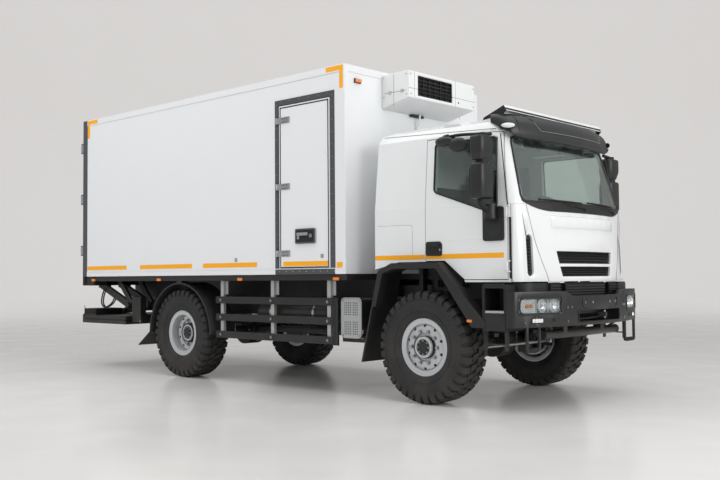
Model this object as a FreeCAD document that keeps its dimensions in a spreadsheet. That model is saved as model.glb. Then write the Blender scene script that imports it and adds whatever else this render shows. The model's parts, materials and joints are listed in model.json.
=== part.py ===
import FreeCAD, Part
import math
import os

import Sketcher
from FreeCAD import Rotation, Vector

# A two-axle off-road refrigerated truck: tilting cab, insulated box, cooling unit and folded tail lift.
# Millimetres, +X to the front, +Z up, the kerb side at -Y, the ground at zero height.
# Lengths along the truck are counted from the front axle or the rear axle, as their names say.

SIZES = {
    # Stance of the whole truck
    "wheelbase": 4150,
    "front_overhang": 1400,
    "rear_overhang": 2640,
    # Wheels
    "tyre_radius": 590,
    "tyre_half_width": 192,
    "tread_half_width": 152,
    "sidewall_middle_radius": 430,
    "tyre_shoulder_radius": 560,
    "wheel_centre_offset": 1050,
    "bead_seat_radius": 258,
    "bead_half_width": 126,
    "flange_radius": 300,
    "flange_half_width": 145,
    "flange_lip": 12,
    "rim_wall": 12,
    "front_disc_offset": 94,
    "rear_disc_offset": -5,
    "hub_radius": 120,
    "hub_stand_out": 56,
    "hub_cap_wall": 20,
    "spindle_radius": 45,
    "drum_radius": 215,
    "drum_wall": 15,
    "drum_reach": 150,
    "drum_depth": 110,
    "running_clearance": 0.05,
    "seating_clearance": 0.3,
    # Ladder frame
    "rail_top": 1080,
    "rail_height": 250,
    "rail_offset": 425,
    "rail_flange": 75,
    "rail_wall": 10,
    "rail_front_reach": 1245,
    "rail_rear_reach": 2230,
    "fairing_bracket": 80,
    "crossmember_width": 90,
    "crossmember_height": 150,
    "crossmember_front_setback": 180,
    "coupling_hole_radius": 10.5,
    "coupling_spacing_y": 160,
    "coupling_spacing_z": 100,
    # Box subframe
    "subframe_width": 80,
    "bearer_height": 70,
    "bearer_width": 60,
    "side_rail_width": 110,
    "side_rail_inset": 20,
    "box_floor_underside": 1360,
    # Insulated box
    "box_front_gap": 1040,
    "box_length": 5510,
    "box_half_width": 1275,
    "box_top": 3730,
    "box_wall": 65,
    "box_front_wall": 80,
    "box_roof": 85,
    "box_floor": 110,
    "rear_post_width": 70,
    "rear_post_depth": 120,
    "rear_header": 110,
    "rear_sill": 90,
    "rear_door_thickness": 80,
    "door_gap": 9,
    "rear_meeting_gap": 14,
    # Rear doors
    "rear_pin_setback": 55,
    "rear_pin_inset": 10,
    "rear_pin_radius": 8,
    "rear_barrel_radius": 12.8,
    "rear_neck_length": 21.6,
    "rear_hinge_height": 120,
    "lock_bar_radius": 11,
    "lock_bar_stand_off": 14,
    "lock_bar_inset": 330,
    # Side door
    "side_door_front": 1200,
    "side_door_rear": 2195,
    "side_door_top": 3450,
    "side_door_frame": 65,
    "side_pin_inset": 12,
    "side_pin_setback": 36,
    "side_pin_radius": 8,
    "side_barrel_radius": 10.5,
    "side_strap_clearance": 1.5,
    "side_strap_length": 190,
    "side_strap_height": 75,
    "side_strap_thickness": 7,
    "side_frame_proud": 6,
    "lock_box_length": 340,
    "lock_box_setback": 285,
    "lock_box_height": 170,
    "lock_box_depth": 18,
    "lock_box_z": 1805,
    # Cooling unit
    "unit_half_width": 640,
    "unit_depth": 420,
    "unit_top": 3690,
    "unit_front_bottom": 3380,
    "unit_underside": 3285,
    "unit_grille_left": 180,
    "unit_grille_right": 480,
    "unit_grille_bottom": 3415,
    "unit_grille_top": 3650,
    "unit_grille_depth": 35,
    "unit_grille_bar": 12,
    "unit_grille_setback": 9,
    "evaporator_depth": 380,
    "evaporator_height": 240,
    "evaporator_half_width": 620,
    # Cab
    "cab_rear_setback": 735,
    "cab_half_width": 1120,
    "cab_front_reach": 1275,
    "cab_belt_reach": 1240,
    "cab_head_reach": 1010,
    "cab_roof_reach": 800,
    "cab_bottom": 1265,
    "cab_belt": 2045,
    "cab_head": 2790,
    "cab_shoulder": 2880,
    "cab_roof": 2935,
    "cab_head_half_width": 1065,
    "cab_shoulder_half_width": 1020,
    "cab_roof_half_width": 880,
    "cab_shoulder_reach": 950,
    "cab_head_setback": 715,
    "cab_shoulder_setback": 680,
    "cab_roof_setback": 520,
    "cab_crown_radius": 3600,
    "cab_corner_radius": 130,
    "cab_wall": 50,
    "cab_slice_depth": 300,
    "panel_gap": 8,
    "glass_thickness": 8,
    # Outline of the cab's lower edge
    "skirt_rear_height": 1400,
    "arch_rear_corner": 400,
    "arch_front_corner": 220,
    "arch_height": 1480,
    "skirt_front_corner": 470,
    "skirt_front_height": 1285,
    # Cab door
    "door_rear": 30,
    "door_front_low": 1000,
    "door_front_high": 885,
    "door_top": 2770,
    "window_rear": 85,
    "window_front_low": 880,
    "window_front_high": 850,
    "window_top": 2715,
    "window_low_rear": 2205,
    "window_low_middle": 1985,
    "window_middle": 720,
    "window_lip": 30,
    "cab_pin_radius": 7,
    "cab_pin_low": 1420,
    "cab_pin_high": 1960,
    "cab_pin_length": 90,
    "cab_barrel_radius": 10,
    "cab_strap_length": 30,
    "cab_lug_reach": 33,
    # Windscreen and front panel
    "screen_half_low": 1010,
    "screen_half_high": 925,
    "screen_low": 2060,
    "screen_high": 2725,
    "front_panel_rear": 1035,
    "front_panel_top": 2030,
    "vent_upper_half": 575,
    "vent_upper_low": 1445,
    "vent_upper_high": 1570,
    "vent_lower_half": 530,
    "vent_lower_low": 1315,
    "vent_lower_high": 1415,
    "vent_taper": 35,
    "corner_vent_inner": 905,
    "corner_vent_outer": 985,
    "corner_vent_low": 1320,
    "corner_vent_high": 1730,
    "badge_half": 640,
    "badge_low": 1805,
    "badge_high": 1925,
    "badge_proud": 6,
    "vent_recess": 20,
    # Cab floor and inside
    "cab_floor_rise": 130,
    "cab_floor_front_height": 1330,
    "cab_floor_step": 430,
    "cab_floor_step_run": 130,
    "cab_floor_thickness": 40,
    "toe_board_reach": 935,
    "tilt_reach": 1205,
    "tilt_height": 1050,
    "tilt_pin_radius": 22,
    "tilt_boss_radius": 35,
    "tilt_arm_width": 70,
    "tilt_arm_root": 850,
    "cab_post_front": 590,
    "cab_post_rear": 650,
    "cab_post_width": 80,
    "tunnel_half_width": 370,
    "tunnel_height": 220,
    "tunnel_front": 700,
    "dash_rear": 740,
    "dash_low": 1740,
    "dash_high": 2030,
    "dash_half_width": 1045,
    "seat_centre": 600,
    "seat_half_width": 250,
    "seat_length": 500,
    "seat_rear_gap": 70,
    "seat_height": 1960,
    "seat_cushion": 120,
    "seat_back_top": 2560,
    "seat_back_thickness": 110,
    "seat_lean": 37,
    "seat_base_half_width": 170,
    "steering_wheel_radius": 225,
    "steering_rim_radius": 17,
    "steering_spoke_radius": 14,
    "steering_wheel_reach": 545,
    "steering_wheel_height": 2110,
    "steering_tilt": 35,
    "column_radius": 30,
    "column_length": 430,
    # Visor and roof deflector
    "visor_half_width": 1040,
    "visor_low": 2700,
    "visor_front": 1130,
    "visor_rear": 850,
    "visor_brow_height": 2890,
    "visor_top_rise": 85,
    "visor_brow_reach": 1075,
    "visor_top_reach": 960,
    "visor_wall": 28,
    "visor_foot_length": 84,
    "visor_notch_front": 975,
    "visor_notch_half": 930,
    "visor_notch_clearance": 12,
    "deflector_top": 3040,
    "deflector_apex": 885,
    "deflector_tail": 670,
    "deflector_half_width": 985,
    "deflector_wall": 16,
    # Engine and drive line
    "engine_front": 550,
    "engine_rear": 600,
    "engine_half_width": 300,
    "engine_bottom": 800,
    "engine_top": 1620,
    "engine_mount_low": 880,
    "engine_mount_high": 940,
    "engine_mount_half_length": 45,
    "gearbox_rear": 1250,
    "gearbox_half_width": 230,
    "gearbox_top": 1220,
    "transfer_front": 1650,
    "transfer_rear": 2050,
    "transfer_half_width": 270,
    "transfer_bottom": 510,
    "transfer_top": 1040,
    "shaft_radius": 45,
    "shaft_height": 610,
    "input_shaft_height": 865,
    "front_shaft_offset": 150,
    # Axles and steering
    "axle_tube_radius": 58,
    "front_diff_radius": 185,
    "rear_diff_radius": 205,
    "diff_half_length": 120,
    "diff_nose": 230,
    "diff_nose_radius": 75,
    "king_pin_offset": 800,
    "king_pin_radius": 25,
    "yoke_reach": 170,
    "yoke_lug": 40,
    "yoke_half_width": 48,
    "yoke_inner": 660,
    "knuckle_half_height": 122,
    "knuckle_radius": 62,
    "knuckle_neck_radius": 87,
    "backing_plate_offset": 872,
    "backing_plate_thickness": 18,
    "backing_plate_radius": 190,
    "steering_arm_length": 300,
    "steering_arm_inset": 0,
    "steering_arm_drop": 70,
    "steering_arm_height": 36,
    "steering_arm_half_width": 20,
    "tie_pin_radius": 10,
    "tie_pin_length": 60,
    "tie_rod_radius": 18,
    "tie_boss_radius": 27,
    "tie_boss_height": 50,
    # Leaf springs
    "spring_half_length": 680,
    "spring_bend": 2500,
    "spring_thickness": 52,
    "spring_width": 80,
    "spring_offset": 390,
    "spring_seat": 32,
    "spring_eye_radius": 28,
    # Tanks and exhaust
    "tank_front": 1420,
    "tank_battery_gap": 80,
    "tank_outer": 1130,
    "tank_inner": 560,
    "tank_bottom": 520,
    "tank_top": 1040,
    "tank_round": 90,
    "battery_rear_gap": 860,
    "battery_length": 590,
    "battery_top": 1020,
    "battery_bottom": 560,
    "air_tank_radius": 125,
    "air_tank_front": 1500,
    "air_tank_offset": 720,
    "air_tank_height": 900,
    "silencer_front": 885,
    "silencer_rear": 1200,
    "silencer_bottom": 640,
    "silencer_top": 1095,
    "silencer_outer": 1150,
    "silencer_round": 60,
    "shield_gap": 25,
    "shield_thickness": 12,
    # Side guards
    "guard_offset": 1215,
    "guard_rail_height": 88,
    "guard_rail_depth": 28,
    "guard_front": 1300,
    "guard_rear_gap": 745,
    "guard_low": 560,
    "guard_middle": 780,
    "guard_high": 1000,
    "guard_post_width": 55,
    "guard_post_depth": 40,
    # Mudguards
    "mudguard_inner_radius": 655,
    "mudguard_thickness": 22,
    "mudguard_width": 400,
    "mudguard_tail": 960,
    "mudguard_flap_bottom": 390,
    "front_arch_top": 1470,
    "front_arch_band": 62,
    "front_arch_outer": 1245,
    "front_arch_inner": 1130,
    "front_arch_front": 705,
    "front_arch_front_height": 815,
    "front_arch_rear": 590,
    "front_arch_rear_height": 1390,
    "front_flap_middle": 690,
    "front_flap_middle_height": 1000,
    "front_flap_bottom": 840,
    "front_flap_height": 395,
    "front_flap_inner": 860,
    # Step box ahead of the front wheel
    "step_rear": 770,
    "step_front": 1050,
    "step_outer": 1240,
    "step_inner": 950,
    "step_bottom": 790,
    "step_top": 1235,
    "step_tread_height": 985,
    "step_tread_thickness": 22,
    "step_wall": 30,
    # Bumper
    "bumper_low": 825,
    "bumper_high": 1170,
    "bumper_dip": 1120,
    "bumper_dip_half": 480,
    "bumper_dip_run": 170,
    "bumper_half_width": 1270,
    "bumper_crown": 3370,
    "bumper_depth": 85,
    "bumper_end_round": 45,
    "slot_half_width": 430,
    "slot_low": 860,
    "slot_high": 975,
    "lamp_inner": 690,
    "lamp_outer": 1215,
    "lamp_low": 950,
    "lamp_high": 1112,
    "fog_offset": 1000,
    "fog_height": 890,
    "fog_radius": 35,
    "underrun_height": 735,
    "underrun_radius": 45,
    "underrun_half_width": 760,
    "underrun_reach": 1150,
    "foot_step_offset": 1010,
    "foot_step_half_width": 110,
    "foot_step_bottom": 590,
    "foot_step_tube": 16,
    "foot_step_reach": 1199,
    # Tail lift
    "lift_pivot_reach": 1480,
    "lift_pivot_height": 960,
    "lift_pin_radius": 22,
    "lift_boss_radius": 48,
    "lift_arm_length": 900,
    "lift_arm_drop": 130,
    "lift_arm_offset": 480,
    "lift_arm_width": 60,
    "lift_arm_height": 120,
    "lift_bracket_width": 30,
    "lift_plate_length": 1180,
    "lift_plate_half_width": 1130,
    "lift_plate_thickness": 55,
    "lift_plate_gap": 10,
    "lift_beam_radius": 60,
    "lift_clearance": 6,
    # Lamps on the box and chassis
    "marker_length": 90,
    "marker_height": 34,
    "marker_depth": 14,
    "tail_lamp_width": 330,
    "tail_lamp_height": 130,
    "tail_lamp_depth": 70,
    # Mirrors on the cab doors
    "mirror_reach": 1335,
    "mirror_half_width": 100,
    "mirror_depth": 90,
    "mirror_low": 2075,
    "mirror_split": 2440,
    "mirror_high": 2700,
    "mirror_station": 800,
    "mirror_arm_radius": 16,
    "mirror_round": 40,
    "mirror_face_round": 25,
    "mirror_neck_half": 45,
    "mirror_taper": 80,
    "mirror_plate_low": 1680,
    "mirror_plate_high": 2010,
    "mirror_plate_thickness": 22,
    "kerb_mirror_station": 330,
    "kerb_mirror_height": 2670,
    "kerb_mirror_inner": 1200,
    "kerb_mirror_outer": 1270,
    "kerb_mirror_radius": 84,
    "kerb_mirror_spacing": 165,
    "kerb_arm_station": 130,
    "kerb_arm_height": 2738,
    "kerb_arm_radius": 11,
    # Reach of a cutting tool past the stock
    "overrun": 20,
}

RIGHT = -1
LEFT = 1
SIDES = ((RIGHT, "right"), (LEFT, "left"))

document = FreeCAD.newDocument("refrigerated_truck")
nodes = []


class Length:
    """A length worked out from the size sheet: its formula there and its present value."""

    def __init__(self, formula, value):
        self.formula = formula
        self.value = value

    def _joined(self, sign, other, value):
        return Length(f"({self.formula} {sign} {formula_of(other)})", value)

    def __add__(self, other):
        return self._joined("+", other, self.value + value_of(other))

    def __sub__(self, other):
        return self._joined("-", other, self.value - value_of(other))

    def __mul__(self, other):
        return self._joined("*", other, self.value * value_of(other))

    def __truediv__(self, other):
        return self._joined("/", other, self.value / value_of(other))

    def __neg__(self):
        return Length(f"(0 - {self.formula})", -self.value)


def formula_of(length):
    return length.formula if isinstance(length, Length) else str(length)


def value_of(length):
    return length.value if isinstance(length, Length) else float(length)


def root(square):
    """The side of a square of the given area."""
    return Length(f"sqrt({square.formula})", math.sqrt(square.value))


class SizeSheet:
    """The sheet of driving dimensions, each read as a Length by its alias."""

    def __init__(self, sizes):
        self.sheet = document.addObject("Spreadsheet::Sheet", "sizes")
        for row, (alias, value) in enumerate(sizes.items(), start=1):
            self.sheet.set(f"A{row}", alias.replace("_", " "))
            self.sheet.set(f"B{row}", str(value))
            self.sheet.setAlias(f"B{row}", alias)
        document.recompute()

    def __getattr__(self, alias):
        return Length(f"sizes.{alias}", float(self.sheet.get(alias)))


size = SizeSheet(SIZES)

# Stations along the truck: the origin lies under the middle of its overall length.
FRONT_AXLE = (size.wheelbase + size.rear_overhang - size.front_overhang) / 2
REAR_AXLE = FRONT_AXLE - size.wheelbase
AXLE_HEIGHT = size.tyre_radius
BOX_FRONT = FRONT_AXLE - size.box_front_gap
BOX_REAR = BOX_FRONT - size.box_length
RAIL_BOTTOM = size.rail_top - size.rail_height
BEARER_BOTTOM = size.box_floor_underside - size.bearer_height
OVERRUN = size.overrun
CAB_FLOOR = size.skirt_rear_height + size.cab_floor_rise

# Places along or up the piece that carries them.
BEARER_SHARES = (0, 0.14, 0.28, 0.42, 0.56, 0.7, 0.84, 1)
TANK_BRACKET_SHARES = (0.2, 0.8)
GUARD_POST_SHARES = (0.03, 0.5, 0.97)
SIDE_HINGE_SHARES = (0.09, 0.5, 0.91)
REAR_HINGE_SHARES = (0.14, 0.5, 0.86)
LOCK_KEEPER_SHARES = (0.06, 0.36, 0.64, 0.94)
MARKER_SHARES = (0.03, 0.34, 0.66, 0.97)
VISOR_FOOT_SHARES = (-0.75, 0, 0.75)
LIFT_TUBE_SHARE = 0.9

# Bars and openings that repeat.
GRILLE_UPRIGHTS = 7
GRILLE_SLATS = 6
FRONT_SLOT_ROWS = 4
CORNER_SLOT_ROWS = 10


def bind(feature, path, length):
    """Tie one property of a feature to its formula in the sheet."""
    if isinstance(length, Length):
        feature.setExpression(path, length.formula)


def place(feature, x, y, z):
    for axis, length in (("x", x), ("y", y), ("z", z)):
        bind(feature, f"Placement.Base.{axis}", length)


def across(side, inner, outer):
    """A span across the truck on one side of it, from low to high."""
    return (inner, outer) if side == LEFT else (-outer, -inner)


def around(middle, half):
    return (middle - half, middle + half)


def block(name, x_span, y_span, z_span):
    """A rectangular block between two stations along each axis."""
    piece = document.addObject("Part::Box", name)
    for path, span in (("Length", x_span), ("Width", y_span), ("Height", z_span)):
        bind(piece, path, span[1] - span[0])
    place(piece, x_span[0], y_span[0], z_span[0])
    return piece


TURNS = {
    "X": Rotation(Vector(0, 1, 0), 90),
    "Y": Rotation(Vector(1, 0, 0), -90),
    "Z": Rotation(),
}


def bar(name, axis, centre, radius, span):
    """A round bar along one axis; centre holds its places on the two other axes, in order."""
    piece = document.addObject("Part::Cylinder", name)
    piece.Placement = FreeCAD.Placement(Vector(), TURNS[axis])
    bind(piece, "Radius", radius)
    bind(piece, "Height", span[1] - span[0])
    order = {"X": (span[0], *centre), "Y": (centre[0], span[0], centre[1]), "Z": (*centre, span[0])}
    place(piece, *order[axis])
    return piece


def group(name, *pieces):
    """Pieces that belong together but don't touch."""
    piece = document.addObject("Part::Compound", name)
    piece.Links = list(pieces)
    return piece


def fuse(name, *pieces):
    piece = document.addObject("Part::MultiFuse", name)
    piece.Shapes = list(pieces)
    piece.Refine = True
    return piece


def cut(name, base, *tools):
    piece = document.addObject("Part::Cut", name)
    piece.Base = base
    piece.Tool = tools[0] if len(tools) == 1 else fuse(f"{name}_tools", *tools)
    return piece


def common(name, first, second):
    piece = document.addObject("Part::MultiCommon", name)
    piece.Shapes = [first, second]
    return piece


def node(name, piece):
    """Name a finished sub-part after the file that it is kept in."""
    piece.Label = name
    nodes.append(piece)
    return piece


def arc_centre(start, end, radius, turn):
    """Centre of the arc between two points; turn is 1 where it bends to the left, -1 to the right."""
    along = (end[0] - start[0], end[1] - start[1])
    chord = math.hypot(*along)
    reach = math.sqrt(max(radius ** 2 - (chord / 2) ** 2, 0)) * turn / chord
    middle = ((start[0] + end[0]) / 2, (start[1] + end[1]) / 2)
    return middle[0] - along[1] * reach, middle[1] + along[0] * reach


def draw_loop(sketch, outline):
    """Draw a closed loop of (x, y) or (x, y, radius, turn) corners, each bound to its formulas."""
    count = len(outline)
    spots = [(value_of(corner[0]), value_of(corner[1])) for corner in outline]
    first = sketch.GeometryCount
    ends = []
    for index, corner in enumerate(outline):
        start, end = spots[index], spots[(index + 1) % count]
        if len(corner) == 2:
            sketch.addGeometry(Part.LineSegment(Vector(*start, 0), Vector(*end, 0)), False)
            ends.append((1, 2))
            continue
        radius, turn = corner[2], corner[3]
        middle = arc_centre(start, end, radius.value, turn)
        angles = [math.atan2(spot[1] - middle[1], spot[0] - middle[0]) for spot in (start, end)]
        if turn == -1:
            angles.reverse()
        if angles[1] < angles[0]:
            angles[1] += 2 * math.pi
        circle = Part.Circle(Vector(*middle, 0), Vector(0, 0, 1), radius.value)
        sketch.addGeometry(Part.ArcOfCircle(circle, *angles), False)
        ends.append((1, 2) if turn == 1 else (2, 1))
    for index, corner in enumerate(outline):
        following = (index + 1) % count
        sketch.addConstraint(Sketcher.Constraint(
            "Coincident", first + index, ends[index][1], first + following, ends[following][0]))
    for index, corner in enumerate(outline):
        pin_point(sketch, first + index, ends[index][0], corner)
        if len(corner) == 4:
            named = Sketcher.Constraint("Radius", first + index, corner[2].value)
            bind(sketch, f"Constraints[{sketch.addConstraint(named)}]", corner[2])


def pin_point(sketch, geometry, end, corner):
    """Hold one end of a line at its two formulas."""
    for kind, axis, length in (("DistanceX", -2, corner[0]), ("DistanceY", -1, corner[1])):
        if isinstance(length, Length):
            held = Sketcher.Constraint(kind, -1, 1, geometry, end, length.value)
            bind(sketch, f"Constraints[{sketch.addConstraint(held)}]", length)
        else:
            sketch.addConstraint(Sketcher.Constraint("PointOnObject", geometry, end, axis))


def sketch_on(body, name, plane, offset, loops):
    """A sketch on one of its body's origin planes, lifted by (along x, along y, off the plane)."""
    sketch = body.newObject("Sketcher::SketchObject", name)
    support = next(part for part in body.Origin.OriginFeatures if part.Role == f"{plane}_Plane")
    sketch.AttachmentSupport = [(support, "")]
    sketch.MapMode = "FlatFace"
    for axis, length in zip("xyz", offset):
        bind(sketch, f"AttachmentOffset.Base.{axis}", length)
    for loop in loops:
        draw_loop(sketch, loop)
    return sketch


def prism(name, plane, outline, span, holes=()):
    """A body padded from an outline square to a plane, with its holes; span is along the normal axis."""
    body = document.addObject("PartDesign::Body", name)
    lift = -span[1] if plane == "XZ" else span[0]
    sketch = sketch_on(body, f"{name}_outline", plane, (0, 0, lift), [outline, *holes])
    pad = body.newObject("PartDesign::Pad", f"{name}_pad")
    pad.Profile = sketch
    bind(pad, "Length", span[1] - span[0])
    return body


def turned(name, station, height, outline):
    """A body turned about an axle: its outline runs (place across the truck, radius)."""
    body = document.addObject("PartDesign::Body", name)
    sketch = sketch_on(body, f"{name}_outline", "YZ", (0, height, station), [outline])
    turn = body.newObject("PartDesign::Revolution", f"{name}_turn")
    turn.Profile = sketch
    turn.ReferenceAxis = (sketch, ["H_Axis"])
    turn.Angle = 360
    return body


def lofted(name, sections):
    """A body between level sections, each given as (height, outline)."""
    body = document.addObject("PartDesign::Body", name)
    sketches = [sketch_on(body, f"{name}_section_{index}", "XY", (0, 0, height), [outline])
                for index, (height, outline) in enumerate(sections)]
    loft = body.newObject("PartDesign::AdditiveLoft", f"{name}_loft")
    loft.Profile = sketches[0]
    loft.Sections = sketches[1:]
    loft.Ruled = True
    return body


def rounded(name, source, radius, chosen):
    """A piece with the edges that chosen picks rounded to one radius."""
    document.recompute()
    piece = document.addObject("Part::Fillet", name)
    piece.Base = source
    picked = [index for index, edge in enumerate(source.Shape.Edges, start=1) if chosen(edge)]
    piece.Edges = [(index, radius.value, radius.value) for index in picked]
    return piece


def runs_along(axis):
    """A test for straight edges along one axis."""
    direction = {"X": Vector(1, 0, 0), "Y": Vector(0, 1, 0), "Z": Vector(0, 0, 1)}[axis]

    def chosen(edge):
        if not isinstance(edge.Curve, Part.Line):
            return False
        return edge.Curve.Direction.cross(direction).Length < 1e-6

    return chosen


def rectangle(x_span, y_span):
    return [(x_span[0], y_span[0]), (x_span[1], y_span[0]),
            (x_span[1], y_span[1]), (x_span[0], y_span[1])]


def build_frame():
    """Two channel rails, the crossmembers between their webs and what is bolted to their ends."""
    top, bottom = size.rail_top, RAIL_BOTTOM
    outer, wall = size.rail_offset, size.rail_wall
    inner = outer - size.rail_flange
    channel = [
        (inner, bottom), (outer, bottom), (outer, top), (inner, top), (inner, top - wall),
        (outer - wall, top - wall), (outer - wall, bottom + wall), (inner, bottom + wall)]
    span = (REAR_AXLE - size.rail_rear_reach, FRONT_AXLE + size.rail_front_reach)
    reach = outer - wall - size.seating_clearance
    members = []
    half_width = size.crossmember_width / 2
    height = (top - wall - size.crossmember_height, top - wall - size.seating_clearance)
    stations = (
        span[1] - size.crossmember_front_setback, FRONT_AXLE - size.transfer_front + size.crossmember_width,
        FRONT_AXLE - size.transfer_rear - size.crossmember_width,
        REAR_AXLE + size.spring_half_length, REAR_AXLE - size.spring_half_length, span[0] + half_width)
    for index, station in enumerate(stations):
        members.append(block(f"crossmember_{index}", around(station, half_width), (-reach, reach), height))
    members[-1] = cut("rear_crossmember", members[-1], *coupling_holes(stations[-1], (height[0] + height[1]) / 2))
    rails = []
    for side, word in SIDES:
        rails.append(prism(f"rail_{word}", "YZ", [(y * side, z) for y, z in channel], span))
        rails += [lift_brackets(side, word), *cab_supports(side, word)]
    node("frame_rails", group("frame_rails", *rails, *members, build_underrun()))


def coupling_holes(station, middle):
    """Four holes through the rear crossmember for a coupling's flange."""
    x_span = around(station, size.crossmember_width)
    half_width, half_height = size.coupling_spacing_y / 2, size.coupling_spacing_z / 2
    return [
        bar(f"coupling_hole_{index}", "X", (half_width * side, middle + half_height * level),
            size.coupling_hole_radius, x_span)
        for index, (side, level) in enumerate(((1, 1), (1, -1), (-1, 1), (-1, -1)))]


def lift_brackets(side, word):
    """The plate and pin on the rail that the tail lift's arm turns on."""
    pivot = lift_points()[0]
    plate, tall = size.lift_bracket_width, size.lift_arm_height
    rail = size.rail_offset + size.seating_clearance
    bracket = block(f"lift_plate_{word}", around(pivot[0], tall), across(side, rail, rail + plate),
                    (RAIL_BOTTOM, size.rail_top))
    tip = size.lift_arm_offset + size.lift_arm_width + size.lift_plate_gap
    pin = bar(f"lift_pin_{word}", "Y", pivot, size.lift_pin_radius, across(side, rail, tip))
    return fuse(f"lift_bracket_{word}", bracket, pin)


def cab_supports(side, word):
    """The tilt pin at the front of the rail and the post under the back of the cab."""
    rail, fit = size.rail_offset, size.seating_clearance
    tip = rail + size.tilt_arm_width + size.lift_plate_gap
    place_pin = (FRONT_AXLE + size.tilt_reach, size.tilt_height)
    pin = bar(f"tilt_pin_{word}", "Y", place_pin, size.tilt_pin_radius, across(side, rail + fit, tip))
    top = CAB_FLOOR - size.cab_floor_thickness - fit
    inner = size.tunnel_half_width + size.lift_plate_gap
    post = block(f"cab_post_{word}", (FRONT_AXLE - size.cab_post_rear, FRONT_AXLE - size.cab_post_front),
                 across(side, inner, inner + size.cab_post_width), (size.rail_top + fit, top))
    return pin, post


def build_underrun():
    """The tube across the front below the bumper, on a hanger under each rail."""
    reach, radius = FRONT_AXLE + size.underrun_reach, size.underrun_radius
    half = size.underrun_half_width
    pieces = [bar("underrun_tube", "Y", (reach, size.underrun_height), radius, (-half, half))]
    for side, word in SIDES:
        y_span = across(side, size.rail_offset - size.rail_flange, size.rail_offset)
        pieces.append(block(f"underrun_hanger_{word}", around(reach, radius), y_span,
                            (size.underrun_height, RAIL_BOTTOM - size.seating_clearance)))
    return fuse("underrun", *pieces)


def build_subframe():
    """Longitudinal members on the rails, cross-bearers on them and the edge rails of the box."""
    inner, fit = size.rail_offset - size.subframe_width, size.seating_clearance
    span = (BOX_REAR + size.rear_post_depth, BOX_FRONT)
    pieces = []
    edge = size.box_half_width - size.side_rail_inset
    bearer_z = (BEARER_BOTTOM, size.box_floor_underside - fit)
    for side, word in SIDES:
        pieces.append(block(f"subframe_{word}", span, across(side, inner, size.rail_offset),
                            (size.rail_top, BEARER_BOTTOM - fit)))
        pieces.append(block(f"edge_rail_{word}", span, across(side, edge - size.side_rail_width, edge), bearer_z))
    half = edge - size.side_rail_width - fit
    for index, share in enumerate(BEARER_SHARES):
        start = span[0] + (span[1] - span[0] - size.bearer_width) * share
        pieces.append(block(f"bearer_{index}", (start, start + size.bearer_width), (-half, half), bearer_z))
    node("box_subframe", group("box_subframe", *pieces))


def build_drive():
    """The engine as a plain block on its mounts, the gearbox, transfer case and propeller shafts."""
    half = size.engine_half_width
    stock = block("engine_block", (FRONT_AXLE - size.engine_rear, FRONT_AXLE + size.engine_front),
                  (-half, half), (size.engine_bottom, size.engine_top))
    reach = size.rail_offset - size.rail_wall - size.seating_clearance
    mount = block("engine_mount", around(FRONT_AXLE, size.engine_mount_half_length), (-reach, reach),
                  (size.engine_mount_low, size.engine_mount_high))
    node("engine", fuse("engine", stock, mount))
    gearbox_rear = FRONT_AXLE - size.gearbox_rear
    transfer = (FRONT_AXLE - size.transfer_rear, FRONT_AXLE - size.transfer_front)
    half = size.gearbox_half_width
    gearbox = block("gearbox_case", (gearbox_rear, FRONT_AXLE - size.engine_rear),
                    (-half, half), (size.engine_bottom, size.gearbox_top))
    half = size.transfer_half_width
    case = block("transfer_case", transfer, (-half, half), (size.transfer_bottom, size.transfer_top))
    radius = size.shaft_radius
    shafts = [
        bar("input_shaft", "X", (0, size.input_shaft_height), radius, (transfer[1], gearbox_rear)),
        bar("front_shaft", "X", (size.front_shaft_offset, size.shaft_height), radius,
            (transfer[1], FRONT_AXLE - size.diff_nose)),
        bar("rear_shaft", "X", (0, size.shaft_height), radius, (REAR_AXLE + size.diff_nose, transfer[0]))]
    node("gearbox_and_shafts", fuse("gearbox_and_shafts", gearbox, case, *shafts))


def front_axle():
    """A driven steering axle: tube, offset differential and a yoke with its king pin at each end."""
    tube = bar("front_tube", "Y", (FRONT_AXLE, AXLE_HEIGHT), size.axle_tube_radius,
               (-size.yoke_inner, size.yoke_inner))
    offset = size.front_shaft_offset
    housing = bar("front_diff", "Y", (FRONT_AXLE, AXLE_HEIGHT), size.front_diff_radius,
                  around(offset, size.diff_half_length))
    nose = bar("front_diff_nose", "X", (offset, AXLE_HEIGHT), size.diff_nose_radius,
               (FRONT_AXLE - size.diff_nose, FRONT_AXLE))
    pieces = [tube, housing, nose]
    reach, lug, half = size.yoke_reach, size.yoke_lug, size.yoke_half_width
    for side, word in SIDES:
        outer = size.king_pin_offset + half
        height = (AXLE_HEIGHT - reach, AXLE_HEIGHT + reach)
        x_span = around(FRONT_AXLE, half)
        pieces.append(block(f"yoke_{word}", x_span, across(side, size.yoke_inner, size.yoke_inner + lug), height))
        for word_two, z_span in (("low", (height[0], height[0] + lug)), ("high", (height[1] - lug, height[1]))):
            pieces.append(block(f"yoke_lug_{word}_{word_two}", x_span,
                                across(side, size.yoke_inner, outer), z_span))
        pieces.append(bar(f"king_pin_{word}", "Z", (FRONT_AXLE, size.king_pin_offset * side),
                          size.king_pin_radius, height))
    return fuse("front_axle", *pieces)


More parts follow.
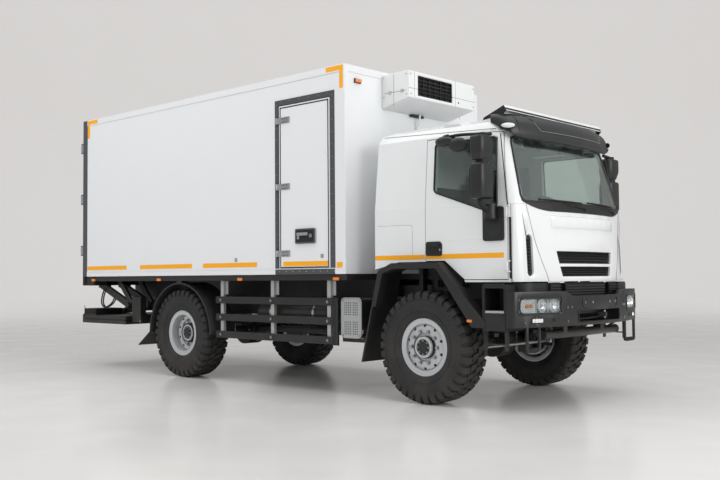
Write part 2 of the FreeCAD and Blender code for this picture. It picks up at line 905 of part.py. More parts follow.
def rear_axle():
    """A banjo axle with the spindles that carry the rear wheels."""
    reach = size.wheel_centre_offset + size.rear_disc_offset
    tube = bar("rear_tube", "Y", (REAR_AXLE, AXLE_HEIGHT), size.axle_tube_radius,
               (-size.backing_plate_offset, size.backing_plate_offset))
    spindle = bar("rear_spindle", "Y", (REAR_AXLE, AXLE_HEIGHT), size.spindle_radius, (-reach, reach))
    housing = bar("rear_diff", "Y", (REAR_AXLE, AXLE_HEIGHT), size.rear_diff_radius,
                  (-size.diff_half_length, size.diff_half_length))
    nose = bar("rear_diff_nose", "X", (0, AXLE_HEIGHT), size.diff_nose_radius,
               (REAR_AXLE, REAR_AXLE + size.diff_nose))
    plates = [
        bar(f"rear_plate_{word}", "Y", (REAR_AXLE, AXLE_HEIGHT), size.backing_plate_radius,
            across(side, size.backing_plate_offset, size.backing_plate_offset + size.backing_plate_thickness))
        for side, word in SIDES]
    return fuse("rear_axle", tube, spindle, housing, nose, *plates)


def build_springs():
    """Four leaf packs, each seated on its axle and hung from its rail."""
    packs = []
    half, bend, thickness = size.spring_half_length, size.spring_bend, size.spring_thickness
    rise = bend - root(bend * bend - half * half)
    low = AXLE_HEIGHT + size.axle_tube_radius + size.spring_seat
    fit, eye = size.seating_clearance, size.spring_eye_radius
    for axle, station in (("front", FRONT_AXLE), ("rear", REAR_AXLE)):
        outline = [
            (station - half, low + rise, bend, 1), (station + half, low + rise),
            (station + half, low + rise + thickness, bend, -1), (station - half, low + rise + thickness)]
        for side, word in SIDES:
            name = f"{axle}_{word}"
            half_width = size.spring_width / 2
            span = across(side, size.spring_offset - half_width, size.spring_offset + half_width)
            pieces = [
                prism(f"leaf_{name}", "XZ", outline, span),
                block(f"spring_seat_{name}", around(station, size.spring_width), span,
                      (AXLE_HEIGHT + size.axle_tube_radius / 2, low + thickness / 2))]
            for end, place_x in (("front", station + half), ("rear", station - half)):
                eye_height = low + rise + thickness / 2
                pieces.append(bar(f"spring_eye_{name}_{end}", "Y", (place_x, eye_height), eye, span))
                pieces.append(block(f"spring_hanger_{name}_{end}", around(place_x, eye), span,
                                    (eye_height, RAIL_BOTTOM - fit)))
            seat = bar(f"spring_saddle_{name}", "Y", (station, AXLE_HEIGHT), size.axle_tube_radius + fit,
                       (span[0] - OVERRUN, span[1] + OVERRUN))
            packs.append(cut(f"spring_{name}", fuse(f"spring_stock_{name}", *pieces), seat))
    node("leaf_springs", group("leaf_springs", *packs))


def build_knuckles():
    """Steering knuckles with spindle, brake backing plate and arm, and the rod that ties them."""
    pin = size.king_pin_offset
    for side, word in SIDES:
        height = around(AXLE_HEIGHT, size.knuckle_half_height)
        sleeve = bar(f"sleeve_{word}", "Z", (FRONT_AXLE, pin * side), size.knuckle_radius, height)
        spindle_end = size.wheel_centre_offset + size.front_disc_offset
        spindle = bar(f"front_spindle_{word}", "Y", (FRONT_AXLE, AXLE_HEIGHT), size.spindle_radius,
                      across(side, pin, spindle_end))
        plate_span = (size.backing_plate_offset, size.backing_plate_offset + size.backing_plate_thickness)
        plate = bar(f"front_plate_{word}", "Y", (FRONT_AXLE, AXLE_HEIGHT), size.backing_plate_radius,
                    across(side, *plate_span))
        neck = bar(f"front_neck_{word}", "Y", (FRONT_AXLE, AXLE_HEIGHT), size.knuckle_neck_radius,
                   across(side, pin + size.knuckle_radius / 2, plate_span[0]))
        arm_top = AXLE_HEIGHT - size.steering_arm_drop + size.steering_arm_height / 2
        arm_span = (arm_top - size.steering_arm_height, arm_top)
        half = size.steering_arm_half_width
        end = (pin - size.steering_arm_inset) * side
        tip = FRONT_AXLE + size.steering_arm_length
        arm = prism(f"steering_arm_{word}", "XY", [
            (FRONT_AXLE, pin * side - half), (tip, end - half), (tip + half, end - half),
            (tip + half, end + half), (tip, end + half), (FRONT_AXLE, pin * side + half)], arm_span)
        tie_pin = bar(f"tie_pin_{word}", "Z", (tip, end), size.tie_pin_radius,
                      (arm_top, arm_top + size.tie_pin_length))
        bore = bar(f"king_bore_{word}", "Z", (FRONT_AXLE, pin * side), size.king_pin_radius + size.running_clearance,
                   (height[0] - OVERRUN, height[1] + OVERRUN))
        body = fuse(f"knuckle_stock_{word}", sleeve, spindle, plate, neck, arm, tie_pin)
        node(f"knuckle_{word}", cut(f"knuckle_{word}", body, bore))
    build_tie_rod(arm_top, tip)


def build_tie_rod(arm_top, tip):
    """The rod that joins the two steering arms, with a bored boss at each end."""
    reach = size.king_pin_offset - size.steering_arm_inset
    low = arm_top + size.seating_clearance
    middle = low + size.tie_boss_height / 2
    rod = bar("tie_bar", "Y", (tip, middle), size.tie_rod_radius, (-reach, reach))
    bosses = [
        bar(f"tie_boss_{word}", "Z", (tip, reach * side), size.tie_boss_radius,
            (low, low + size.tie_boss_height)) for side, word in SIDES]
    bores = [
        bar(f"tie_bore_{word}", "Z", (tip, reach * side), size.tie_pin_radius + size.running_clearance,
            (low - OVERRUN, low + size.tie_boss_height + OVERRUN)) for side, word in SIDES]
    node("tie_rod", cut("tie_rod", fuse("tie_rod_stock", rod, *bosses), *bores))


def wheel_outline(side, disc_offset):
    """Half section of a pressed wheel with its hub and brake drum, from the wheel's centre plane."""
    bead, flange, lip = size.bead_half_width, size.flange_half_width, size.flange_lip
    seat, edge = size.bead_seat_radius, size.flange_radius
    wall, bore = size.rim_wall, size.spindle_radius + size.running_clearance
    face = disc_offset + wall
    cap = face + size.hub_stand_out
    drum, drum_end = size.drum_radius, -size.drum_reach
    corners = [
        (-flange, edge), (-flange + lip, edge), (-bead, seat), (bead, seat), (flange - lip, edge),
        (flange, edge), (flange, edge - lip), (bead + wall, seat - wall), (face, seat - wall),
        (face, size.hub_radius), (cap, size.hub_radius - lip), (cap, 0), (cap - size.hub_cap_wall, 0),
        (cap - size.hub_cap_wall, bore), (drum_end + size.drum_depth, bore),
        (drum_end + size.drum_depth, drum - size.drum_wall), (drum_end, drum - size.drum_wall),
        (drum_end, drum), (disc_offset, drum), (disc_offset, seat - wall),
        (-bead - wall, seat - wall), (-flange, edge - lip)]
    centre = size.wheel_centre_offset
    placed = []
    for offset, radius in corners:
        placed.append(((centre + offset) * side, radius))
    return placed


def tyre_outline(side):
    """Section of a tyre that seats on its rim with a small clearance."""
    fit = size.seating_clearance
    bead, flange = size.bead_half_width, size.flange_half_width
    half = [
        (bead - fit, size.bead_seat_radius + fit), (flange - size.flange_lip - fit, size.flange_radius + fit),
        (flange, size.flange_radius + fit), (size.tyre_half_width, size.sidewall_middle_radius),
        (size.tyre_half_width - size.flange_lip, size.tyre_shoulder_radius),
        (size.tread_half_width, size.tyre_radius)]
    section = half + [(-offset, radius) for offset, radius in reversed(half)]
    centre = size.wheel_centre_offset
    return [((centre + offset) * side, radius) for offset, radius in section]


def build_wheels():
    """Four single wheels: a tyre and a rim with its hub and drum each."""
    for axle, station, disc_offset in (
            ("front", FRONT_AXLE, size.front_disc_offset), ("rear", REAR_AXLE, size.rear_disc_offset)):
        for side, word in SIDES:
            name = f"{axle}_{word}"
            rim = turned(f"rim_{name}", station, AXLE_HEIGHT, wheel_outline(side, disc_offset))
            node(f"rim_{name}", rim)
            node(f"tyre_{name}", turned(f"tyre_{name}", station, AXLE_HEIGHT, tyre_outline(side)))


def build_tanks():
    """Fuel tank and battery box on the left, air tanks and silencer with its shield on the right."""
    rail, fit = size.rail_offset, size.seating_clearance
    battery_x = (REAR_AXLE + size.battery_rear_gap, REAR_AXLE + size.battery_rear_gap + size.battery_length)
    tank_x = (battery_x[1] + size.tank_battery_gap, FRONT_AXLE - size.tank_front)
    stock = block("fuel_tank_stock", tank_x, (size.tank_inner, size.tank_outer),
                  (size.tank_bottom, size.tank_top))
    shell = rounded("fuel_tank_shell", stock, size.tank_round, runs_along("X"))
    brackets = [
        block(f"tank_bracket_{index}", around(tank_x[0] + (tank_x[1] - tank_x[0]) * share, size.guard_post_width / 2),
              (rail + fit, size.tank_inner + size.tank_round), (RAIL_BOTTOM, size.tank_top - size.tank_round))
        for index, share in enumerate(TANK_BRACKET_SHARES)]
    node("fuel_tank", fuse("fuel_tank", shell, *brackets))
    battery = block("battery_box", battery_x, (rail + fit, size.tank_outer),
                    (size.battery_bottom, size.battery_top))
    radius = size.air_tank_radius
    ends = (battery_x[1], FRONT_AXLE - size.air_tank_front)
    tanks = []
    for index, offset in enumerate((size.air_tank_offset, size.air_tank_offset + radius * 2 + size.overrun)):
        tanks.append(bar(f"air_tank_{index}", "X", (-offset, size.air_tank_height), radius, ends))
    strap = block("air_tank_bracket", around((ends[0] + ends[1]) / 2, size.guard_post_width),
                  (-size.air_tank_offset - radius * 2, -rail - fit), around(size.air_tank_height, radius / 2))
    x_span = (FRONT_AXLE - size.silencer_rear, FRONT_AXLE - size.silencer_front)
    z_span = (size.silencer_bottom, size.silencer_top)
    stock = block("silencer_stock", x_span, (-size.silencer_outer, -rail - fit), z_span)
    silencer = rounded("exhaust_silencer", stock, size.silencer_round, runs_along("Y"))
    node("tanks_and_silencer", group("tanks_and_silencer", battery, fuse("air_tanks", *tanks, strap), silencer))
    face = size.silencer_outer + size.shield_gap
    shield = block("exhaust_shield_stock", x_span, (-face - size.shield_thickness, -face), z_span)
    plate = rounded("exhaust_shield_plate", shield, size.silencer_round, runs_along("Y"))
    middle = (z_span[0] + z_span[1]) / 2
    stays = [
        block(f"shield_stay_{index}", around(station, size.shield_thickness),
              (-face, -size.silencer_outer - fit), around(middle, size.shield_thickness))
        for index, station in enumerate((x_span[0] + size.silencer_round, x_span[1] - size.silencer_round))]
    node("exhaust_shield", fuse("exhaust_shield", plate, *stays))


def build_side_guards():
    """Three rails a side on posts that hang from the edge rail of the box."""
    ends = (REAR_AXLE + size.guard_rear_gap, FRONT_AXLE - size.guard_front)
    guards = []
    for side, word in SIDES:
        outer = size.guard_offset
        inner = outer - size.guard_rail_depth
        post = inner - size.seating_clearance
        for index, low in enumerate((size.guard_low, size.guard_middle, size.guard_high)):
            guards.append(block(f"guard_rail_{word}_{index}", ends, across(side, inner, outer),
                                (low, low + size.guard_rail_height)))
        for index, share in enumerate(GUARD_POST_SHARES):
            start = ends[0] + (ends[1] - ends[0] - size.guard_post_width) * share
            guards.append(block(f"guard_post_{word}_{index}", (start, start + size.guard_post_width),
                                across(side, post - size.guard_post_depth, post),
                                (size.guard_low, BEARER_BOTTOM - size.seating_clearance)))
    node("side_guards", group("side_guards", *guards))


def rear_mudguards():
    """A half-round guard over each rear wheel, hung from the edge rail, with a flap behind it."""
    inner = size.mudguard_inner_radius
    outer = inner + size.mudguard_thickness
    front, top, rear = REAR_AXLE + outer, AXLE_HEIGHT + outer, REAR_AXLE - outer
    tail, foot = REAR_AXLE - size.mudguard_tail, size.mudguard_flap_bottom
    edge = size.box_half_width - size.side_rail_inset
    outline = [
        (front, AXLE_HEIGHT, outer, 1), (REAR_AXLE, top, outer, 1), (rear, AXLE_HEIGHT),
        (tail, foot), (tail + size.mudguard_thickness, foot),
        (REAR_AXLE - inner, AXLE_HEIGHT, inner, -1), (REAR_AXLE, AXLE_HEIGHT + inner, inner, -1),
        (REAR_AXLE + inner, AXLE_HEIGHT)]
    guards = []
    for side, word in SIDES:
        guard = prism(f"mudguard_{word}", "XZ", outline, across(side, edge - size.mudguard_width, edge))
        hanger = block(f"mudguard_hanger_{word}", around(REAR_AXLE, size.guard_post_width),
                       across(side, edge - size.side_rail_width, edge),
                       (top - size.mudguard_thickness, BEARER_BOTTOM - size.seating_clearance))
        guards.append(fuse(f"rear_mudguard_{word}", guard, hanger))
    return guards


def build_box():
    """Floor, walls, roof and the rear frame of the insulated load space."""
    low, high = size.box_floor_underside, size.box_top - size.box_roof
    half, inner = size.box_half_width, size.box_half_width - size.box_wall
    rear, front = BOX_REAR + size.rear_post_depth, BOX_FRONT
    inside_front = front - size.box_front_wall
    node("box_floor", block("box_floor", (rear, inside_front), (-inner, inner), (low, low + size.box_floor)))
    node("box_wall_front", block("box_wall_front", (inside_front, front), (-inner, inner), (low, high)))
    left = block("box_wall_left", (rear, front), (inner, half), (low, high))
    door_rear, door_front = FRONT_AXLE - size.side_door_rear, FRONT_AXLE - size.side_door_front
    doorway = [
        (rear, low), (door_rear, low), (door_rear, size.side_door_top), (door_front, size.side_door_top),
        (door_front, low), (front, low), (front, high), (rear, high)]
    right = prism("box_wall_right", "XZ", doorway, (-half, -inner))
    node("box_side_walls", group("box_side_walls", left, right))
    roof = block("box_roof_stock", (rear, front), (-half, half), (high, size.box_top))
    node("box_roof", rounded("box_roof", roof, size.box_roof / 4, on_top_side_edges))
    opening = rectangle((-half + size.rear_post_width, half - size.rear_post_width),
                        (low + size.rear_sill, size.box_top - size.rear_header))
    frame = prism("rear_frame_ring", "YZ", rectangle((-half, half), (low, size.box_top)),
                  (BOX_REAR, rear), [opening])
    rear_frame = fuse("rear_frame", frame, *rear_hinge_brackets())
    node("door_frames", group("door_frames", rear_frame, build_side_door()))


def on_top_side_edges(edge):
    """The two long upper edges of the roof."""
    top = size.box_top.value
    return runs_along("X")(edge) and abs(edge.CenterOfMass.z - top) < 1


def rear_hinge_heights():
    """Middle height of each hinge strap of a rear door."""
    low = size.box_floor_underside + size.rear_sill
    span = size.box_top - size.rear_header - low
    return [low + span * share for share in REAR_HINGE_SHARES]


def rear_hinge_brackets():
    """Lugs on the rear posts with the pins that the straps turn on."""
    pin_x = BOX_REAR - size.rear_pin_setback
    pin_y = size.box_half_width - size.rear_pin_inset
    radius, tall = size.rear_pin_radius, size.rear_hinge_height
    pieces = []
    for side, word in SIDES:
        for index, height in enumerate(rear_hinge_heights()):
            ends = around(height, tall / 2 + radius * 2)
            pieces.append(bar(f"rear_pin_{word}_{index}", "Z", (pin_x, pin_y * side), radius, ends))
            for level, z_span in enumerate(((ends[0], height - tall / 2), (height + tall / 2, ends[1]))):
                gap = size.seating_clearance
                lug_span = (z_span[0], z_span[1] - gap) if level == 0 else (z_span[0] + gap, z_span[1])
                pieces.append(block(f"rear_lug_{word}_{index}_{level}", (pin_x - radius, BOX_REAR),
                                    across(side, pin_y - radius, pin_y + radius), lug_span))
    return pieces


def build_rear_doors():
    """Two insulated leaves on strap hinges, each with an upright locking bar."""
    low = size.box_floor_underside + size.rear_sill + size.door_gap
    high = size.box_top - size.rear_header - size.door_gap
    outer = size.box_half_width - size.rear_post_width - size.door_gap
    pin_x, pin_y = BOX_REAR - size.rear_pin_setback, size.box_half_width - size.rear_pin_inset
    radius = size.rear_pin_radius
    barrel, neck = size.rear_barrel_radius, size.rear_neck_length
    for side, word in SIDES:
        leaf = block(f"rear_leaf_{word}", (BOX_REAR, BOX_REAR + size.rear_door_thickness),
                     across(side, size.rear_meeting_gap / 2, outer), (low, high))
        pieces, bores = [], []
        for index, height in enumerate(rear_hinge_heights()):
            z_span = around(height, size.rear_hinge_height / 2)
            pieces.append(block(f"rear_strap_{word}_{index}", (pin_x + neck, BOX_REAR - size.door_gap / 2),
                                across(side, outer - size.side_strap_length, pin_y + radius), z_span))
            pieces.append(block(f"rear_pad_{word}_{index}", (pin_x + neck, BOX_REAR),
                                across(side, outer - size.side_strap_length, outer - size.door_gap), z_span))
            pieces.append(block(f"rear_web_{word}_{index}", (pin_x, pin_x + neck),
                                across(side, pin_y - radius, pin_y + radius), z_span))
            pieces.append(bar(f"rear_barrel_{word}_{index}", "Z", (pin_x, pin_y * side), barrel, z_span))
            bores.append(bar(f"rear_bore_{word}_{index}", "Z", (pin_x, pin_y * side),
                             radius + size.running_clearance, around(height, size.rear_hinge_height)))
        bar_x = BOX_REAR - size.lock_bar_stand_off - size.lock_bar_radius
        bar_y = size.lock_bar_inset * side
        pieces.append(bar(f"lock_bar_{word}", "Z", (bar_x, bar_y), size.lock_bar_radius, (low, high)))
        for index, share in enumerate(LOCK_KEEPER_SHARES):
            keeper = low + (high - low) * share
            pieces.append(block(f"lock_keeper_{word}_{index}", (bar_x, BOX_REAR),
                                around(bar_y, size.lock_bar_radius * 2), around(keeper, size.lock_bar_radius * 2)))
        node(f"rear_door_{word}", leaf)
        fittings = fuse(f"rear_fittings_stock_{word}", *pieces)
        node(f"rear_door_fittings_{word}", cut(f"rear_door_fittings_{word}", fittings, *bores))


def side_door_spans():
    """The leaf's place in its frame: along the truck and up."""
    edge = size.side_door_frame + size.door_gap
    x_span = (FRONT_AXLE - size.side_door_rear + edge, FRONT_AXLE - size.side_door_front - edge)
    return x_span, (size.box_floor_underside + edge, size.side_door_top - edge)


def build_side_door():
    """The insulated leaf on the kerb side with its hinges and lock box; returns its frame."""
    half, edge = size.box_half_width, size.side_door_frame
    face = half + size.side_frame_proud
    door_x = (FRONT_AXLE - size.side_door_rear, FRONT_AXLE - size.side_door_front)
    door_z = (size.box_floor_underside, size.side_door_top)
    hole = rectangle((door_x[0] + edge, door_x[1] - edge), (door_z[0] + edge, door_z[1] - edge))
    frame = prism("side_frame_ring", "XZ", rectangle(door_x, door_z), (-face, size.box_wall - half), [hole])
    x_span, z_span = side_door_spans()
    thickness = size.box_wall - size.side_frame_proud / 2
    leaf = block("side_leaf", x_span, (-face, thickness - face), z_span)
    pin_x, pin_y = x_span[0] - size.side_pin_setback, -face - size.side_pin_inset
    radius, tall = size.side_pin_radius, size.side_strap_height
    straps, bores, lugs = [], [], []
    for index, share in enumerate(SIDE_HINGE_SHARES):
        height = z_span[0] + (z_span[1] - z_span[0]) * share
        strap_z = around(height, tall / 2)
        straps.append(block(f"side_strap_{index}", (x_span[0], x_span[0] + size.side_strap_length),
                            (-face - size.side_strap_thickness, -face), strap_z))
        straps.append(block(f"side_strap_neck_{index}", (pin_x, x_span[0]),
                            (-face - size.side_strap_thickness, -face - size.side_strap_clearance), strap_z))
        straps.append(bar(f"side_barrel_{index}", "Z", (pin_x, pin_y), size.side_barrel_radius, strap_z))
        bores.append(bar(f"side_bore_{index}", "Z", (pin_x, pin_y), radius + size.running_clearance,
                         around(height, tall)))
        ends = around(height, tall / 2 + radius * 2)
        lugs.append(bar(f"side_pin_{index}", "Z", (pin_x, pin_y), radius, ends))
        gap = size.seating_clearance
        for level, lug_z in enumerate(((ends[0], strap_z[0] - gap), (strap_z[1] + gap, ends[1]))):
            lugs.append(block(f"side_lug_{index}_{level}", around(pin_x, radius), (pin_y - radius, -face), lug_z))
    lock_z = around(size.lock_box_z, size.lock_box_height / 2)
    lock_rear = x_span[0] + size.lock_box_setback
    lock_x = (lock_rear, lock_rear + size.lock_box_length)
    straps.append(block("side_lock_box", lock_x, (-face - size.lock_box_depth, -face), lock_z))
    node("side_door", leaf)
    node("side_door_fittings", cut("side_door_fittings", fuse("side_straps", *straps), *bores))
    return fuse("side_door_frame", frame, *lugs)


def build_cooling_unit():
    """The unit on the front wall, its grille and the evaporator inside the load space."""
    half, front = size.unit_half_width, BOX_FRONT + size.unit_depth
    outline = [
        (BOX_FRONT, size.unit_underside), (front, size.unit_front_bottom), (front, size.unit_top),
        (BOX_FRONT, size.unit_top)]
    case = prism("unit_case", "XZ", outline, (-half, half))
    grille_y = (-size.unit_grille_right, size.unit_grille_left)
    grille_z = (size.unit_grille_bottom, size.unit_grille_top)
    depth = size.unit_grille_depth
    recess = block("unit_recess", (front - depth, front + OVERRUN), grille_y, grille_z)
    unit = cut("cooling_unit_case", case, recess)
    thick, deep = size.unit_grille_bar, (front - depth, front - size.unit_grille_setback)
    bars = []
    for index in range(GRILLE_UPRIGHTS):
        place_y = grille_y[0] + (grille_y[1] - grille_y[0] - thick) * (index / (GRILLE_UPRIGHTS - 1))
        bars.append(block(f"grille_upright_{index}", deep, (place_y, place_y + thick), grille_z))
    for index in range(GRILLE_SLATS):
        place_z = grille_z[0] + (grille_z[1] - grille_z[0] - thick) * (index / (GRILLE_SLATS - 1))
        bars.append(block(f"grille_slat_{index}", deep, grille_y, (place_z, place_z + thick)))
    node("cooling_grille", fuse("cooling_grille", *bars))
    inside = BOX_FRONT - size.box_front_wall
    ceiling = size.box_top - size.box_roof
    half = size.evaporator_half_width
    rear = inside - size.evaporator_depth
    outline = [
        (rear, ceiling - size.evaporator_height / 2), (inside, ceiling - size.evaporator_height),
        (inside, ceiling), (rear, ceiling)]
    evaporator = prism("evaporator", "XZ", outline, (-half, half))
    node("cooling_unit", group("cooling_unit", unit, evaporator))


def cab_section(reach, half_width, setback, radius, inset):
    """Level section of the cab: flat back and sides, rounded front corners and a crowned front."""
    crown = size.cab_crown_radius - inset
    half = half_width - inset
    rear = FRONT_AXLE - setback + inset
    front = FRONT_AXLE + reach - inset
    corner = radius - inset
    centre = front - crown
    beside = half - corner
    ahead = root((crown - corner) * (crown - corner) - beside * beside)
    tangent_x = centre + ahead * crown / (crown - corner)
    tangent_y = beside * crown / (crown - corner)
    return [
        (rear, -half), (centre + ahead, -half, corner, 1), (tangent_x, -tangent_y, crown, 1),
        (tangent_x, tangent_y, corner, 1), (centre + ahead, half), (rear, half)]


def cab_loft(name, inset, below):
    """The cab's outer form, or the same form inset all round."""
    levels = (
        (size.cab_bottom - below, size.cab_front_reach, size.cab_half_width, size.cab_rear_setback),
        (size.cab_belt, size.cab_belt_reach, size.cab_half_width, size.cab_rear_setback),
        (size.cab_head, size.cab_head_reach, size.cab_head_half_width, size.cab_head_setback),
        (size.cab_shoulder - inset / 2, size.cab_shoulder_reach, size.cab_shoulder_half_width,
         size.cab_shoulder_setback),
        (size.cab_roof - inset, size.cab_roof_reach, size.cab_roof_half_width, size.cab_roof_setback))
    return lofted(name, [
        (height, cab_section(reach, half, setback, size.cab_corner_radius, inset))
        for height, reach, half, setback in levels])


def side_prism(name, outline, side):
    """A cutter or slice through one side wall of the cab."""
    skin = size.cab_half_width
    return prism(name, "XZ", outline, across(side, skin - size.cab_slice_depth, skin + OVERRUN))


def door_outline(gap):
    """Edge of a cab door from its lower rear corner round by the front, drawn in by a gap."""
    axle = FRONT_AXLE
    return [
        (axle - size.door_rear + gap, size.arch_height + gap),
        (axle + size.arch_front_corner + gap / 2, size.arch_height + gap),
        (axle + size.skirt_front_corner + gap / 2, size.skirt_front_height + gap),
        (axle + size.door_front_low - gap, size.skirt_front_height + gap),
        (axle + size.door_front_low - gap, size.cab_belt), (axle + size.door_front_high - gap, size.door_top - gap),
        (axle - size.door_rear + gap, size.door_top - gap)]


def window_outline(gap):
    axle = FRONT_AXLE
    return [
        (axle + size.window_rear + gap, size.window_low_rear + gap),
        (axle + size.window_middle, size.window_low_middle + gap),
        (axle + size.window_front_low - gap, size.window_low_middle + size.window_lip + gap),
        (axle + size.window_front_high - gap, size.window_top - gap),
        (axle + size.window_rear + gap, size.window_top - gap)]


def screen_outline(gap):
    low, high = size.screen_half_low - gap, size.screen_half_high - gap
    return [
        (-low, size.screen_low + gap), (low, size.screen_low + gap),
        (high, size.screen_high - gap), (-high, size.screen_high - gap)]


def slot_outline(half, low, high, gap):
    """A front air slot, narrower at its foot."""
    foot = half - size.vent_taper - gap
    return [(-foot, low + gap), (foot, low + gap), (half - gap, high - gap), (-half + gap, high - gap)]


def corner_vent_outline(side, gap):
    """An upright slot with round ends in a front corner."""
    y_span = across(side, size.corner_vent_inner + gap, size.corner_vent_outer - gap)
    radius = (y_span[1] - y_span[0]) / 2
    low, high = size.corner_vent_low + gap + radius, size.corner_vent_high - gap - radius
    middle = (y_span[0] + y_span[1]) / 2
    return [
        (y_span[0], low, radius, 1), (middle, low - radius, radius, 1), (y_span[1], low),
        (y_span[1], high, radius, 1), (middle, high + radius, radius, 1), (y_span[0], high)]


def build_cab():
    """The tilting cab: shell, front panel, windscreen, doors, floor and fittings."""
    outer = cab_loft("cab_outer", 0, 0)
    inner = cab_loft("cab_inner", size.cab_wall, OVERRUN)
    hull = cut("cab_hull", outer, inner)
    glass_inner = cab_loft("cab_glass_inner", size.glass_thickness, OVERRUN)
    glass_skin = cut("cab_glass_skin", outer, glass_inner)
    axle = FRONT_AXLE
    behind = axle - size.cab_rear_setback - OVERRUN
    under = size.cab_bottom - OVERRUN
    skirt = prism("cab_skirt", "XZ", [
        (behind, under), (axle + size.skirt_front_corner + OVERRUN, under),
        (axle + size.skirt_front_corner, size.skirt_front_height),
        (axle + size.arch_front_corner, size.arch_height), (axle - size.arch_rear_corner, size.arch_height),
        (behind, size.skirt_rear_height)],
        (-size.cab_half_width - OVERRUN, size.cab_half_width + OVERRUN))
    ahead = (axle + size.front_panel_rear, axle + size.cab_front_reach + OVERRUN)
    width = size.cab_half_width + OVERRUN
    screen_x = (axle + size.cab_roof_reach, axle + size.cab_front_reach + OVERRUN)
    screen_hole = prism("screen_hole", "YZ", screen_outline(0), screen_x)
    panel_zone = block("front_panel_zone", ahead, (-width, width), (under, size.front_panel_top))
    tools = [skirt, screen_hole, panel_zone]
    hinges = []
    for side, word in SIDES:
        tools.append(side_prism(f"door_hole_{word}", door_outline(0), side))
        hinges += cab_hinge_lugs(side, word)
    shell = cut("cab_shell_stock", hull, *tools)
    node("cab_shell", fuse("cab_shell", shell, *hinges))
    fit = size.seating_clearance
    screen = prism("screen_slice", "YZ", screen_outline(fit), screen_x)
    node("windscreen", common("windscreen", glass_skin, screen))
    build_front_panel(hull, inner, ahead, width, under)
    for side, word in SIDES:
        build_cab_door(side, word, hull, glass_skin)
    build_cab_inside()
    build_visor(outer)


def build_front_panel(hull, inner, ahead, width, under):
    """The panel below the windscreen with its raised pad, its air slots and their slatted dark inserts."""
    fit = size.seating_clearance
    slice_panel = block("front_panel_slice", (ahead[0] + fit, ahead[1]), (-width, width),
                        (under, size.front_panel_top - fit))
    pad_form = cab_loft("name_pad_form", -size.badge_proud, 0)
    pad_slice = block("name_pad_slice", ahead, (-size.badge_half, size.badge_half), (size.badge_low, size.badge_high))
    pad = cut("name_pad", common("name_pad_stock", pad_form, pad_slice), inner)
    stock = fuse("front_panel_padded", common("front_panel_stock", hull, slice_panel), pad)
    recess = cut("vent_skin", cab_loft("cab_vent_outer", size.vent_recess, OVERRUN), inner)
    slots, inserts = [], []
    upper = (size.vent_upper_low, size.vent_upper_high)
    lower = (size.vent_lower_low, size.vent_lower_high)
    corner = (size.corner_vent_low + size.vent_taper, size.corner_vent_high - size.vent_taper)
    shapes = [
        ("upper", lambda inset: slot_outline(size.vent_upper_half, *upper, inset), upper, FRONT_SLOT_ROWS),
        ("lower", lambda inset: slot_outline(size.vent_lower_half, *lower, inset), lower, FRONT_SLOT_ROWS),
        ("right", lambda inset: corner_vent_outline(RIGHT, inset), corner, CORNER_SLOT_ROWS),
        ("left", lambda inset: corner_vent_outline(LEFT, inset), corner, CORNER_SLOT_ROWS)]
    margin = size.vent_recess
    reaches = {
        "upper": (size.vent_taper * 2 - size.vent_upper_half, size.vent_upper_half - size.vent_taper * 2),
        "lower": (size.vent_taper * 2 - size.vent_lower_half, size.vent_lower_half - size.vent_taper * 2),
        "right": across(RIGHT, size.corner_vent_inner + margin, size.corner_vent_outer - margin),
        "left": across(LEFT, size.corner_vent_inner + margin, size.corner_vent_outer - margin)}
    for word, outline, z_span, rows in shapes:
        slots.append(prism(f"vent_hole_{word}", "YZ", outline(0), ahead))
        insert = common(f"vent_blank_{word}", recess, prism(f"vent_slice_{word}", "YZ", outline(fit), ahead))
        inserts.append(cut(f"vent_insert_{word}", insert, *slat_gaps(word, ahead, reaches[word], z_span, rows)))
    node("front_panel", cut("front_panel", stock, *slots))
    node("front_vents", group("front_vents", *inserts))


def slat_gaps(word, x_span, y_span, z_span, rows):
    """The level gaps between the slats of an air slot, as wide as the slats between them."""
    step = (z_span[1] - z_span[0]) / (rows * 2 + 1)
    return [
        block(f"vent_gap_{word}_{row}", x_span, y_span,
              (z_span[0] + step * (row * 2 + 1), z_span[0] + step * (row * 2 + 2)))
        for row in range(rows)]


def cab_pin_place(side):
    """Where the hinge pins of a cab door stand: along the truck and across it."""
    x = FRONT_AXLE + size.door_front_low - size.panel_gap
    return x, (size.cab_half_width + size.cab_pin_radius) * side


def cab_hinge_spans():
    """The heights that each barrel of a cab door's hinges fills."""
    return [around(middle, size.cab_pin_length / 2) for middle in (size.cab_pin_low, size.cab_pin_high)]


def cab_hinge_lugs(side, word):
    """Hinge pins of one cab door, each on two lugs of the shell."""
    x, y = cab_pin_place(side)
    radius, fit = size.cab_pin_radius, size.seating_clearance
    skin, face = size.cab_half_width, size.cab_half_width + radius * 2
    pieces = []
    for index, barrel in enumerate(cab_hinge_spans()):
        ends = (barrel[0] - radius * 2, barrel[1] + radius * 2)
        pieces.append(bar(f"cab_pin_{word}_{index}", "Z", (x, y), radius, ends))
        for level, z_span in enumerate(((ends[0], barrel[0] - fit), (barrel[1] + fit, ends[1]))):
            tip = x + size.cab_lug_reach
            pieces.append(block(f"cab_lug_{word}_{index}_{level}", (x, tip), across(side, skin + fit, face), z_span))
            pieces.append(block(f"cab_lug_root_{word}_{index}_{level}", (x + radius * 2, tip),
                                across(side, skin - size.cab_wall / 2, face), z_span))
    return pieces


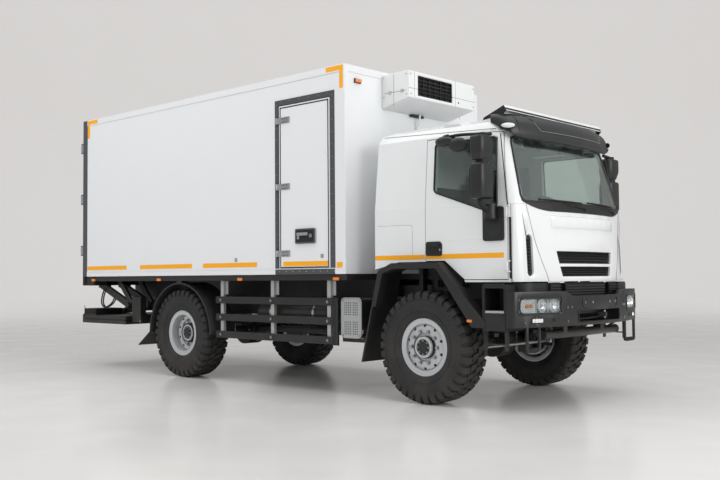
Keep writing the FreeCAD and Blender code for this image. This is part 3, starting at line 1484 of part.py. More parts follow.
def cab_hinge_barrels(side, word):
    """Straps and barrels on a cab door, and the bores through them."""
    x, y = cab_pin_place(side)
    skin, barrel = size.cab_half_width, size.cab_barrel_radius
    pieces, bores = [], []
    for index, z_span in enumerate(cab_hinge_spans()):
        pieces.append(bar(f"cab_barrel_{word}_{index}", "Z", (x, y), barrel, z_span))
        pieces.append(block(f"cab_strap_{word}_{index}", (x - size.cab_strap_length, x),
                            across(side, skin - barrel, skin + size.cab_pin_radius), z_span))
        bores.append(bar(f"cab_bore_{word}_{index}", "Z", (x, y), size.cab_pin_radius + size.running_clearance,
                         (z_span[0] - OVERRUN, z_span[1] + OVERRUN)))
    return pieces, bores


def build_cab_door(side, word, hull, glass_skin):
    """One cab door: leaf cut from the cab's own form, its glass and its mirrors."""
    gap, fit = size.panel_gap, size.seating_clearance
    leaf = common(f"cab_leaf_{word}", hull, side_prism(f"door_slice_{word}", door_outline(gap), side))
    window = side_prism(f"window_hole_{word}", window_outline(0), side)
    straps, bores = cab_hinge_barrels(side, word)
    hung = fuse(f"cab_leaf_hung_{word}", cut(f"cab_leaf_cut_{word}", leaf, window), *straps)
    node(f"cab_door_{word}", cut(f"cab_door_{word}", hung, *bores))
    pane = side_prism(f"window_slice_{word}", window_outline(fit), side)
    node(f"door_glass_{word}", common(f"door_glass_{word}", glass_skin, pane))
    node(f"door_mirrors_{word}", build_mirrors(side, word))


def build_mirrors(side, word):
    """The two main mirrors on their post and plate, with the kerb mirror above the right window."""
    station, plate = FRONT_AXLE + size.mirror_station, size.mirror_plate_thickness
    reach, radius, skin = size.mirror_reach, size.mirror_arm_radius, size.cab_half_width
    half, neck, low = size.mirror_half_width, size.mirror_neck_half, size.mirror_split
    outlines = {
        "main": [(-half, size.mirror_low), (half, size.mirror_low), (half, low - size.panel_gap),
                 (-half, low - size.panel_gap)],
        "wide": [(-neck, low), (neck, low), (half, low + size.mirror_taper), (half, size.mirror_high),
                 (-half, size.mirror_high), (-half, low + size.mirror_taper)]}
    pieces = [
        mirror_housing(f"mirror_{kind}_{word}", [(y * side + reach * side, z) for y, z in outline], station)
        for kind, outline in outlines.items()]
    pieces.append(block(f"mirror_plate_{word}", around(station + radius * 3, half), across(side, skin, skin + plate),
                        (size.mirror_plate_low, size.mirror_plate_high)))
    arm_height = size.mirror_plate_high - radius * 3
    pieces.append(bar(f"mirror_arm_{word}", "Y", (station, arm_height), radius, across(side, skin, reach)))
    pieces.append(bar(f"mirror_post_{word}", "Z", (station, reach * side), radius,
                      (arm_height, size.mirror_high - radius * 2)))
    mirrors = fuse(f"main_mirrors_{word}", *pieces)
    return group(f"door_mirrors_{word}", mirrors, kerb_mirror()) if side == RIGHT else mirrors


def mirror_housing(name, outline, station):
    """One housing, rounded at its corners and round its front face."""
    depth = around(station, size.mirror_depth / 2)
    stock = rounded(f"{name}_corners", prism(f"{name}_block", "YZ", outline, depth), size.mirror_round, runs_along("X"))
    front = depth[1].value

    def on_front(edge):
        return min(vertex.X for vertex in edge.Vertexes) > front - size.seating_clearance.value

    return rounded(name, stock, size.mirror_face_round, on_front)


def kerb_mirror():
    """Two round lobes beside the window's upper edge on an arm from the door's head."""
    y_span = across(RIGHT, size.kerb_mirror_inner, size.kerb_mirror_outer)
    rear, height = FRONT_AXLE + size.kerb_mirror_station, size.kerb_mirror_height
    lobes = [
        bar(f"kerb_lobe_{index}", "Y", (station, height), size.kerb_mirror_radius, y_span)
        for index, station in enumerate((rear, rear + size.kerb_mirror_spacing))]
    root, radius = FRONT_AXLE + size.kerb_arm_station, size.kerb_arm_radius
    middle = -(size.kerb_mirror_inner + size.kerb_mirror_outer) / 2
    lean = (size.cab_half_width - size.cab_head_half_width) / (size.cab_head - size.cab_belt)
    wall = size.cab_head_half_width + lean * (size.cab_head - size.kerb_arm_height + radius)
    arms = [
        bar("kerb_arm_across", "Y", (root, size.kerb_arm_height), radius, (middle, -wall - size.seating_clearance)),
        bar("kerb_arm_along", "X", (middle, size.kerb_arm_height), radius, (root, rear))]
    return fuse("kerb_mirror", *lobes, *arms)


def build_cab_inside():
    """Floor with the engine tunnel, tilt arms and seat pedestals, dashboard, steering wheel and seats."""
    axle, fit = FRONT_AXLE, size.seating_clearance
    thick = size.cab_floor_thickness
    rear = axle - size.cab_rear_setback + size.cab_wall + fit
    step = axle + size.cab_floor_step
    toe = axle + size.toe_board_reach
    foot = step + size.cab_floor_step_run
    high, low = CAB_FLOOR, size.cab_floor_front_height
    half = size.cab_half_width - size.cab_wall - fit
    profile = [
        (rear, high - thick), (step, high - thick), (foot, low - thick), (toe + thick, low - thick),
        (toe + thick, size.dash_low - fit), (toe, size.dash_low - fit), (toe, low), (foot + thick / 2, low),
        (step + thick / 2, high), (rear, high)]
    sheet = prism("cab_floor_sheet", "XZ", profile, (-half, half))
    wide, tunnel_top = size.tunnel_half_width, high + size.tunnel_height
    tunnel_x = (rear, axle + size.tunnel_front)
    cover = block("tunnel_cover", tunnel_x, (-wide, wide), (low - thick, tunnel_top))
    hollow = block("tunnel_hollow", (rear - OVERRUN, tunnel_x[1] - thick), (thick - wide, wide - thick),
                   (low - thick - OVERRUN, tunnel_top - thick))
    stock = fuse("cab_floor_stock", sheet, cover, *tilt_arms(), *seat_pedestals(rear, high))
    bores = [
        bar(f"tilt_bore_{word}", "Y", (axle + size.tilt_reach, size.tilt_height),
            size.tilt_pin_radius + size.running_clearance,
            across(side, size.rail_offset, size.rail_offset + size.tilt_arm_width + OVERRUN)) for side, word in SIDES]
    node("cab_floor", cut("cab_floor", stock, hollow, *bores))
    dash_rear, half = axle + size.dash_rear, size.dash_half_width
    profile = [
        (dash_rear + thick, size.dash_low), (axle + size.cab_front_reach, size.dash_low),
        (axle + size.cab_front_reach, size.dash_high), (dash_rear + thick * 2, size.dash_high),
        (dash_rear, size.dash_high - thick * 2)]
    stock = prism("dashboard_stock", "XZ", profile, (-half, half))
    within = cab_loft("dashboard_limit", size.cab_wall + size.panel_gap, 0)
    dashboard = node("dashboard", common("dashboard", stock, within))
    build_steering_wheel(dashboard)
    build_seats(rear)


def tilt_arms():
    """The arms under the cab floor that reach down to the tilt pins on the rails."""
    root_x, pin_x = FRONT_AXLE + size.tilt_arm_root, FRONT_AXLE + size.tilt_reach
    pin_z, boss = size.tilt_height, size.tilt_boss_radius
    top = size.cab_floor_front_height - size.cab_floor_thickness / 2
    arms = []
    for side, word in SIDES:
        gap = size.lift_plate_gap / 2
        y_span = across(side, size.rail_offset + gap, size.rail_offset + gap + size.tilt_arm_width)
        arms.append(prism(f"tilt_arm_{word}", "XZ", [
            (root_x, top), (pin_x - boss, pin_z), (pin_x + boss, pin_z),
            (FRONT_AXLE + size.toe_board_reach, top)], y_span))
        arms.append(bar(f"tilt_boss_{word}", "Y", (pin_x, pin_z), boss, y_span))
    return arms


def seat_pedestals(rear, floor):
    """The plain stands under the two seats."""
    back, thick = rear + size.seat_rear_gap, size.seat_back_thickness
    top = size.seat_height - size.seat_cushion - size.seating_clearance
    return [
        block(f"seat_base_{word}", (back + thick, back + size.seat_length),
              around(size.seat_centre * side, size.seat_base_half_width), (floor - size.cab_floor_thickness / 2, top))
        for side, word in SIDES]


def build_steering_wheel(dashboard):
    """A rim, hub and spoke tilted to the driver, on a column that ends at the dashboard."""
    wheel_x = FRONT_AXLE + size.steering_wheel_reach
    spot = (wheel_x, size.seat_centre, size.steering_wheel_height)
    rim = document.addObject("Part::Torus", "steering_rim")
    bind(rim, "Radius1", size.steering_wheel_radius)
    bind(rim, "Radius2", size.steering_rim_radius)
    rim.Placement = FreeCAD.Placement(Vector(), Rotation(Vector(0, 1, 0), -size.steering_tilt.value))
    bind(rim, "Placement.Rotation.Angle", size.steering_tilt)
    place(rim, *spot)
    spoke = bar("steering_spoke", "Y", (spot[0], spot[2]), size.steering_spoke_radius,
                around(size.seat_centre, size.steering_wheel_radius))
    column = document.addObject("Part::Cylinder", "steering_column")
    column.Placement = FreeCAD.Placement(Vector(), Rotation(Vector(0, 1, 0), 180 - size.steering_tilt.value))
    bind(column, "Radius", size.column_radius)
    bind(column, "Height", size.column_length)
    place(column, *spot)
    stock = fuse("steering_stock", rim, spoke, column)
    node("steering_wheel", cut("steering_wheel", stock, dashboard))


def build_seats(rear):
    """Two seats, each a cushion and a back in one profile."""
    back = rear + size.seat_rear_gap
    thick, deep = size.seat_back_thickness, size.seat_cushion
    top = size.seat_height
    lean = size.seat_lean
    front = back + thick + size.seat_length
    outline = [
        (back + lean, top - deep), (front, top - deep), (front, top), (back + thick + lean, top),
        (back + thick, size.seat_back_top), (back, size.seat_back_top)]
    node("seats", group("seats", *[
        prism(f"seat_{word}", "XZ", outline, around(size.seat_centre * side, size.seat_half_width))
        for side, word in SIDES]))


def build_visor(outer):
    """The dark visor over the windscreen and the white deflector behind it."""
    wall, axle = size.visor_wall, FRONT_AXLE
    top = size.visor_brow_height + size.visor_top_rise
    levels = (
        (size.visor_low, size.visor_front), (size.visor_brow_height, size.visor_brow_reach),
        (top, size.visor_top_reach))
    hollow_levels = (
        (size.visor_low - OVERRUN, size.visor_front), (size.visor_brow_height, size.visor_brow_reach),
        (top - wall, size.visor_top_reach))
    shells = []
    for name, inset, rear, sections in (
            ("visor_outer", 0, -size.visor_rear, levels),
            ("visor_inner", wall, -size.visor_rear + wall + OVERRUN, hollow_levels)):
        shells.append(lofted(name, [
            (height, cab_section(reach, size.visor_half_width, rear, size.cab_corner_radius, inset))
            for height, reach in sections]))
    shell = cut("visor_shell", *shells)
    foot_x = (axle + size.visor_rear, axle + size.visor_rear + size.visor_foot_length)
    feet = [
        block(f"visor_foot_{index}", foot_x, around(size.visor_half_width * share, wall),
              (size.cab_head, top - wall))
        for index, share in enumerate(VISOR_FOOT_SHARES)]
    notch_x = (axle + size.visor_rear - OVERRUN, axle + size.visor_notch_front)
    notch_z = (size.visor_low - OVERRUN, size.door_top + size.visor_notch_clearance)
    notches = [
        block(f"visor_notch_{word}", notch_x, across(side, size.visor_notch_half, size.cab_half_width), notch_z)
        for side, word in SIDES]
    node("sun_visor", cut("sun_visor", fuse("visor_stock", shell, *feet), outer, *notches))
    build_deflector(outer)


def build_deflector(outer):
    """A sloping plate with a cheek at each end, open below, that rises from the roof behind the visor."""
    wall, gap, half = size.deflector_wall, size.panel_gap, size.deflector_half_width
    tail, apex = FRONT_AXLE + size.deflector_tail, FRONT_AXLE + size.deflector_apex
    front, lip = FRONT_AXLE + size.visor_rear - gap, size.visor_brow_height + size.visor_top_rise + gap
    wedge = [
        (tail, size.cab_shoulder), (front, size.cab_shoulder), (front, lip), (apex + size.visor_wall, lip),
        (apex, size.deflector_top), (tail, size.cab_roof)]
    hollow = [
        (tail + wall, size.cab_shoulder - OVERRUN), (front - wall, size.cab_shoulder - OVERRUN), (front - wall, lip),
        (apex - wall, size.deflector_top - wall * 2), (tail + wall, size.cab_roof - wall)]
    stock = cut("deflector_shell", prism("deflector_stock", "XZ", wedge, (-half, half)),
                prism("deflector_hollow", "XZ", hollow, (wall - half, half - wall)))
    node("roof_deflector", cut("roof_deflector", stock, outer))


def build_mudguards():
    """Black arches, flaps and step boxes at the front, guards at the rear, and the pale step treads."""
    axle, sheet, band = FRONT_AXLE, size.mudguard_thickness, size.front_arch_band
    top = size.front_arch_top
    flap_low = (axle - size.front_flap_bottom, size.front_flap_height)
    flap_high = (axle - size.front_flap_middle, size.front_flap_middle_height)
    rear = (axle - size.front_arch_rear, size.front_arch_rear_height)
    rear_top, front_top = axle - size.arch_rear_corner, axle + size.arch_front_corner
    toe = (axle + size.front_arch_front, size.front_arch_front_height)
    step_edge = axle + size.step_rear + band / 2
    skin = [
        flap_high, (flap_high[0] + band, flap_high[1]), (rear[0] + band, rear[1] - band / 2),
        (rear_top + band / 3, top - band), (front_top - band / 3, top - band), (toe[0] - band, toe[1]),
        (step_edge, toe[1]), (step_edge, toe[1] + band), (front_top, top), (rear_top, top), rear]
    liner = [
        flap_low, (flap_low[0] + sheet, flap_low[1]), (flap_high[0] + sheet, flap_high[1]),
        (rear[0] + sheet, rear[1] - sheet / 2), (rear_top + sheet / 3, top - sheet), (front_top, top - sheet),
        (front_top, top), (rear_top, top), rear, flap_high]
    box_x = (axle + size.step_rear, axle + size.step_front)
    wall, reach = size.step_wall, size.rail_offset + size.seating_clearance
    tread_z = (size.step_tread_height - size.step_tread_thickness, size.step_tread_height)
    pieces, treads = [], []
    for side, word in SIDES:
        arch = prism(f"arch_skin_{word}", "XZ", skin, across(side, size.front_arch_inner, size.front_arch_outer))
        guard = prism(f"arch_liner_{word}", "XZ", liner, across(side, size.front_flap_inner, size.front_arch_outer))
        step = block(f"step_box_{word}", box_x, across(side, size.step_inner, size.step_outer),
                     (size.step_bottom, size.step_top))
        front_stay = block(f"fairing_stay_front_{word}", (box_x[0] + wall, box_x[0] + wall + size.fairing_bracket),
                           across(side, reach, size.step_inner + wall), around(size.bumper_low + wall * 2, wall))
        rear_stay = block(f"fairing_stay_rear_{word}", (flap_high[0] + sheet / 3, flap_high[0] + sheet * 2),
                          across(side, reach, size.front_flap_inner + wall), around(flap_high[1], wall))
        pocket = block(f"step_pocket_{word}", (box_x[0] + wall, box_x[1] - wall),
                       across(side, size.step_inner + wall, size.step_outer + OVERRUN),
                       (tread_z[0], size.step_top - wall))
        stock = fuse(f"front_fairing_stock_{word}", arch, guard, step)
        bored = cut(f"front_fairing_bored_{word}", stock, pocket)
        pieces.append(fuse(f"front_fairing_{word}", bored, front_stay, rear_stay))
        treads.append(block(f"step_tread_{word}", (box_x[0] + wall, box_x[1] - wall),
                            across(side, size.step_inner + wall, size.step_outer), tread_z))
    node("mudguards", group("mudguards", *pieces, *rear_mudguards()))
    node("step_treads", group("step_treads", *treads))


def bumper_reach(offset, depth):
    """How far forward the bumper's face, or the face inset by a depth, stands at an offset."""
    crown = size.bumper_crown
    within = crown - depth
    return FRONT_AXLE + size.front_overhang - crown + root(within * within - offset * offset)


def build_bumper():
    """The crowned steel bumper with its arms, foot steps, headlamps and fog lamps."""
    half, crown, depth = size.bumper_half_width, size.bumper_crown, size.bumper_depth
    front = FRONT_AXLE + size.front_overhang
    end, inner_end = bumper_reach(half, 0), bumper_reach(half, depth)
    outline = [(inner_end, -half), (end, -half, crown, 1), (end, half), (inner_end, half, crown - depth, -1)]
    blank = prism("bumper_blank", "XY", outline, (size.bumper_low, size.bumper_high))
    middle = ((inner_end + end) / 2).value
    stock = rounded("bumper_stock", blank, size.bumper_end_round,
                    lambda edge: runs_along("Z")(edge) and edge.CenterOfMass.x > middle)
    x_span = (inner_end - OVERRUN, front + OVERRUN)
    dip_cut = prism("bumper_dip_cut", "YZ", bumper_dip_outline(), x_span)
    slot, fit = size.slot_half_width, size.seating_clearance
    tools = [dip_cut, block("bumper_slot", x_span, (-slot, slot), (size.slot_low, size.slot_high))]
    lamps, carried = [], []
    for side, word in SIDES:
        tools.append(block(f"lamp_hole_{word}", x_span, across(side, size.lamp_inner, size.lamp_outer),
                           (size.lamp_low, size.lamp_high)))
        spot = (size.fog_offset * side, size.fog_height)
        tools.append(bar(f"fog_hole_{word}", "X", spot, size.fog_radius, x_span))
        lens = block(f"lamp_block_{word}", x_span, across(side, size.lamp_inner + fit, size.lamp_outer - fit),
                     (size.lamp_low + fit, size.lamp_high - fit))
        fog = bar(f"fog_block_{word}", "X", spot, size.fog_radius - fit, x_span)
        lamps += [common(f"headlamp_{word}", stock, lens), common(f"fog_lamp_{word}", stock, fog)]
        rail = size.rail_offset
        arm_x = (FRONT_AXLE + size.rail_front_reach + fit, bumper_reach(rail - size.rail_flange, depth / 2))
        carried.append(block(f"bumper_arm_{word}", arm_x, across(side, rail - size.rail_flange, rail),
                             (size.slot_high + size.lift_plate_gap, size.bumper_dip - depth / 2)))
        carried += foot_step(side, word)
    pressing = cut("bumper_pressing", stock, *tools)
    node("bumper", fuse("bumper", pressing, *carried))
    node("headlamps", group("headlamps", *lamps))


def bumper_dip_outline():
    """The lowered middle of the bumper's upper edge, with a double bend at each end."""
    low, high = size.bumper_dip, size.bumper_high
    dip, run, rise = size.bumper_dip_half, size.bumper_dip_run, high - low
    bend = (run * run + rise * rise) / (rise * 4)
    half_way, level = dip + run / 2, (low + high) / 2
    outer = dip + run
    return [
        (-dip, low), (dip, low, bend, 1), (half_way, level, bend, -1), (outer, high), (outer, high + OVERRUN),
        (-outer, high + OVERRUN), (-outer, high, bend, -1), (-half_way, level, bend, 1)]


def foot_step(side, word):
    """A tube bent into a foothold under one end of the bumper."""
    reach, tube = FRONT_AXLE + size.foot_step_reach, size.foot_step_tube
    ends = around(size.foot_step_offset * side, size.foot_step_half_width)
    low = size.foot_step_bottom + tube
    pieces = [bar(f"foot_bar_{word}", "Y", (reach, low), tube, ends)]
    for index, y in enumerate(ends):
        pieces.append(bar(f"foot_leg_{word}_{index}", "Z", (reach, y), tube, (low, size.bumper_low + tube)))
    return pieces


def build_lamps():
    """Amber markers low along the box and the rear lamp boxes."""
    length, height, depth = size.marker_length, size.marker_height, size.marker_depth
    edge, half = size.box_half_width - size.side_rail_inset, size.box_half_width
    span = (BOX_REAR + size.rear_post_depth, BOX_FRONT)
    low, floor = BEARER_BOTTOM, size.box_floor_underside
    lamps = []
    for side, word in SIDES:
        for index, share in enumerate(MARKER_SHARES):
            middle = span[0] + (span[1] - span[0]) * share
            lamps.append(block(f"marker_{word}_{index}", around(middle, length / 2),
                               across(side, edge, edge + depth), (low, low + height)))
        lamps.append(block(f"tail_lamp_{word}", (BOX_REAR, BOX_REAR + size.tail_lamp_depth),
                           across(side, half - size.tail_lamp_width, half), (floor - size.tail_lamp_height, floor)))
    node("lamps", group("lamps", *lamps))


def lift_points():
    """The arm's pivot on the chassis and the eye that carries the platform."""
    pivot = (REAR_AXLE - size.lift_pivot_reach, size.lift_pivot_height)
    return pivot, (pivot[0] - size.lift_arm_length, pivot[1] - size.lift_arm_drop)


def build_tail_lift():
    """The arm pair with its cross tube, and the folded platform that hangs from its eyes."""
    pivot, eye = lift_points()
    radius, width, plate = size.lift_pin_radius, size.lift_arm_width, size.lift_bracket_width
    inner, boss = size.lift_arm_offset, size.lift_boss_radius
    platform_rear = REAR_AXLE - size.rear_overhang
    platform_front = platform_rear + size.lift_plate_length
    top = eye[1] - boss - size.lift_clearance
    thick, gap = size.lift_plate_thickness, size.lift_plate_gap
    arms, bores, lugs = [], [], []
    for side, word in SIDES:
        y_span = across(side, inner, inner + width)
        arms.append(prism(f"lift_arm_{word}", "XZ", [
            (eye[0], eye[1] - boss), (pivot[0], pivot[1] - boss), (pivot[0], pivot[1] + boss),
            (eye[0], eye[1] + boss / 2)], y_span))
        for index, spot in enumerate((pivot, eye)):
            arms.append(bar(f"lift_boss_{word}_{index}", "Y", spot, boss, y_span))
            bores.append(bar(f"lift_bore_{word}_{index}", "Y", spot, radius + size.running_clearance,
                             across(side, inner - OVERRUN, inner + width + OVERRUN)))
        outer = inner + width + size.lift_clearance
        lugs.append(block(f"platform_lug_{word}", around(eye[0], boss), across(side, outer, outer + plate),
                          (top - thick / 2, eye[1] + radius + radius / 2)))
        lugs.append(bar(f"platform_pin_{word}", "Y", eye, radius, across(side, inner, outer + plate)))
    share = LIFT_TUBE_SHARE
    middle = (pivot[0] + (eye[0] - pivot[0]) * share, pivot[1] + (eye[1] - pivot[1]) * share)
    tube_half = inner + width / 2
    arms.append(bar("lift_cross_tube", "Y", middle, size.lift_beam_radius / 2, (-tube_half, tube_half)))
    node("lift_arms", cut("lift_arms", fuse("lift_arm_stock", *arms), *bores))
    half = size.lift_plate_half_width
    upper = block("platform_upper", (platform_rear + gap, platform_front), (-half, half), (top - thick, top))
    lower = block("platform_lower", (platform_rear + gap, platform_front), (-half, half),
                  (top - thick * 2 - gap, top - thick - gap))
    hinge = block("platform_fold", (platform_rear, platform_rear + thick), (-half, half), (top - thick * 2 - gap, top))
    node("lift_platform", fuse("lift_platform", upper, lower, hinge, *lugs))


def check_and_write():
    """Stop on a failed feature or a bad solid, and write each sub-part to its own file."""
    document.recompute()
    failed = [item.Name for item in document.Objects if {"Invalid", "Error"} & set(item.State)]
    if failed:
        raise RuntimeError(f"failed features: {failed}")
    for piece in nodes:
        if piece.Shape.isNull() or not piece.Shape.isValid() or not piece.Shape.Solids:
            raise RuntimeError(f"bad shape: {piece.Label}")
    os.makedirs("parts", exist_ok=True)
    for piece in nodes:
        piece.Shape.exportStep(f"parts/{piece.Label}.step")
    print(f"{len(nodes)} sub-parts written")


build_frame()
build_subframe()
build_drive()
node("axles", group("axles", front_axle(), rear_axle()))
build_springs()
build_knuckles()
build_wheels()
build_tanks()
build_side_guards()
build_box()
build_rear_doors()
build_cooling_unit()
build_cab()
build_mudguards()
build_bumper()
build_lamps()
build_tail_lift()
check_and_write()
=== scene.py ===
"""Looks of an off-road refrigerated truck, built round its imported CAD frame.

Metres in the row frame: +X to the front, +Y to the left, +Z up, the ground at zero.
"""

from __future__ import annotations

import itertools
import json
import logging
import math
from dataclasses import dataclass
from enum import Enum
from typing import Callable, Iterable, Optional, Sequence

import bmesh
import bpy
from mathutils import Matrix, Vector

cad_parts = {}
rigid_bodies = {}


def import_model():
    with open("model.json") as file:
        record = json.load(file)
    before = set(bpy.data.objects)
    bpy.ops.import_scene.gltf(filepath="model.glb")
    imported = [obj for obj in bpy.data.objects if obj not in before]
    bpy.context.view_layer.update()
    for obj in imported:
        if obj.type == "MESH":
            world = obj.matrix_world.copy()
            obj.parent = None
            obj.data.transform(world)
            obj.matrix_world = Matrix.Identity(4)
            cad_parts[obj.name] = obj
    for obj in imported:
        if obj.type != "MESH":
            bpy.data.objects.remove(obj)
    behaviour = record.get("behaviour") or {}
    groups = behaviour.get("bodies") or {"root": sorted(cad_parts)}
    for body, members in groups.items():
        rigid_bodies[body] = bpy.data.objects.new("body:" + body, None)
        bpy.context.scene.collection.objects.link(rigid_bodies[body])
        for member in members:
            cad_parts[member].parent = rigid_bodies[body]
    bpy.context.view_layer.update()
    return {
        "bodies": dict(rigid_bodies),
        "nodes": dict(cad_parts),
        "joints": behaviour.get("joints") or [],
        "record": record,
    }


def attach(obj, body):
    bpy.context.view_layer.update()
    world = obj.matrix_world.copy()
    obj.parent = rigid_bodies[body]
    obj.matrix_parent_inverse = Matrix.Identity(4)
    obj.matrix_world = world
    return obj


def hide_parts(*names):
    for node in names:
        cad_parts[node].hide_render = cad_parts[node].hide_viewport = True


LOG = logging.getLogger("refrigerated_truck")

Point = tuple[float, float, float]
Colour = tuple[float, float, float]
Span = tuple[float, float]
Outline = Sequence[Span]
Skin = Callable[[float, float, float], Point]
Socket = bpy.types.NodeSocket
Thing = bpy.types.Object

FRONT_AXLE = 2.695
REAR_AXLE = -1.455
AXLE_HEIGHT = 0.59
BOX_FRONT = 1.655
TRUCK_FRONT = 4.095
BOX_REAR = -3.855
BOX_HALF = 1.275
BOX_FLOOR = 1.36
BOX_TOP = 3.73
BUMPER_CROWN = 3.37
RIGHT = -1
LEFT = 1
SIDES = ((RIGHT, "right"), (LEFT, "left"))


class Axis(Enum):
    """The row's axes."""

    X = 0
    Y = 1
    Z = 2


class Texture(Enum):
    """Fine structure of a finish."""

    GRAIN = "grain"
    BRUSHED = "brushed"
    WEAVE = "weave"
    RIBS = "ribs"
    DIMPLES = "dimples"


@dataclass(frozen=True)
class Finish:
    """A procedural finish, worked out from each piece's place so that it has no seams.

    Attributes:
        name: name of the material.
        colour: base colour, linear.
        roughness: mean roughness.
        metallic: share of metal.
        coat: weight of a clear coat.
        spread: how far the colour wanders.
        grain: size of the fine structure, in cycles a metre.
        bump: height of the fine structure.
        dust: how much road dust lies on the lower parts.
        texture: kind of fine structure.
        glow: strength of its own light.
    """

    name: str
    colour: Colour
    roughness: float = 0.45
    metallic: float = 0.0
    coat: float = 0.0
    spread: float = 0.06
    grain: float = 90.0
    bump: float = 0.15
    dust: float = 0.0
    texture: Texture = Texture.GRAIN
    glow: float = 0.0

    def material(self) -> bpy.types.Material:
        """Build the material, or find the one built before.

        Returns:
            The material of this finish.
        """
        found = bpy.data.materials.get(self.name)
        if found is None:
            found = bpy.data.materials.new(self.name)
            found.use_nodes = True
            self._wire(NodeTree(found.node_tree))
        return found

    def _wire(self, tree: NodeTree) -> None:
        """Wire the finish in a new material's tree.

        Args:
            tree: the tree.
        """
        shader = tree.first("BSDF_PRINCIPLED")
        shader.inputs["Metallic"].default_value = self.metallic
        shader.inputs["Coat Weight"].default_value = self.coat
        shader.inputs["Coat Roughness"].default_value = 0.06
        place = tree.add("ShaderNodeTexCoord").outputs["Object"]
        broad = tree.noise(place, 1.7, 4.0)
        fine = self._structure(tree, place)
        shade = tuple(max(0.0, c * (1 - self.spread) - self.spread * 0.02) for c in self.colour)
        light = tuple(min(1.0, c * (1 + self.spread) + self.spread * 0.01) for c in self.colour)
        colour = tree.blend(broad, shade, light)
        if self.dust:
            height = tree.add("ShaderNodeSeparateXYZ", Vector=place).outputs["Z"]
            low = tree.span(height, 0.0, 1.5, self.dust, 0.0)
            patches = tree.span(tree.noise(place, 6.0, 6.0), 0.35, 0.75, 0.25, 1.0)
            amount = tree.add("ShaderNodeMath", operation="MULTIPLY", _0=low, _1=patches).outputs[0]
            colour = tree.blend(amount, colour, (0.24, 0.21, 0.175))
        tree.link(colour, shader.inputs["Base Color"])
        worn = tree.span(broad, 0.3, 0.7, self.roughness * 0.86, min(1.0, self.roughness * 1.16))
        tree.link(worn, shader.inputs["Roughness"])
        bump = tree.add("ShaderNodeBump", Height=fine, Distance=0.002, Strength=min(1.0, self.bump))
        tree.link(bump.outputs["Normal"], shader.inputs["Normal"])
        if self.glow:
            shader.inputs["Emission Strength"].default_value = self.glow
            tree.link(colour, shader.inputs["Emission Color"])

    def _structure(self, tree: NodeTree, place: Socket) -> Socket:
        """Fine structure as a height.

        Args:
            tree: tree to add to.
            place: socket with the place on the piece.

        Returns:
            Socket with the height from 0 to 1.
        """
        if self.texture is Texture.BRUSHED:
            long = tree.add("ShaderNodeMapping", Vector=place, Scale=(4.0, 4.0, self.grain * 6)).outputs[0]
            return tree.noise(long, 3.0, 3.0)
        if self.texture is Texture.WEAVE:
            waves = [tree.add("ShaderNodeTexWave", Vector=place, Scale=self.grain,
                              bands_direction=way).outputs["Fac"] for way in ("X", "Z")]
            return tree.add("ShaderNodeMath", operation="MULTIPLY", _0=waves[0], _1=waves[1]).outputs[0]
        if self.texture is Texture.RIBS:
            return tree.add("ShaderNodeTexWave", Vector=place, Scale=self.grain,
                            bands_direction="Y").outputs["Fac"]
        if self.texture is Texture.DIMPLES:
            cells = tree.add("ShaderNodeTexVoronoi", Vector=place, Scale=self.grain).outputs["Distance"]
            return tree.span(cells, 0.1, 0.45, 1.0, 0.0)
        return tree.noise(place, self.grain, 3.0)


@dataclass(frozen=True)
class GlassFinish(Finish):
    """Thin tinted glass: lets light straight through and mirrors the studio at a slant."""

    tint: float = 0.75

    def _wire(self, tree: NodeTree) -> None:
        """Wire the glass in a new material's tree.

        Args:
            tree: the tree.
        """
        tree.remove("BSDF_PRINCIPLED")
        place = tree.add("ShaderNodeTexCoord").outputs["Object"]
        haze = tree.noise(place, 3.0, 3.0)
        dark = tuple(c * self.tint * 0.93 for c in self.colour)
        clear = tuple(c * self.tint for c in self.colour)
        through = tree.add("ShaderNodeBsdfTransparent", Color=tree.blend(haze, dark, clear))
        smear = tree.span(haze, 0.3, 0.8, self.roughness * 0.6, self.roughness * 1.4)
        mirror = tree.add("ShaderNodeBsdfGlossy", Color=(0.95, 0.97, 0.98, 1), Roughness=smear)
        slant = tree.add("ShaderNodeFresnel", IOR=1.5).outputs[0]
        part = tree.span(slant, 0.0, 1.0, 0.015, 0.5)
        mixed = tree.add("ShaderNodeMixShader", Fac=part, _1=through.outputs[0], _2=mirror.outputs[0])
        tree.link(mixed.outputs[0], tree.first("OUTPUT_MATERIAL").inputs["Surface"])


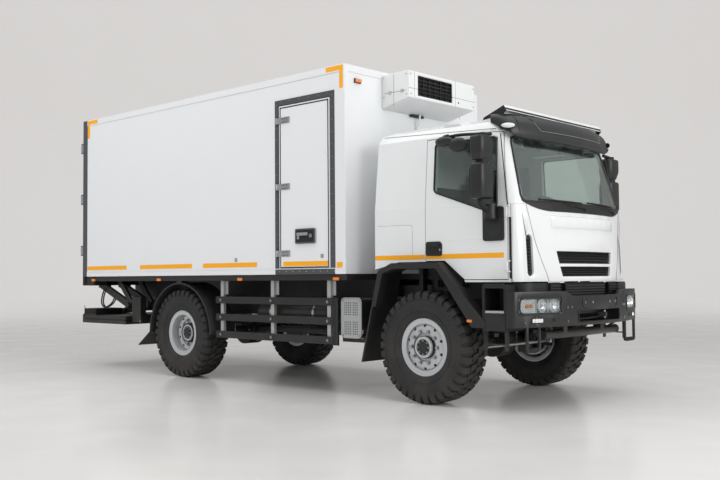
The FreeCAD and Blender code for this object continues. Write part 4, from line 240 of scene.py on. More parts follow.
class NodeTree:
    """Short ways to wire a node tree."""

    def __init__(self, tree: bpy.types.NodeTree) -> None:
        self.tree = tree

    def first(self, kind: str) -> bpy.types.Node:
        """Find a node by type.

        Args:
            kind: node type.

        Returns:
            The first such node.
        """
        return next(node for node in self.tree.nodes if node.type == kind)

    def remove(self, kind: str) -> None:
        """Remove the first node of a type.

        Args:
            kind: node type.
        """
        self.tree.nodes.remove(self.first(kind))

    def link(self, source: Socket, target: Socket) -> None:
        """Wire two sockets.

        Args:
            source: output socket.
            target: input socket.
        """
        self.tree.links.new(source, target)

    def add(self, kind: str, **settings: object) -> bpy.types.Node:
        """Add a node. Settings are inputs by name or by _number, or the node's own options.

        Args:
            kind: node type to create.
            settings: values or sockets to wire in.

        Returns:
            The new node.
        """
        node = self.tree.nodes.new(kind)
        for key, value in settings.items():
            if key in ("operation", "bands_direction", "data_type"):
                setattr(node, key, value)
                continue
            name = key.replace("_", " ")
            socket = node.inputs[int(key[1:])] if key[0] == "_" else node.inputs[name]
            if isinstance(value, Socket):
                self.link(value, socket)
            elif isinstance(value, tuple) and len(value) == 3 and socket.type == "RGBA":
                socket.default_value = (*value, 1.0)
            else:
                socket.default_value = value
        return node

    def noise(self, place: Socket, scale: float, detail: float) -> Socket:
        """Noise at a place.

        Args:
            place: socket with the place.
            scale: cycles a metre.
            detail: octaves.

        Returns:
            Socket from 0 to 1.
        """
        return self.add("ShaderNodeTexNoise", Vector=place, Scale=scale, Detail=detail).outputs["Fac"]

    def span(self, value: Socket, low: float, high: float, start: float, end: float) -> Socket:
        """Map a value from one span to another, clamped.

        Args:
            value: socket to map.
            low: where the span starts.
            high: where it ends.
            start: result at low.
            end: result at high.

        Returns:
            Socket with the result.
        """
        node = self.add("ShaderNodeMapRange", Value=value)
        for name, setting in (("From Min", low), ("From Max", high), ("To Min", start), ("To Max", end)):
            node.inputs[name].default_value = setting
        return node.outputs[0]

    def blend(self, share: Socket, first: object, second: object) -> Socket:
        """Mix two colours.

        Args:
            share: socket with the share of the second colour.
            first: colour or socket.
            second: colour or socket.

        Returns:
            Socket with the colour.
        """
        node = self.tree.nodes.new("ShaderNodeMix")
        node.data_type = "RGBA"
        self.link(share, node.inputs[0])
        for socket, colour in ((node.inputs[6], first), (node.inputs[7], second)):
            if isinstance(colour, Socket):
                self.link(colour, socket)
            else:
                socket.default_value = (*colour, 1.0)
        return node.outputs[2]


CAB_PAINT = Finish("cab white", (0.8, 0.81, 0.815), 0.22, coat=0.6, spread=0.012, grain=400, bump=0.02,
                   dust=0.06)
BOX_SKIN = Finish("box white", (0.8, 0.815, 0.825), 0.32, coat=0.25, spread=0.012, grain=220, bump=0.03)
UNIT_WHITE = Finish("unit white", (0.78, 0.79, 0.79), 0.38, spread=0.02, grain=300, bump=0.06)
FRAME_GREY = Finish("frame grey", (0.075, 0.078, 0.082), 0.42, metallic=0.2, grain=250, bump=0.05)
STAINLESS = Finish("stainless", (0.52, 0.53, 0.54), 0.3, metallic=1.0, grain=60, bump=0.08,
                   texture=Texture.BRUSHED)
CHASSIS = Finish("chassis black", (0.011, 0.0115, 0.012), 0.42, spread=0.2, grain=160, bump=0.2, dust=0.22)
BUMPER_BLACK = Finish("bumper black", (0.0085, 0.009, 0.0095), 0.4, spread=0.1, grain=350, bump=0.12,
                      dust=0.08)
MOULDING = Finish("black moulding", (0.0105, 0.011, 0.0115), 0.5, spread=0.12, grain=700, bump=0.35, dust=0.1)
MATT = Finish("matt black", (0.01, 0.01, 0.011), 0.7, spread=0.1, grain=400, bump=0.3)
SEAL = Finish("rubber seal", (0.012, 0.012, 0.013), 0.6, spread=0.1, grain=300, bump=0.1)
GUARD = Finish("guard grey", (0.02, 0.021, 0.022), 0.4, metallic=0.3, grain=200, bump=0.1, dust=0.12)
POST_GREY = Finish("post grey", (0.46, 0.46, 0.45), 0.42, metallic=0.4, grain=200, bump=0.1, dust=0.1)
LINING = Finish("cab lining", (0.06, 0.062, 0.066), 0.62, spread=0.08, grain=500, bump=0.3)
HEADLINER = Finish("headliner", (0.5, 0.5, 0.49), 0.8, spread=0.05, grain=600, bump=0.3)
SEAT_CLOTH = Finish("seat cloth", (0.06, 0.063, 0.072), 0.85, spread=0.15, grain=220, bump=0.6,
                    texture=Texture.WEAVE)
PLATE = Finish("worn plate", (0.5, 0.51, 0.52), 0.4, metallic=0.9, grain=60, bump=0.3,
               texture=Texture.DIMPLES)
SILVER = Finish("satin sheet", (0.5, 0.51, 0.515), 0.34, metallic=0.85, grain=120, bump=0.08, dust=0.1)
CASTING = Finish("casting", (0.07, 0.072, 0.076), 0.6, metallic=0.3, spread=0.2, grain=150, bump=0.5,
                 dust=0.3)
RIM_PAINT = Finish("rim silver", (0.546, 0.559, 0.572), 0.34, metallic=0.45, spread=0.04, grain=300,
                   bump=0.06, dust=0.1)
HUB_DARK = Finish("hub dark", (0.03, 0.03, 0.032), 0.45, metallic=0.4, spread=0.2, grain=200, bump=0.2,
                  dust=0.1)
RUBBER = Finish("tyre rubber", (0.0145, 0.0145, 0.0155), 0.7, spread=0.2, grain=260, bump=0.4, dust=0.16)
LIFT = Finish("lift steel", (0.014, 0.0145, 0.015), 0.45, metallic=0.2, spread=0.15, grain=120, bump=0.2,
              dust=0.25)
AMBER = Finish("amber strip", (0.98, 0.41, 0.002), 0.6, coat=0.08, spread=0.05, grain=420, bump=0.2,
               texture=Texture.DIMPLES)
AMBER_LENS = Finish("amber lens", (0.8, 0.2, 0.01), 0.15, coat=0.8, spread=0.05, grain=240, bump=0.4,
                    texture=Texture.RIBS, glow=0.06)
RED_LENS = Finish("red lens", (0.45, 0.012, 0.01), 0.15, coat=0.8, grain=240, bump=0.4, texture=Texture.RIBS,
                  glow=0.03)
WHITE_LENS = Finish("white lens", (0.75, 0.76, 0.76), 0.12, coat=1.0, spread=0.03, grain=200, bump=0.3,
                    texture=Texture.RIBS)
REFLECTOR = Finish("lamp bowl", (0.96, 0.965, 0.97), 0.24, metallic=0.8, spread=0.02, grain=90, bump=0.25)
MIRROR_SHELL = Finish("mirror shell", (0.0125, 0.013, 0.014), 0.42, spread=0.08, grain=900, bump=0.18,
                      dust=0.06)
VISOR_GREY = Finish("visor grey", (0.019, 0.02, 0.021), 0.45, spread=0.08, grain=400, bump=0.12, dust=0.05)
MIRROR = Finish("mirror", (0.8, 0.82, 0.83), 0.03, metallic=1.0, spread=0.01, grain=40, bump=0.01)
ZINC = Finish("zinc", (0.4, 0.4, 0.41), 0.35, metallic=1.0, grain=200, bump=0.1)
GREY_PAD = Finish("pale pad", (0.3, 0.31, 0.32), 0.4, spread=0.04, grain=300, bump=0.1)
GLASS = GlassFinish("cab glass", (0.885, 0.935, 0.91), 0.02, tint=1.0)
DOOR_GLASS = GlassFinish("door glass", (0.86, 0.92, 0.89), 0.02, tint=1.0)
CLEAR_GLASS = GlassFinish("lens glass", (0.93, 0.95, 0.95), 0.02, tint=0.97)

SLOTS: dict[str, Finish] = {"cab_paint": CAB_PAINT, "box_panel": BOX_SKIN, "unit_white": UNIT_WHITE,
                            "frame_grey": FRAME_GREY, "steel_trim": STAINLESS, "chassis_black": CHASSIS,
                            "bumper_black": BUMPER_BLACK, "black_plastic": MOULDING, "dark_trim": MATT,
                            "guard_grey": GUARD, "cab_lining": LINING, "seat_cloth": SEAT_CLOTH,
                            "floor_aluminium": PLATE, "silver_sheet": SILVER, "cast_grey": CASTING,
                            "rim_silver": RIM_PAINT, "tyre_rubber": RUBBER, "lift_steel": LIFT,
                            "lamp_clear": WHITE_LENS, "lamp_amber": AMBER_LENS, "cab_glass": GLASS}


def between(start: float, end: float, share: float) -> float:
    """A value part of the way along.

    Args:
        start: first value.
        end: last value.
        share: how far along, from 0 to 1.

    Returns:
        The value there.
    """
    return start + (end - start) * share


def angles(count: int, shift: float = 0.0) -> list[float]:
    """Even turns round a circle.

    Args:
        count: how many.
        shift: where the first stands, in steps.

    Returns:
        The turns in radians.
    """
    return [math.tau * (i + shift) / count for i in range(count)]


def rectangle(x: Span, y: Span) -> list[Span]:
    """Corners of a rectangle.

    Args:
        x: its first and last place the one way.
        y: its first and last place the other way.

    Returns:
        The corners in order.
    """
    return [(x[0], y[0]), (x[1], y[0]), (x[1], y[1]), (x[0], y[1])]


def walk(loop: Outline, stride: float) -> list[Span]:
    """Points along a closed outline.

    Args:
        loop: its corners.
        stride: about how far apart the points are.

    Returns:
        The points.
    """
    run: list[Span] = []
    for (x0, y0), (x1, y1) in zip(loop, [*loop[1:], loop[0]]):
        steps = max(1, int(math.hypot(x1 - x0, y1 - y0) / stride))
        run += [(between(x0, x1, i / steps), between(y0, y1, i / steps)) for i in range(steps)]
    return run


def add_object(name: str, data: bpy.types.ID) -> Thing:
    """Put a new object in the scene.

    Args:
        name: its name.
        data: its mesh, light or camera.

    Returns:
        The object.
    """
    thing = bpy.data.objects.new(name, data)
    bpy.context.scene.collection.objects.link(thing)
    return thing


def rounded_loop(corners: Outline, radius: float, steps: int = 5) -> list[Span]:
    """A closed outline with its corners rounded.

    Args:
        corners: the sharp outline.
        radius: radius asked for, less where a side is short.
        steps: facets of each corner.

    Returns:
        Points of the rounded outline.
    """
    points: list[Span] = []
    for index, corner in enumerate(corners):
        here = Vector(corner)
        before = Vector(corners[index - 1]) - here
        after = Vector(corners[(index + 1) % len(corners)]) - here
        cut = min(radius, before.length * 0.45, after.length * 0.45)
        start = here + before.normalized() * cut
        end = here + after.normalized() * cut
        for step in range(steps + 1):
            share = step / steps
            point = start * (1 - share) ** 2 + here * 2 * share * (1 - share) + end * share ** 2
            points.append((point.x, point.y))
    return points


def smooth_path(points: Sequence[Point], steps: int = 8) -> list[Vector]:
    """A smooth run through some points.

    Args:
        points: places it goes through.
        steps: facets from one to the next.

    Returns:
        Points along the run.
    """
    if len(points) < 3:
        return [Vector(p) for p in points]
    held = [Vector(points[0]), *map(Vector, points), Vector(points[-1])]
    run: list[Vector] = []
    for a, b, c, d in zip(held, held[1:], held[2:], held[3:]):
        for step in range(steps):
            t = step / steps
            run.append(0.5 * (2 * b + (c - a) * t + (2 * a - 5 * b + 4 * c - d) * t ** 2
                              + (3 * b - a - 3 * c + d) * t ** 3))
    run.append(held[-1])
    return run


class Piece:
    """Gathers simple solids into one piece that rides one body of the frame."""

    def __init__(self, name: str, body: str) -> None:
        self.name = name
        self.body = body
        self.vertices: list[Vector] = []
        self.faces: list[tuple[int, ...]] = []
        self.marks: list[int] = []
        self.finishes: list[Finish] = []

    def add(self, vertices: Iterable[Sequence[float]], faces: Iterable[Sequence[int]],
            finish: Finish) -> None:
        """Add a closed surface.

        Args:
            vertices: its points.
            faces: its faces by point number.
            finish: its finish.
        """
        base = len(self.vertices)
        if finish not in self.finishes:
            self.finishes.append(finish)
        self.vertices.extend(Vector(v) for v in vertices)
        before = len(self.faces)
        self.faces.extend(tuple(base + index for index in face) for face in faces)
        self.marks.extend([self.finishes.index(finish)] * (len(self.faces) - before))

    def box(self, x: Span, y: Span, z: Span, finish: Finish) -> None:
        """A block.

        Args:
            x: its span along the truck.
            y: its span across.
            z: its span in height.
            finish: its finish.
        """
        corners = [(a, b, c) for a in x for b in y for c in z]
        sides = ((0, 1, 3, 2), (4, 6, 7, 5), (0, 4, 5, 1), (2, 3, 7, 6), (0, 2, 6, 4), (1, 5, 7, 3))
        self.add(corners, sides, finish)

    def pair(self, x: Span, y: Span, z: Span, finish: Finish) -> None:
        """A block on each side of the truck.

        Args:
            x: their span along the truck.
            y: their span out from its middle.
            z: their span in height.
            finish: their finish.
        """
        for side, _ in SIDES:
            self.box(x, mirrored(side, *y), z, finish)

    def prism(self, outline: Outline, axis: Axis, low: float, high: float, finish: Finish) -> None:
        """A flat shape with thickness.

        Args:
            outline: its corners on the two other axes, in the row's order.
            axis: the way it is thick.
            low: where it starts.
            high: where it ends.
            finish: its finish.
        """
        count = len(outline)
        points = []
        for depth in (low, high):
            for u, v in outline:
                place = [u, v]
                place.insert(axis.value, depth)
                points.append(place)
        sides = [(i, (i + 1) % count, count + (i + 1) % count, count + i) for i in range(count)]
        self.add(points, [tuple(range(count)), tuple(range(2 * count - 1, count - 1, -1)), *sides], finish)

    def sweep(self, rings: Sequence[Sequence[Vector]], finish: Finish, closed: bool = False,
              caps: bool = True) -> None:
        """A skin over rings that have the same number of points.

        Args:
            rings: the rings in order.
            finish: its finish.
            closed: whether the last ring joins the first.
            caps: whether the two ends are shut.
        """
        count = len(rings[0])
        faces: list[tuple[int, ...]] = []
        for ring in range(len(rings) if closed else len(rings) - 1):
            here, there = ring * count, (ring + 1) % len(rings) * count
            faces.extend((here + i, here + (i + 1) % count, there + (i + 1) % count, there + i)
                         for i in range(count))
        if caps and not closed:
            faces.append(tuple(range(count)))
            faces.append(tuple(range(len(rings) * count - 1, (len(rings) - 1) * count - 1, -1)))
        self.add([point for ring in rings for point in ring], faces, finish)

    def tube(self, points: Sequence[Sequence[float]], radius: float, finish: Finish, sides: int = 12,
             closed: bool = False, smooth: bool = False, flat: float = 1.0) -> None:
        """A round bar or bead along a run.

        Args:
            points: the run.
            radius: its radius.
            finish: its finish.
            sides: facets round it.
            closed: whether it is a ring.
            smooth: whether the run is rounded through its points.
            flat: squash of the section along its second axis.
        """
        run = smooth_path([tuple(p) for p in points]) if smooth else [Vector(p) for p in points]
        count = len(run)
        rings = []
        normal = None
        for index, point in enumerate(run):
            before = run[index - 1] if closed or index else point
            after = run[(index + 1) % count] if closed or index < count - 1 else point
            along = (after - before).normalized()
            if normal is None:
                spare = Vector((0, 0, 1)) if abs(along.z) < 0.9 else Vector((1, 0, 0))
                normal = along.cross(spare).normalized()
            else:
                normal = (normal - along * normal.dot(along)).normalized()
            other = along.cross(normal)
            turns = angles(sides, 0.5)
            rings.append([point + normal * math.cos(t) * radius + other * math.sin(t) * radius * flat
                          for t in turns])
        self.sweep(rings, finish, closed)

    def bar(self, start: Sequence[float], end: Sequence[float], radius: float, finish: Finish,
            sides: int = 20, tip: Optional[float] = None) -> None:
        """A straight round bar.

        Args:
            start: centre of one end.
            end: centre of the other.
            radius: its radius.
            finish: its finish.
            sides: facets round it.
            tip: radius of the far end, if another.
        """
        a, b = Vector(start), Vector(end)
        along = (b - a).normalized()
        normal = along.cross(Vector((0, 0, 1)) if abs(along.z) < 0.9 else Vector((1, 0, 0))).normalized()
        other = along.cross(normal)
        turns = angles(sides)
        rings = [[place + (normal * math.cos(t) + other * math.sin(t)) * r for t in turns]
                 for place, r in ((a, radius), (b, radius if tip is None else tip))]
        self.sweep(rings, finish)

    def turned(self, profile: Outline, centre: Sequence[float], finish: Finish, axis: Axis = Axis.Y,
               steps: int = 56, closed: bool = False) -> None:
        """A turned solid.

        Args:
            profile: (along the axle, radius) corners in order.
            centre: the middle on the axle.
            finish: its finish.
            axis: the axle's direction.
            steps: facets round it.
            closed: whether the profile is a closed loop, so that it makes a ring.
        """
        rings = []
        for turn in angles(steps):
            ring = []
            for along, radius in profile:
                around = [math.cos(turn) * radius, math.sin(turn) * radius]
                around.insert(axis.value, along)
                ring.append(Vector(centre) + Vector(around))
            rings.append(ring)
        if closed:
            self.sweep(rings, finish, closed=True)
            return
        count = len(profile)
        faces: list[tuple[int, ...]] = []
        for step in range(steps):
            here, there = step * count, (step + 1) % steps * count
            faces.extend((here + i, here + i + 1, there + i + 1, there + i) for i in range(count - 1))
        faces.append(tuple(step * count for step in range(steps)))
        faces.append(tuple(step * count + count - 1 for step in range(steps)))
        self.add([point for ring in rings for point in ring], faces, finish)

    def patch(self, skin: Skin, us: Sequence[float], vs: Sequence[float], proud: float, finish: Finish,
              sunk: float = 0.004) -> None:
        """A panel that follows a curved skin.

        Args:
            skin: place on the skin for (u, v, height over it).
            us: stations the first way.
            vs: stations the other way.
            proud: height of its face over the skin.
            finish: its finish.
            sunk: how far it reaches into the skin.
        """
        self.shell(skin, [[(u, v) for v in vs] for u in us], proud, finish, sunk=sunk)

    def shell(self, skin: Skin, grid: Sequence[Outline], proud: float, finish: Finish,
              sunk: float = 0.004) -> None:
        """A panel over a grid of (u, v) places on a skin.

        Args:
            skin: place on the skin for (u, v, height over it).
            grid: rows of places.
            proud: height of its face over the skin.
            finish: its finish.
            sunk: how far it reaches into the skin.
        """
        rows, columns = len(grid), len(grid[0])
        points = [skin(u, v, height) for height in (proud, -sunk) for row in grid for u, v in row]
        faces = []
        layer = rows * columns
        for r in range(rows - 1):
            for c in range(columns - 1):
                a = r * columns + c
                quad = (a, a + 1, a + columns + 1, a + columns)
                faces.append(quad)
                faces.append(tuple(layer + i for i in reversed(quad)))
        rim = [*range(columns),
               *(r * columns + columns - 1 for r in range(1, rows)), *((rows - 1) * columns + c
                                                                       for c in range(columns - 2, -1, -1)),
               *(r * columns for r in range(rows - 2, 0, -1))]
        faces.extend((a, b, layer + b, layer + a) for a, b in zip(rim, rim[1:] + rim[:1]))
        self.add(points, faces, finish)

    def build(self, slot: str, bevel: float = 0.0, segments: int = 2, replaces: Sequence[str] = (),
              angle: float = 40.0) -> Thing:
        """Make the piece.

        Args:
            slot: the record's material slot; not used.
            bevel: width of its rounded edges.
            segments: facets of each edge.
            replaces: CAD nodes that it stands for.
            angle: edges sharper than this stay sharp.

        Returns:
            The finished object.
        """
        mesh = bpy.data.meshes.new(self.name)
        mesh.from_pydata(self.vertices, [], self.faces)
        for finish in self.finishes:
            mesh.materials.append(finish.material())
        mesh.polygons.foreach_set("material_index", self.marks)
        solid = bmesh.new()
        solid.from_mesh(mesh)
        bmesh.ops.recalc_face_normals(solid, faces=solid.faces)
        solid.to_mesh(mesh)
        solid.free()
        thing = add_object(self.name, mesh)
        smooth(thing, bevel, segments, angle)
        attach(thing, self.body)
        if replaces:
            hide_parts(*replaces)
        return thing


def smooth(thing: Thing, bevel: float, segments: int = 2, angle: float = 40.0, weld: bool = False) -> None:
    """Shade a piece smooth but for its sharp edges, and round those.

    Args:
        thing: the piece.
        bevel: width of the rounded edges, or none.
        segments: facets of each.
        angle: edges sharper than this count as sharp.
        weld: join points that lie together first, as CAD meshes need; the shading is then left as it is, not
            set smooth.
    """
    if weld:
        thing.modifiers.new("weld", "WELD").merge_threshold = 0.00002
    else:
        thing.data.shade_smooth()
        thing.data.set_sharp_from_angle(angle=math.radians(angle))
    if bevel:
        edge = thing.modifiers.new("edges", "BEVEL")
        edge.width = bevel
        edge.segments = segments
        edge.limit_method = "ANGLE"
        edge.angle_limit = math.radians(angle)
        edge.use_clamp_overlap = True
        edge.harden_normals = True


class Scatter:
    """Geometry Nodes trees that set one small shape at many places of a piece."""

    def __init__(self) -> None:
        self.round = self._tree("round heads", self._head)
        self.square = self._tree("slats", self._slat)

    def _tree(self, name: str, shape: Callable[[NodeTree, dict], Socket]) -> bpy.types.NodeTree:
        """One tree: a shape at each point, turned to the point's facing.

        Args:
            name: name of the tree.
            shape: makes the shape from the tree's inputs.

        Returns:
            The tree.
        """
        group = bpy.data.node_groups.new(name, "GeometryNodeTree")
        sides = group.interface
        sides.new_socket("Geometry", in_out="INPUT", socket_type="NodeSocketGeometry")
        for label, kind, value in (("Radius", "NodeSocketFloat", 0.01), ("Height", "NodeSocketFloat", 0.008),
                                   ("Corners", "NodeSocketInt", 6), ("Washer", "NodeSocketFloat", 1.4),
                                   ("Seed", "NodeSocketInt", 7), ("Material", "NodeSocketMaterial", None)):
            socket = sides.new_socket(label, in_out="INPUT", socket_type=kind)
            if value is not None:
                socket.default_value = value
        sides.new_socket("Geometry", in_out="OUTPUT", socket_type="NodeSocketGeometry")
        tree = NodeTree(group)
        inputs = tree.add("NodeGroupInput").outputs
        facing = tree.add("GeometryNodeInputNamedAttribute", data_type="FLOAT_VECTOR",
                          Name="facing").outputs[0]
        size = tree.add("GeometryNodeInputNamedAttribute", data_type="FLOAT_VECTOR", Name="size").outputs[0]
        turned = tree.add("FunctionNodeAlignRotationToVector", Vector=facing)
        turned.axis = "Z"
        spin = tree.add("FunctionNodeRandomValue", data_type="FLOAT", Max=math.tau, Seed=inputs["Seed"])
        spun = tree.add("FunctionNodeAxisAngleToRotation", Axis=(0.0, 0.0, 1.0), Angle=spin.outputs[1])
        whole = tree.add("FunctionNodeRotateRotation", Rotation=turned.outputs[0])
        whole.rotation_space = "LOCAL"
        if shape == self._head:
            tree.link(spun.outputs[0], whole.inputs["Rotate By"])
        placed = tree.add("GeometryNodeInstanceOnPoints", Points=inputs["Geometry"],
                          Instance=shape(tree, inputs), Rotation=whole.outputs[0], Scale=size)
        real = tree.add("GeometryNodeRealizeInstances", Geometry=placed.outputs[0])
        painted = tree.add("GeometryNodeSetMaterial", Geometry=real.outputs[0], Material=inputs["Material"])
        tree.link(painted.outputs[0], tree.add("NodeGroupOutput").inputs[0])
        return group

    @staticmethod
    def _head(tree: NodeTree, inputs: dict) -> Socket:
        """A bolt's head on its washer, standing on its point.

        Args:
            tree: tree to add to.
            inputs: the tree's inputs.

        Returns:
            Its geometry.
        """
        head = tree.add("GeometryNodeMeshCylinder", Vertices=inputs["Corners"], Radius=inputs["Radius"],
                        Depth=inputs["Height"]).outputs[0]
        half = tree.add("ShaderNodeMath", operation="MULTIPLY", _0=inputs["Height"], _1=0.5).outputs[0]
        rise = tree.add("ShaderNodeCombineXYZ", Z=half).outputs[0]
        lifted = tree.add("GeometryNodeTransform", Geometry=head, Translation=rise).outputs[0]
        wide = tree.add("ShaderNodeMath", operation="MULTIPLY", _0=inputs["Radius"],
                        _1=inputs["Washer"]).outputs[0]
        thin = tree.add("ShaderNodeMath", operation="MULTIPLY", _0=inputs["Height"], _1=0.3).outputs[0]
        washer = tree.add("GeometryNodeMeshCylinder", Vertices=16, Radius=wide, Depth=thin).outputs[0]
        both = tree.add("GeometryNodeJoinGeometry")
        tree.link(washer, both.inputs[0])
        tree.link(lifted, both.inputs[0])
        return both.outputs[0]

    @staticmethod
    def _slat(tree: NodeTree, inputs: dict) -> Socket:
        """A unit block, to be sized at each point.

        Args:
            tree: tree to add to.
            inputs: the tree's inputs.

        Returns:
            Its geometry.
        """
        return tree.add("GeometryNodeMeshCube", Size=(1.0, 1.0, 1.0)).outputs[0]

    def heads(self, name: str, body: str, places: Sequence[tuple[Point, Point]], radius: float,
              finish: Finish, slot: str, height: float = 0.0, corners: int = 6, washer: float = 1.5) -> Thing:
        """Bolt heads, nuts, rivets or discs at places of one body.

        Args:
            name: name of the piece.
            body: body it rides.
            places: (place, facing) of each.
            radius: radius of a head.
            finish: its finish.
            slot: the record's slot; not used.
            height: height of a head; worked out from the radius if zero.
            corners: sides of a head.
            washer: radius of its washer, in head radii.

        Returns:
            The piece.
        """
        values = {"Radius": radius, "Height": height or radius * 0.8, "Corners": corners, "Washer": washer}
        return self._set(name, body, self.round, [(p, f, (1, 1, 1)) for p, f in places], values, finish)

    def slats(self, name: str, body: str, places: Sequence[tuple[Point, Point, Point]], finish: Finish,
              slot: str) -> Thing:
        """Blocks at places of one body.

        Args:
            name: name of the piece.
            body: body it rides.
            places: (place, facing, size) of each.
            finish: its finish.
            slot: the record's slot; not used.

        Returns:
            The piece.
        """
        return self._set(name, body, self.square, places, {}, finish)

    def _set(self, name: str, body: str, tree: bpy.types.NodeTree,
             places: Sequence[tuple[Point, Point, Point]], values: dict[str, float], finish: Finish) -> Thing:
        """Run a tree over places and keep what it makes as a plain mesh.

        Args:
            name: name of the piece.
            body: body it rides.
            tree: the tree to run.
            places: (place, facing, size) of each copy.
            values: the tree's inputs by name.
            finish: finish of the copies.

        Returns:
            The piece.
        """
        seeds = bpy.data.meshes.new(name + " places")
        seeds.from_pydata([p for p, _, _ in places], [], [])
        for label, index in (("facing", 1), ("size", 2)):
            column = seeds.attributes.new(label, "FLOAT_VECTOR", "POINT")
            column.data.foreach_set("vector", [float(c) for place in places for c in place[index]])
        carrier = add_object(name + " places", seeds)
        modifier = carrier.modifiers.new("scatter", "NODES")
        modifier.node_group = tree
        for item in tree.interface.items_tree:
            if item.name in values:
                modifier[item.identifier] = values[item.name]
            elif item.name == "Material":
                modifier[item.identifier] = finish.material()
        bpy.context.view_layer.update()
        mesh = bpy.data.meshes.new_from_object(carrier.evaluated_get(bpy.context.evaluated_depsgraph_get()))
        bpy.data.objects.remove(carrier)
        mesh.name = name
        if not mesh.materials:
            mesh.materials.append(finish.material())
        thing = add_object(name, mesh)
        thing.data.shade_smooth()
        thing.data.set_sharp_from_angle(angle=math.radians(35))
        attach(thing, body)
        return thing


@dataclass(frozen=True)
class CabSkin:
    """The cab's outer surface, as its panels were drawn: place on the front or a side."""

    levels: tuple[float, ...] = (1.265, 2.045, 2.79, 2.88, 2.935)
    reach: tuple[float, ...] = (1.275, 1.24, 1.01, 0.95, 0.8)
    half: tuple[float, ...] = (1.12, 1.12, 1.065, 1.02, 0.88)
    crown: float = 3.6

    def _at(self, table: Sequence[float], z: float) -> float:
        """A table's value at a height.

        Args:
            table: one value for each level.
            z: the height.

        Returns:
            The value between the levels.
        """
        for low, high, a, b in zip(self.levels, self.levels[1:], table, table[1:]):
            if z <= high:
                return between(a, b, max(0.0, (z - low) / (high - low)))
        return table[-1]

    def front(self, y: float, z: float, proud: float = 0.0) -> Point:
        """Place on the crowned front.

        Args:
            y: place across.
            z: height.
            proud: how far in front of the surface.

        Returns:
            The place.
        """
        return (FRONT_AXLE + self._at(self.reach, z) - self.crown + math.sqrt(self.crown ** 2 - y * y)
                + proud, y, z)

    def flank(self, side: int) -> Skin:
        """The skin of one side.

        Args:
            side: which side.

        Returns:
            Place for (x, z, height over the skin).
        """
        return lambda x, z, proud=0.0: (x, side * (self._at(self.half, z) + proud), z)


SKIN = CabSkin()


def bumper_face(y: float, z: float, proud: float = 0.0) -> Point:
    """Place on the bumper's crowned face.

    Args:
        y: place across.
        z: height.
        proud: how far in front of the face.

    Returns:
        The place.
    """
    fall = BUMPER_CROWN - math.sqrt(BUMPER_CROWN ** 2 - y * y)
    return (FRONT_AXLE + 1.4 - fall + proud, y, z)


def mirrored(side: int, low: float, high: float) -> Span:
    """A span across the truck on one side.

    Args:
        side: which side.
        low: inner edge.
        high: outer edge.

    Returns:
        The span in rising order.
    """
    return (low, high) if side > 0 else (-high, -low)


def grid_line(low: float, high: float, steps: int) -> list[float]:
    """Stations at even steps.

    Args:
        low: first.
        high: last.
        steps: number of steps.

    Returns:
        The stations.
    """
    return [between(low, high, i / steps) for i in range(steps + 1)]


class Part:
    """One sub-assembly of the looks."""

    def __init__(self, scatter: Scatter) -> None:
        self.scatter = scatter

    def build(self) -> None:
        """Make its pieces."""
        raise NotImplementedError


@dataclass(frozen=True)
class BoxSizes:
    """Sizes of what is fixed to the insulated box."""

    strip_low: float = 1.456
    strip_high: float = 1.514
    strip_proud: float = 0.0012
    edge_height: float = 0.085
    edge_proud: float = 0.004
    mark_width: float = 0.055
    rivet: float = 0.004


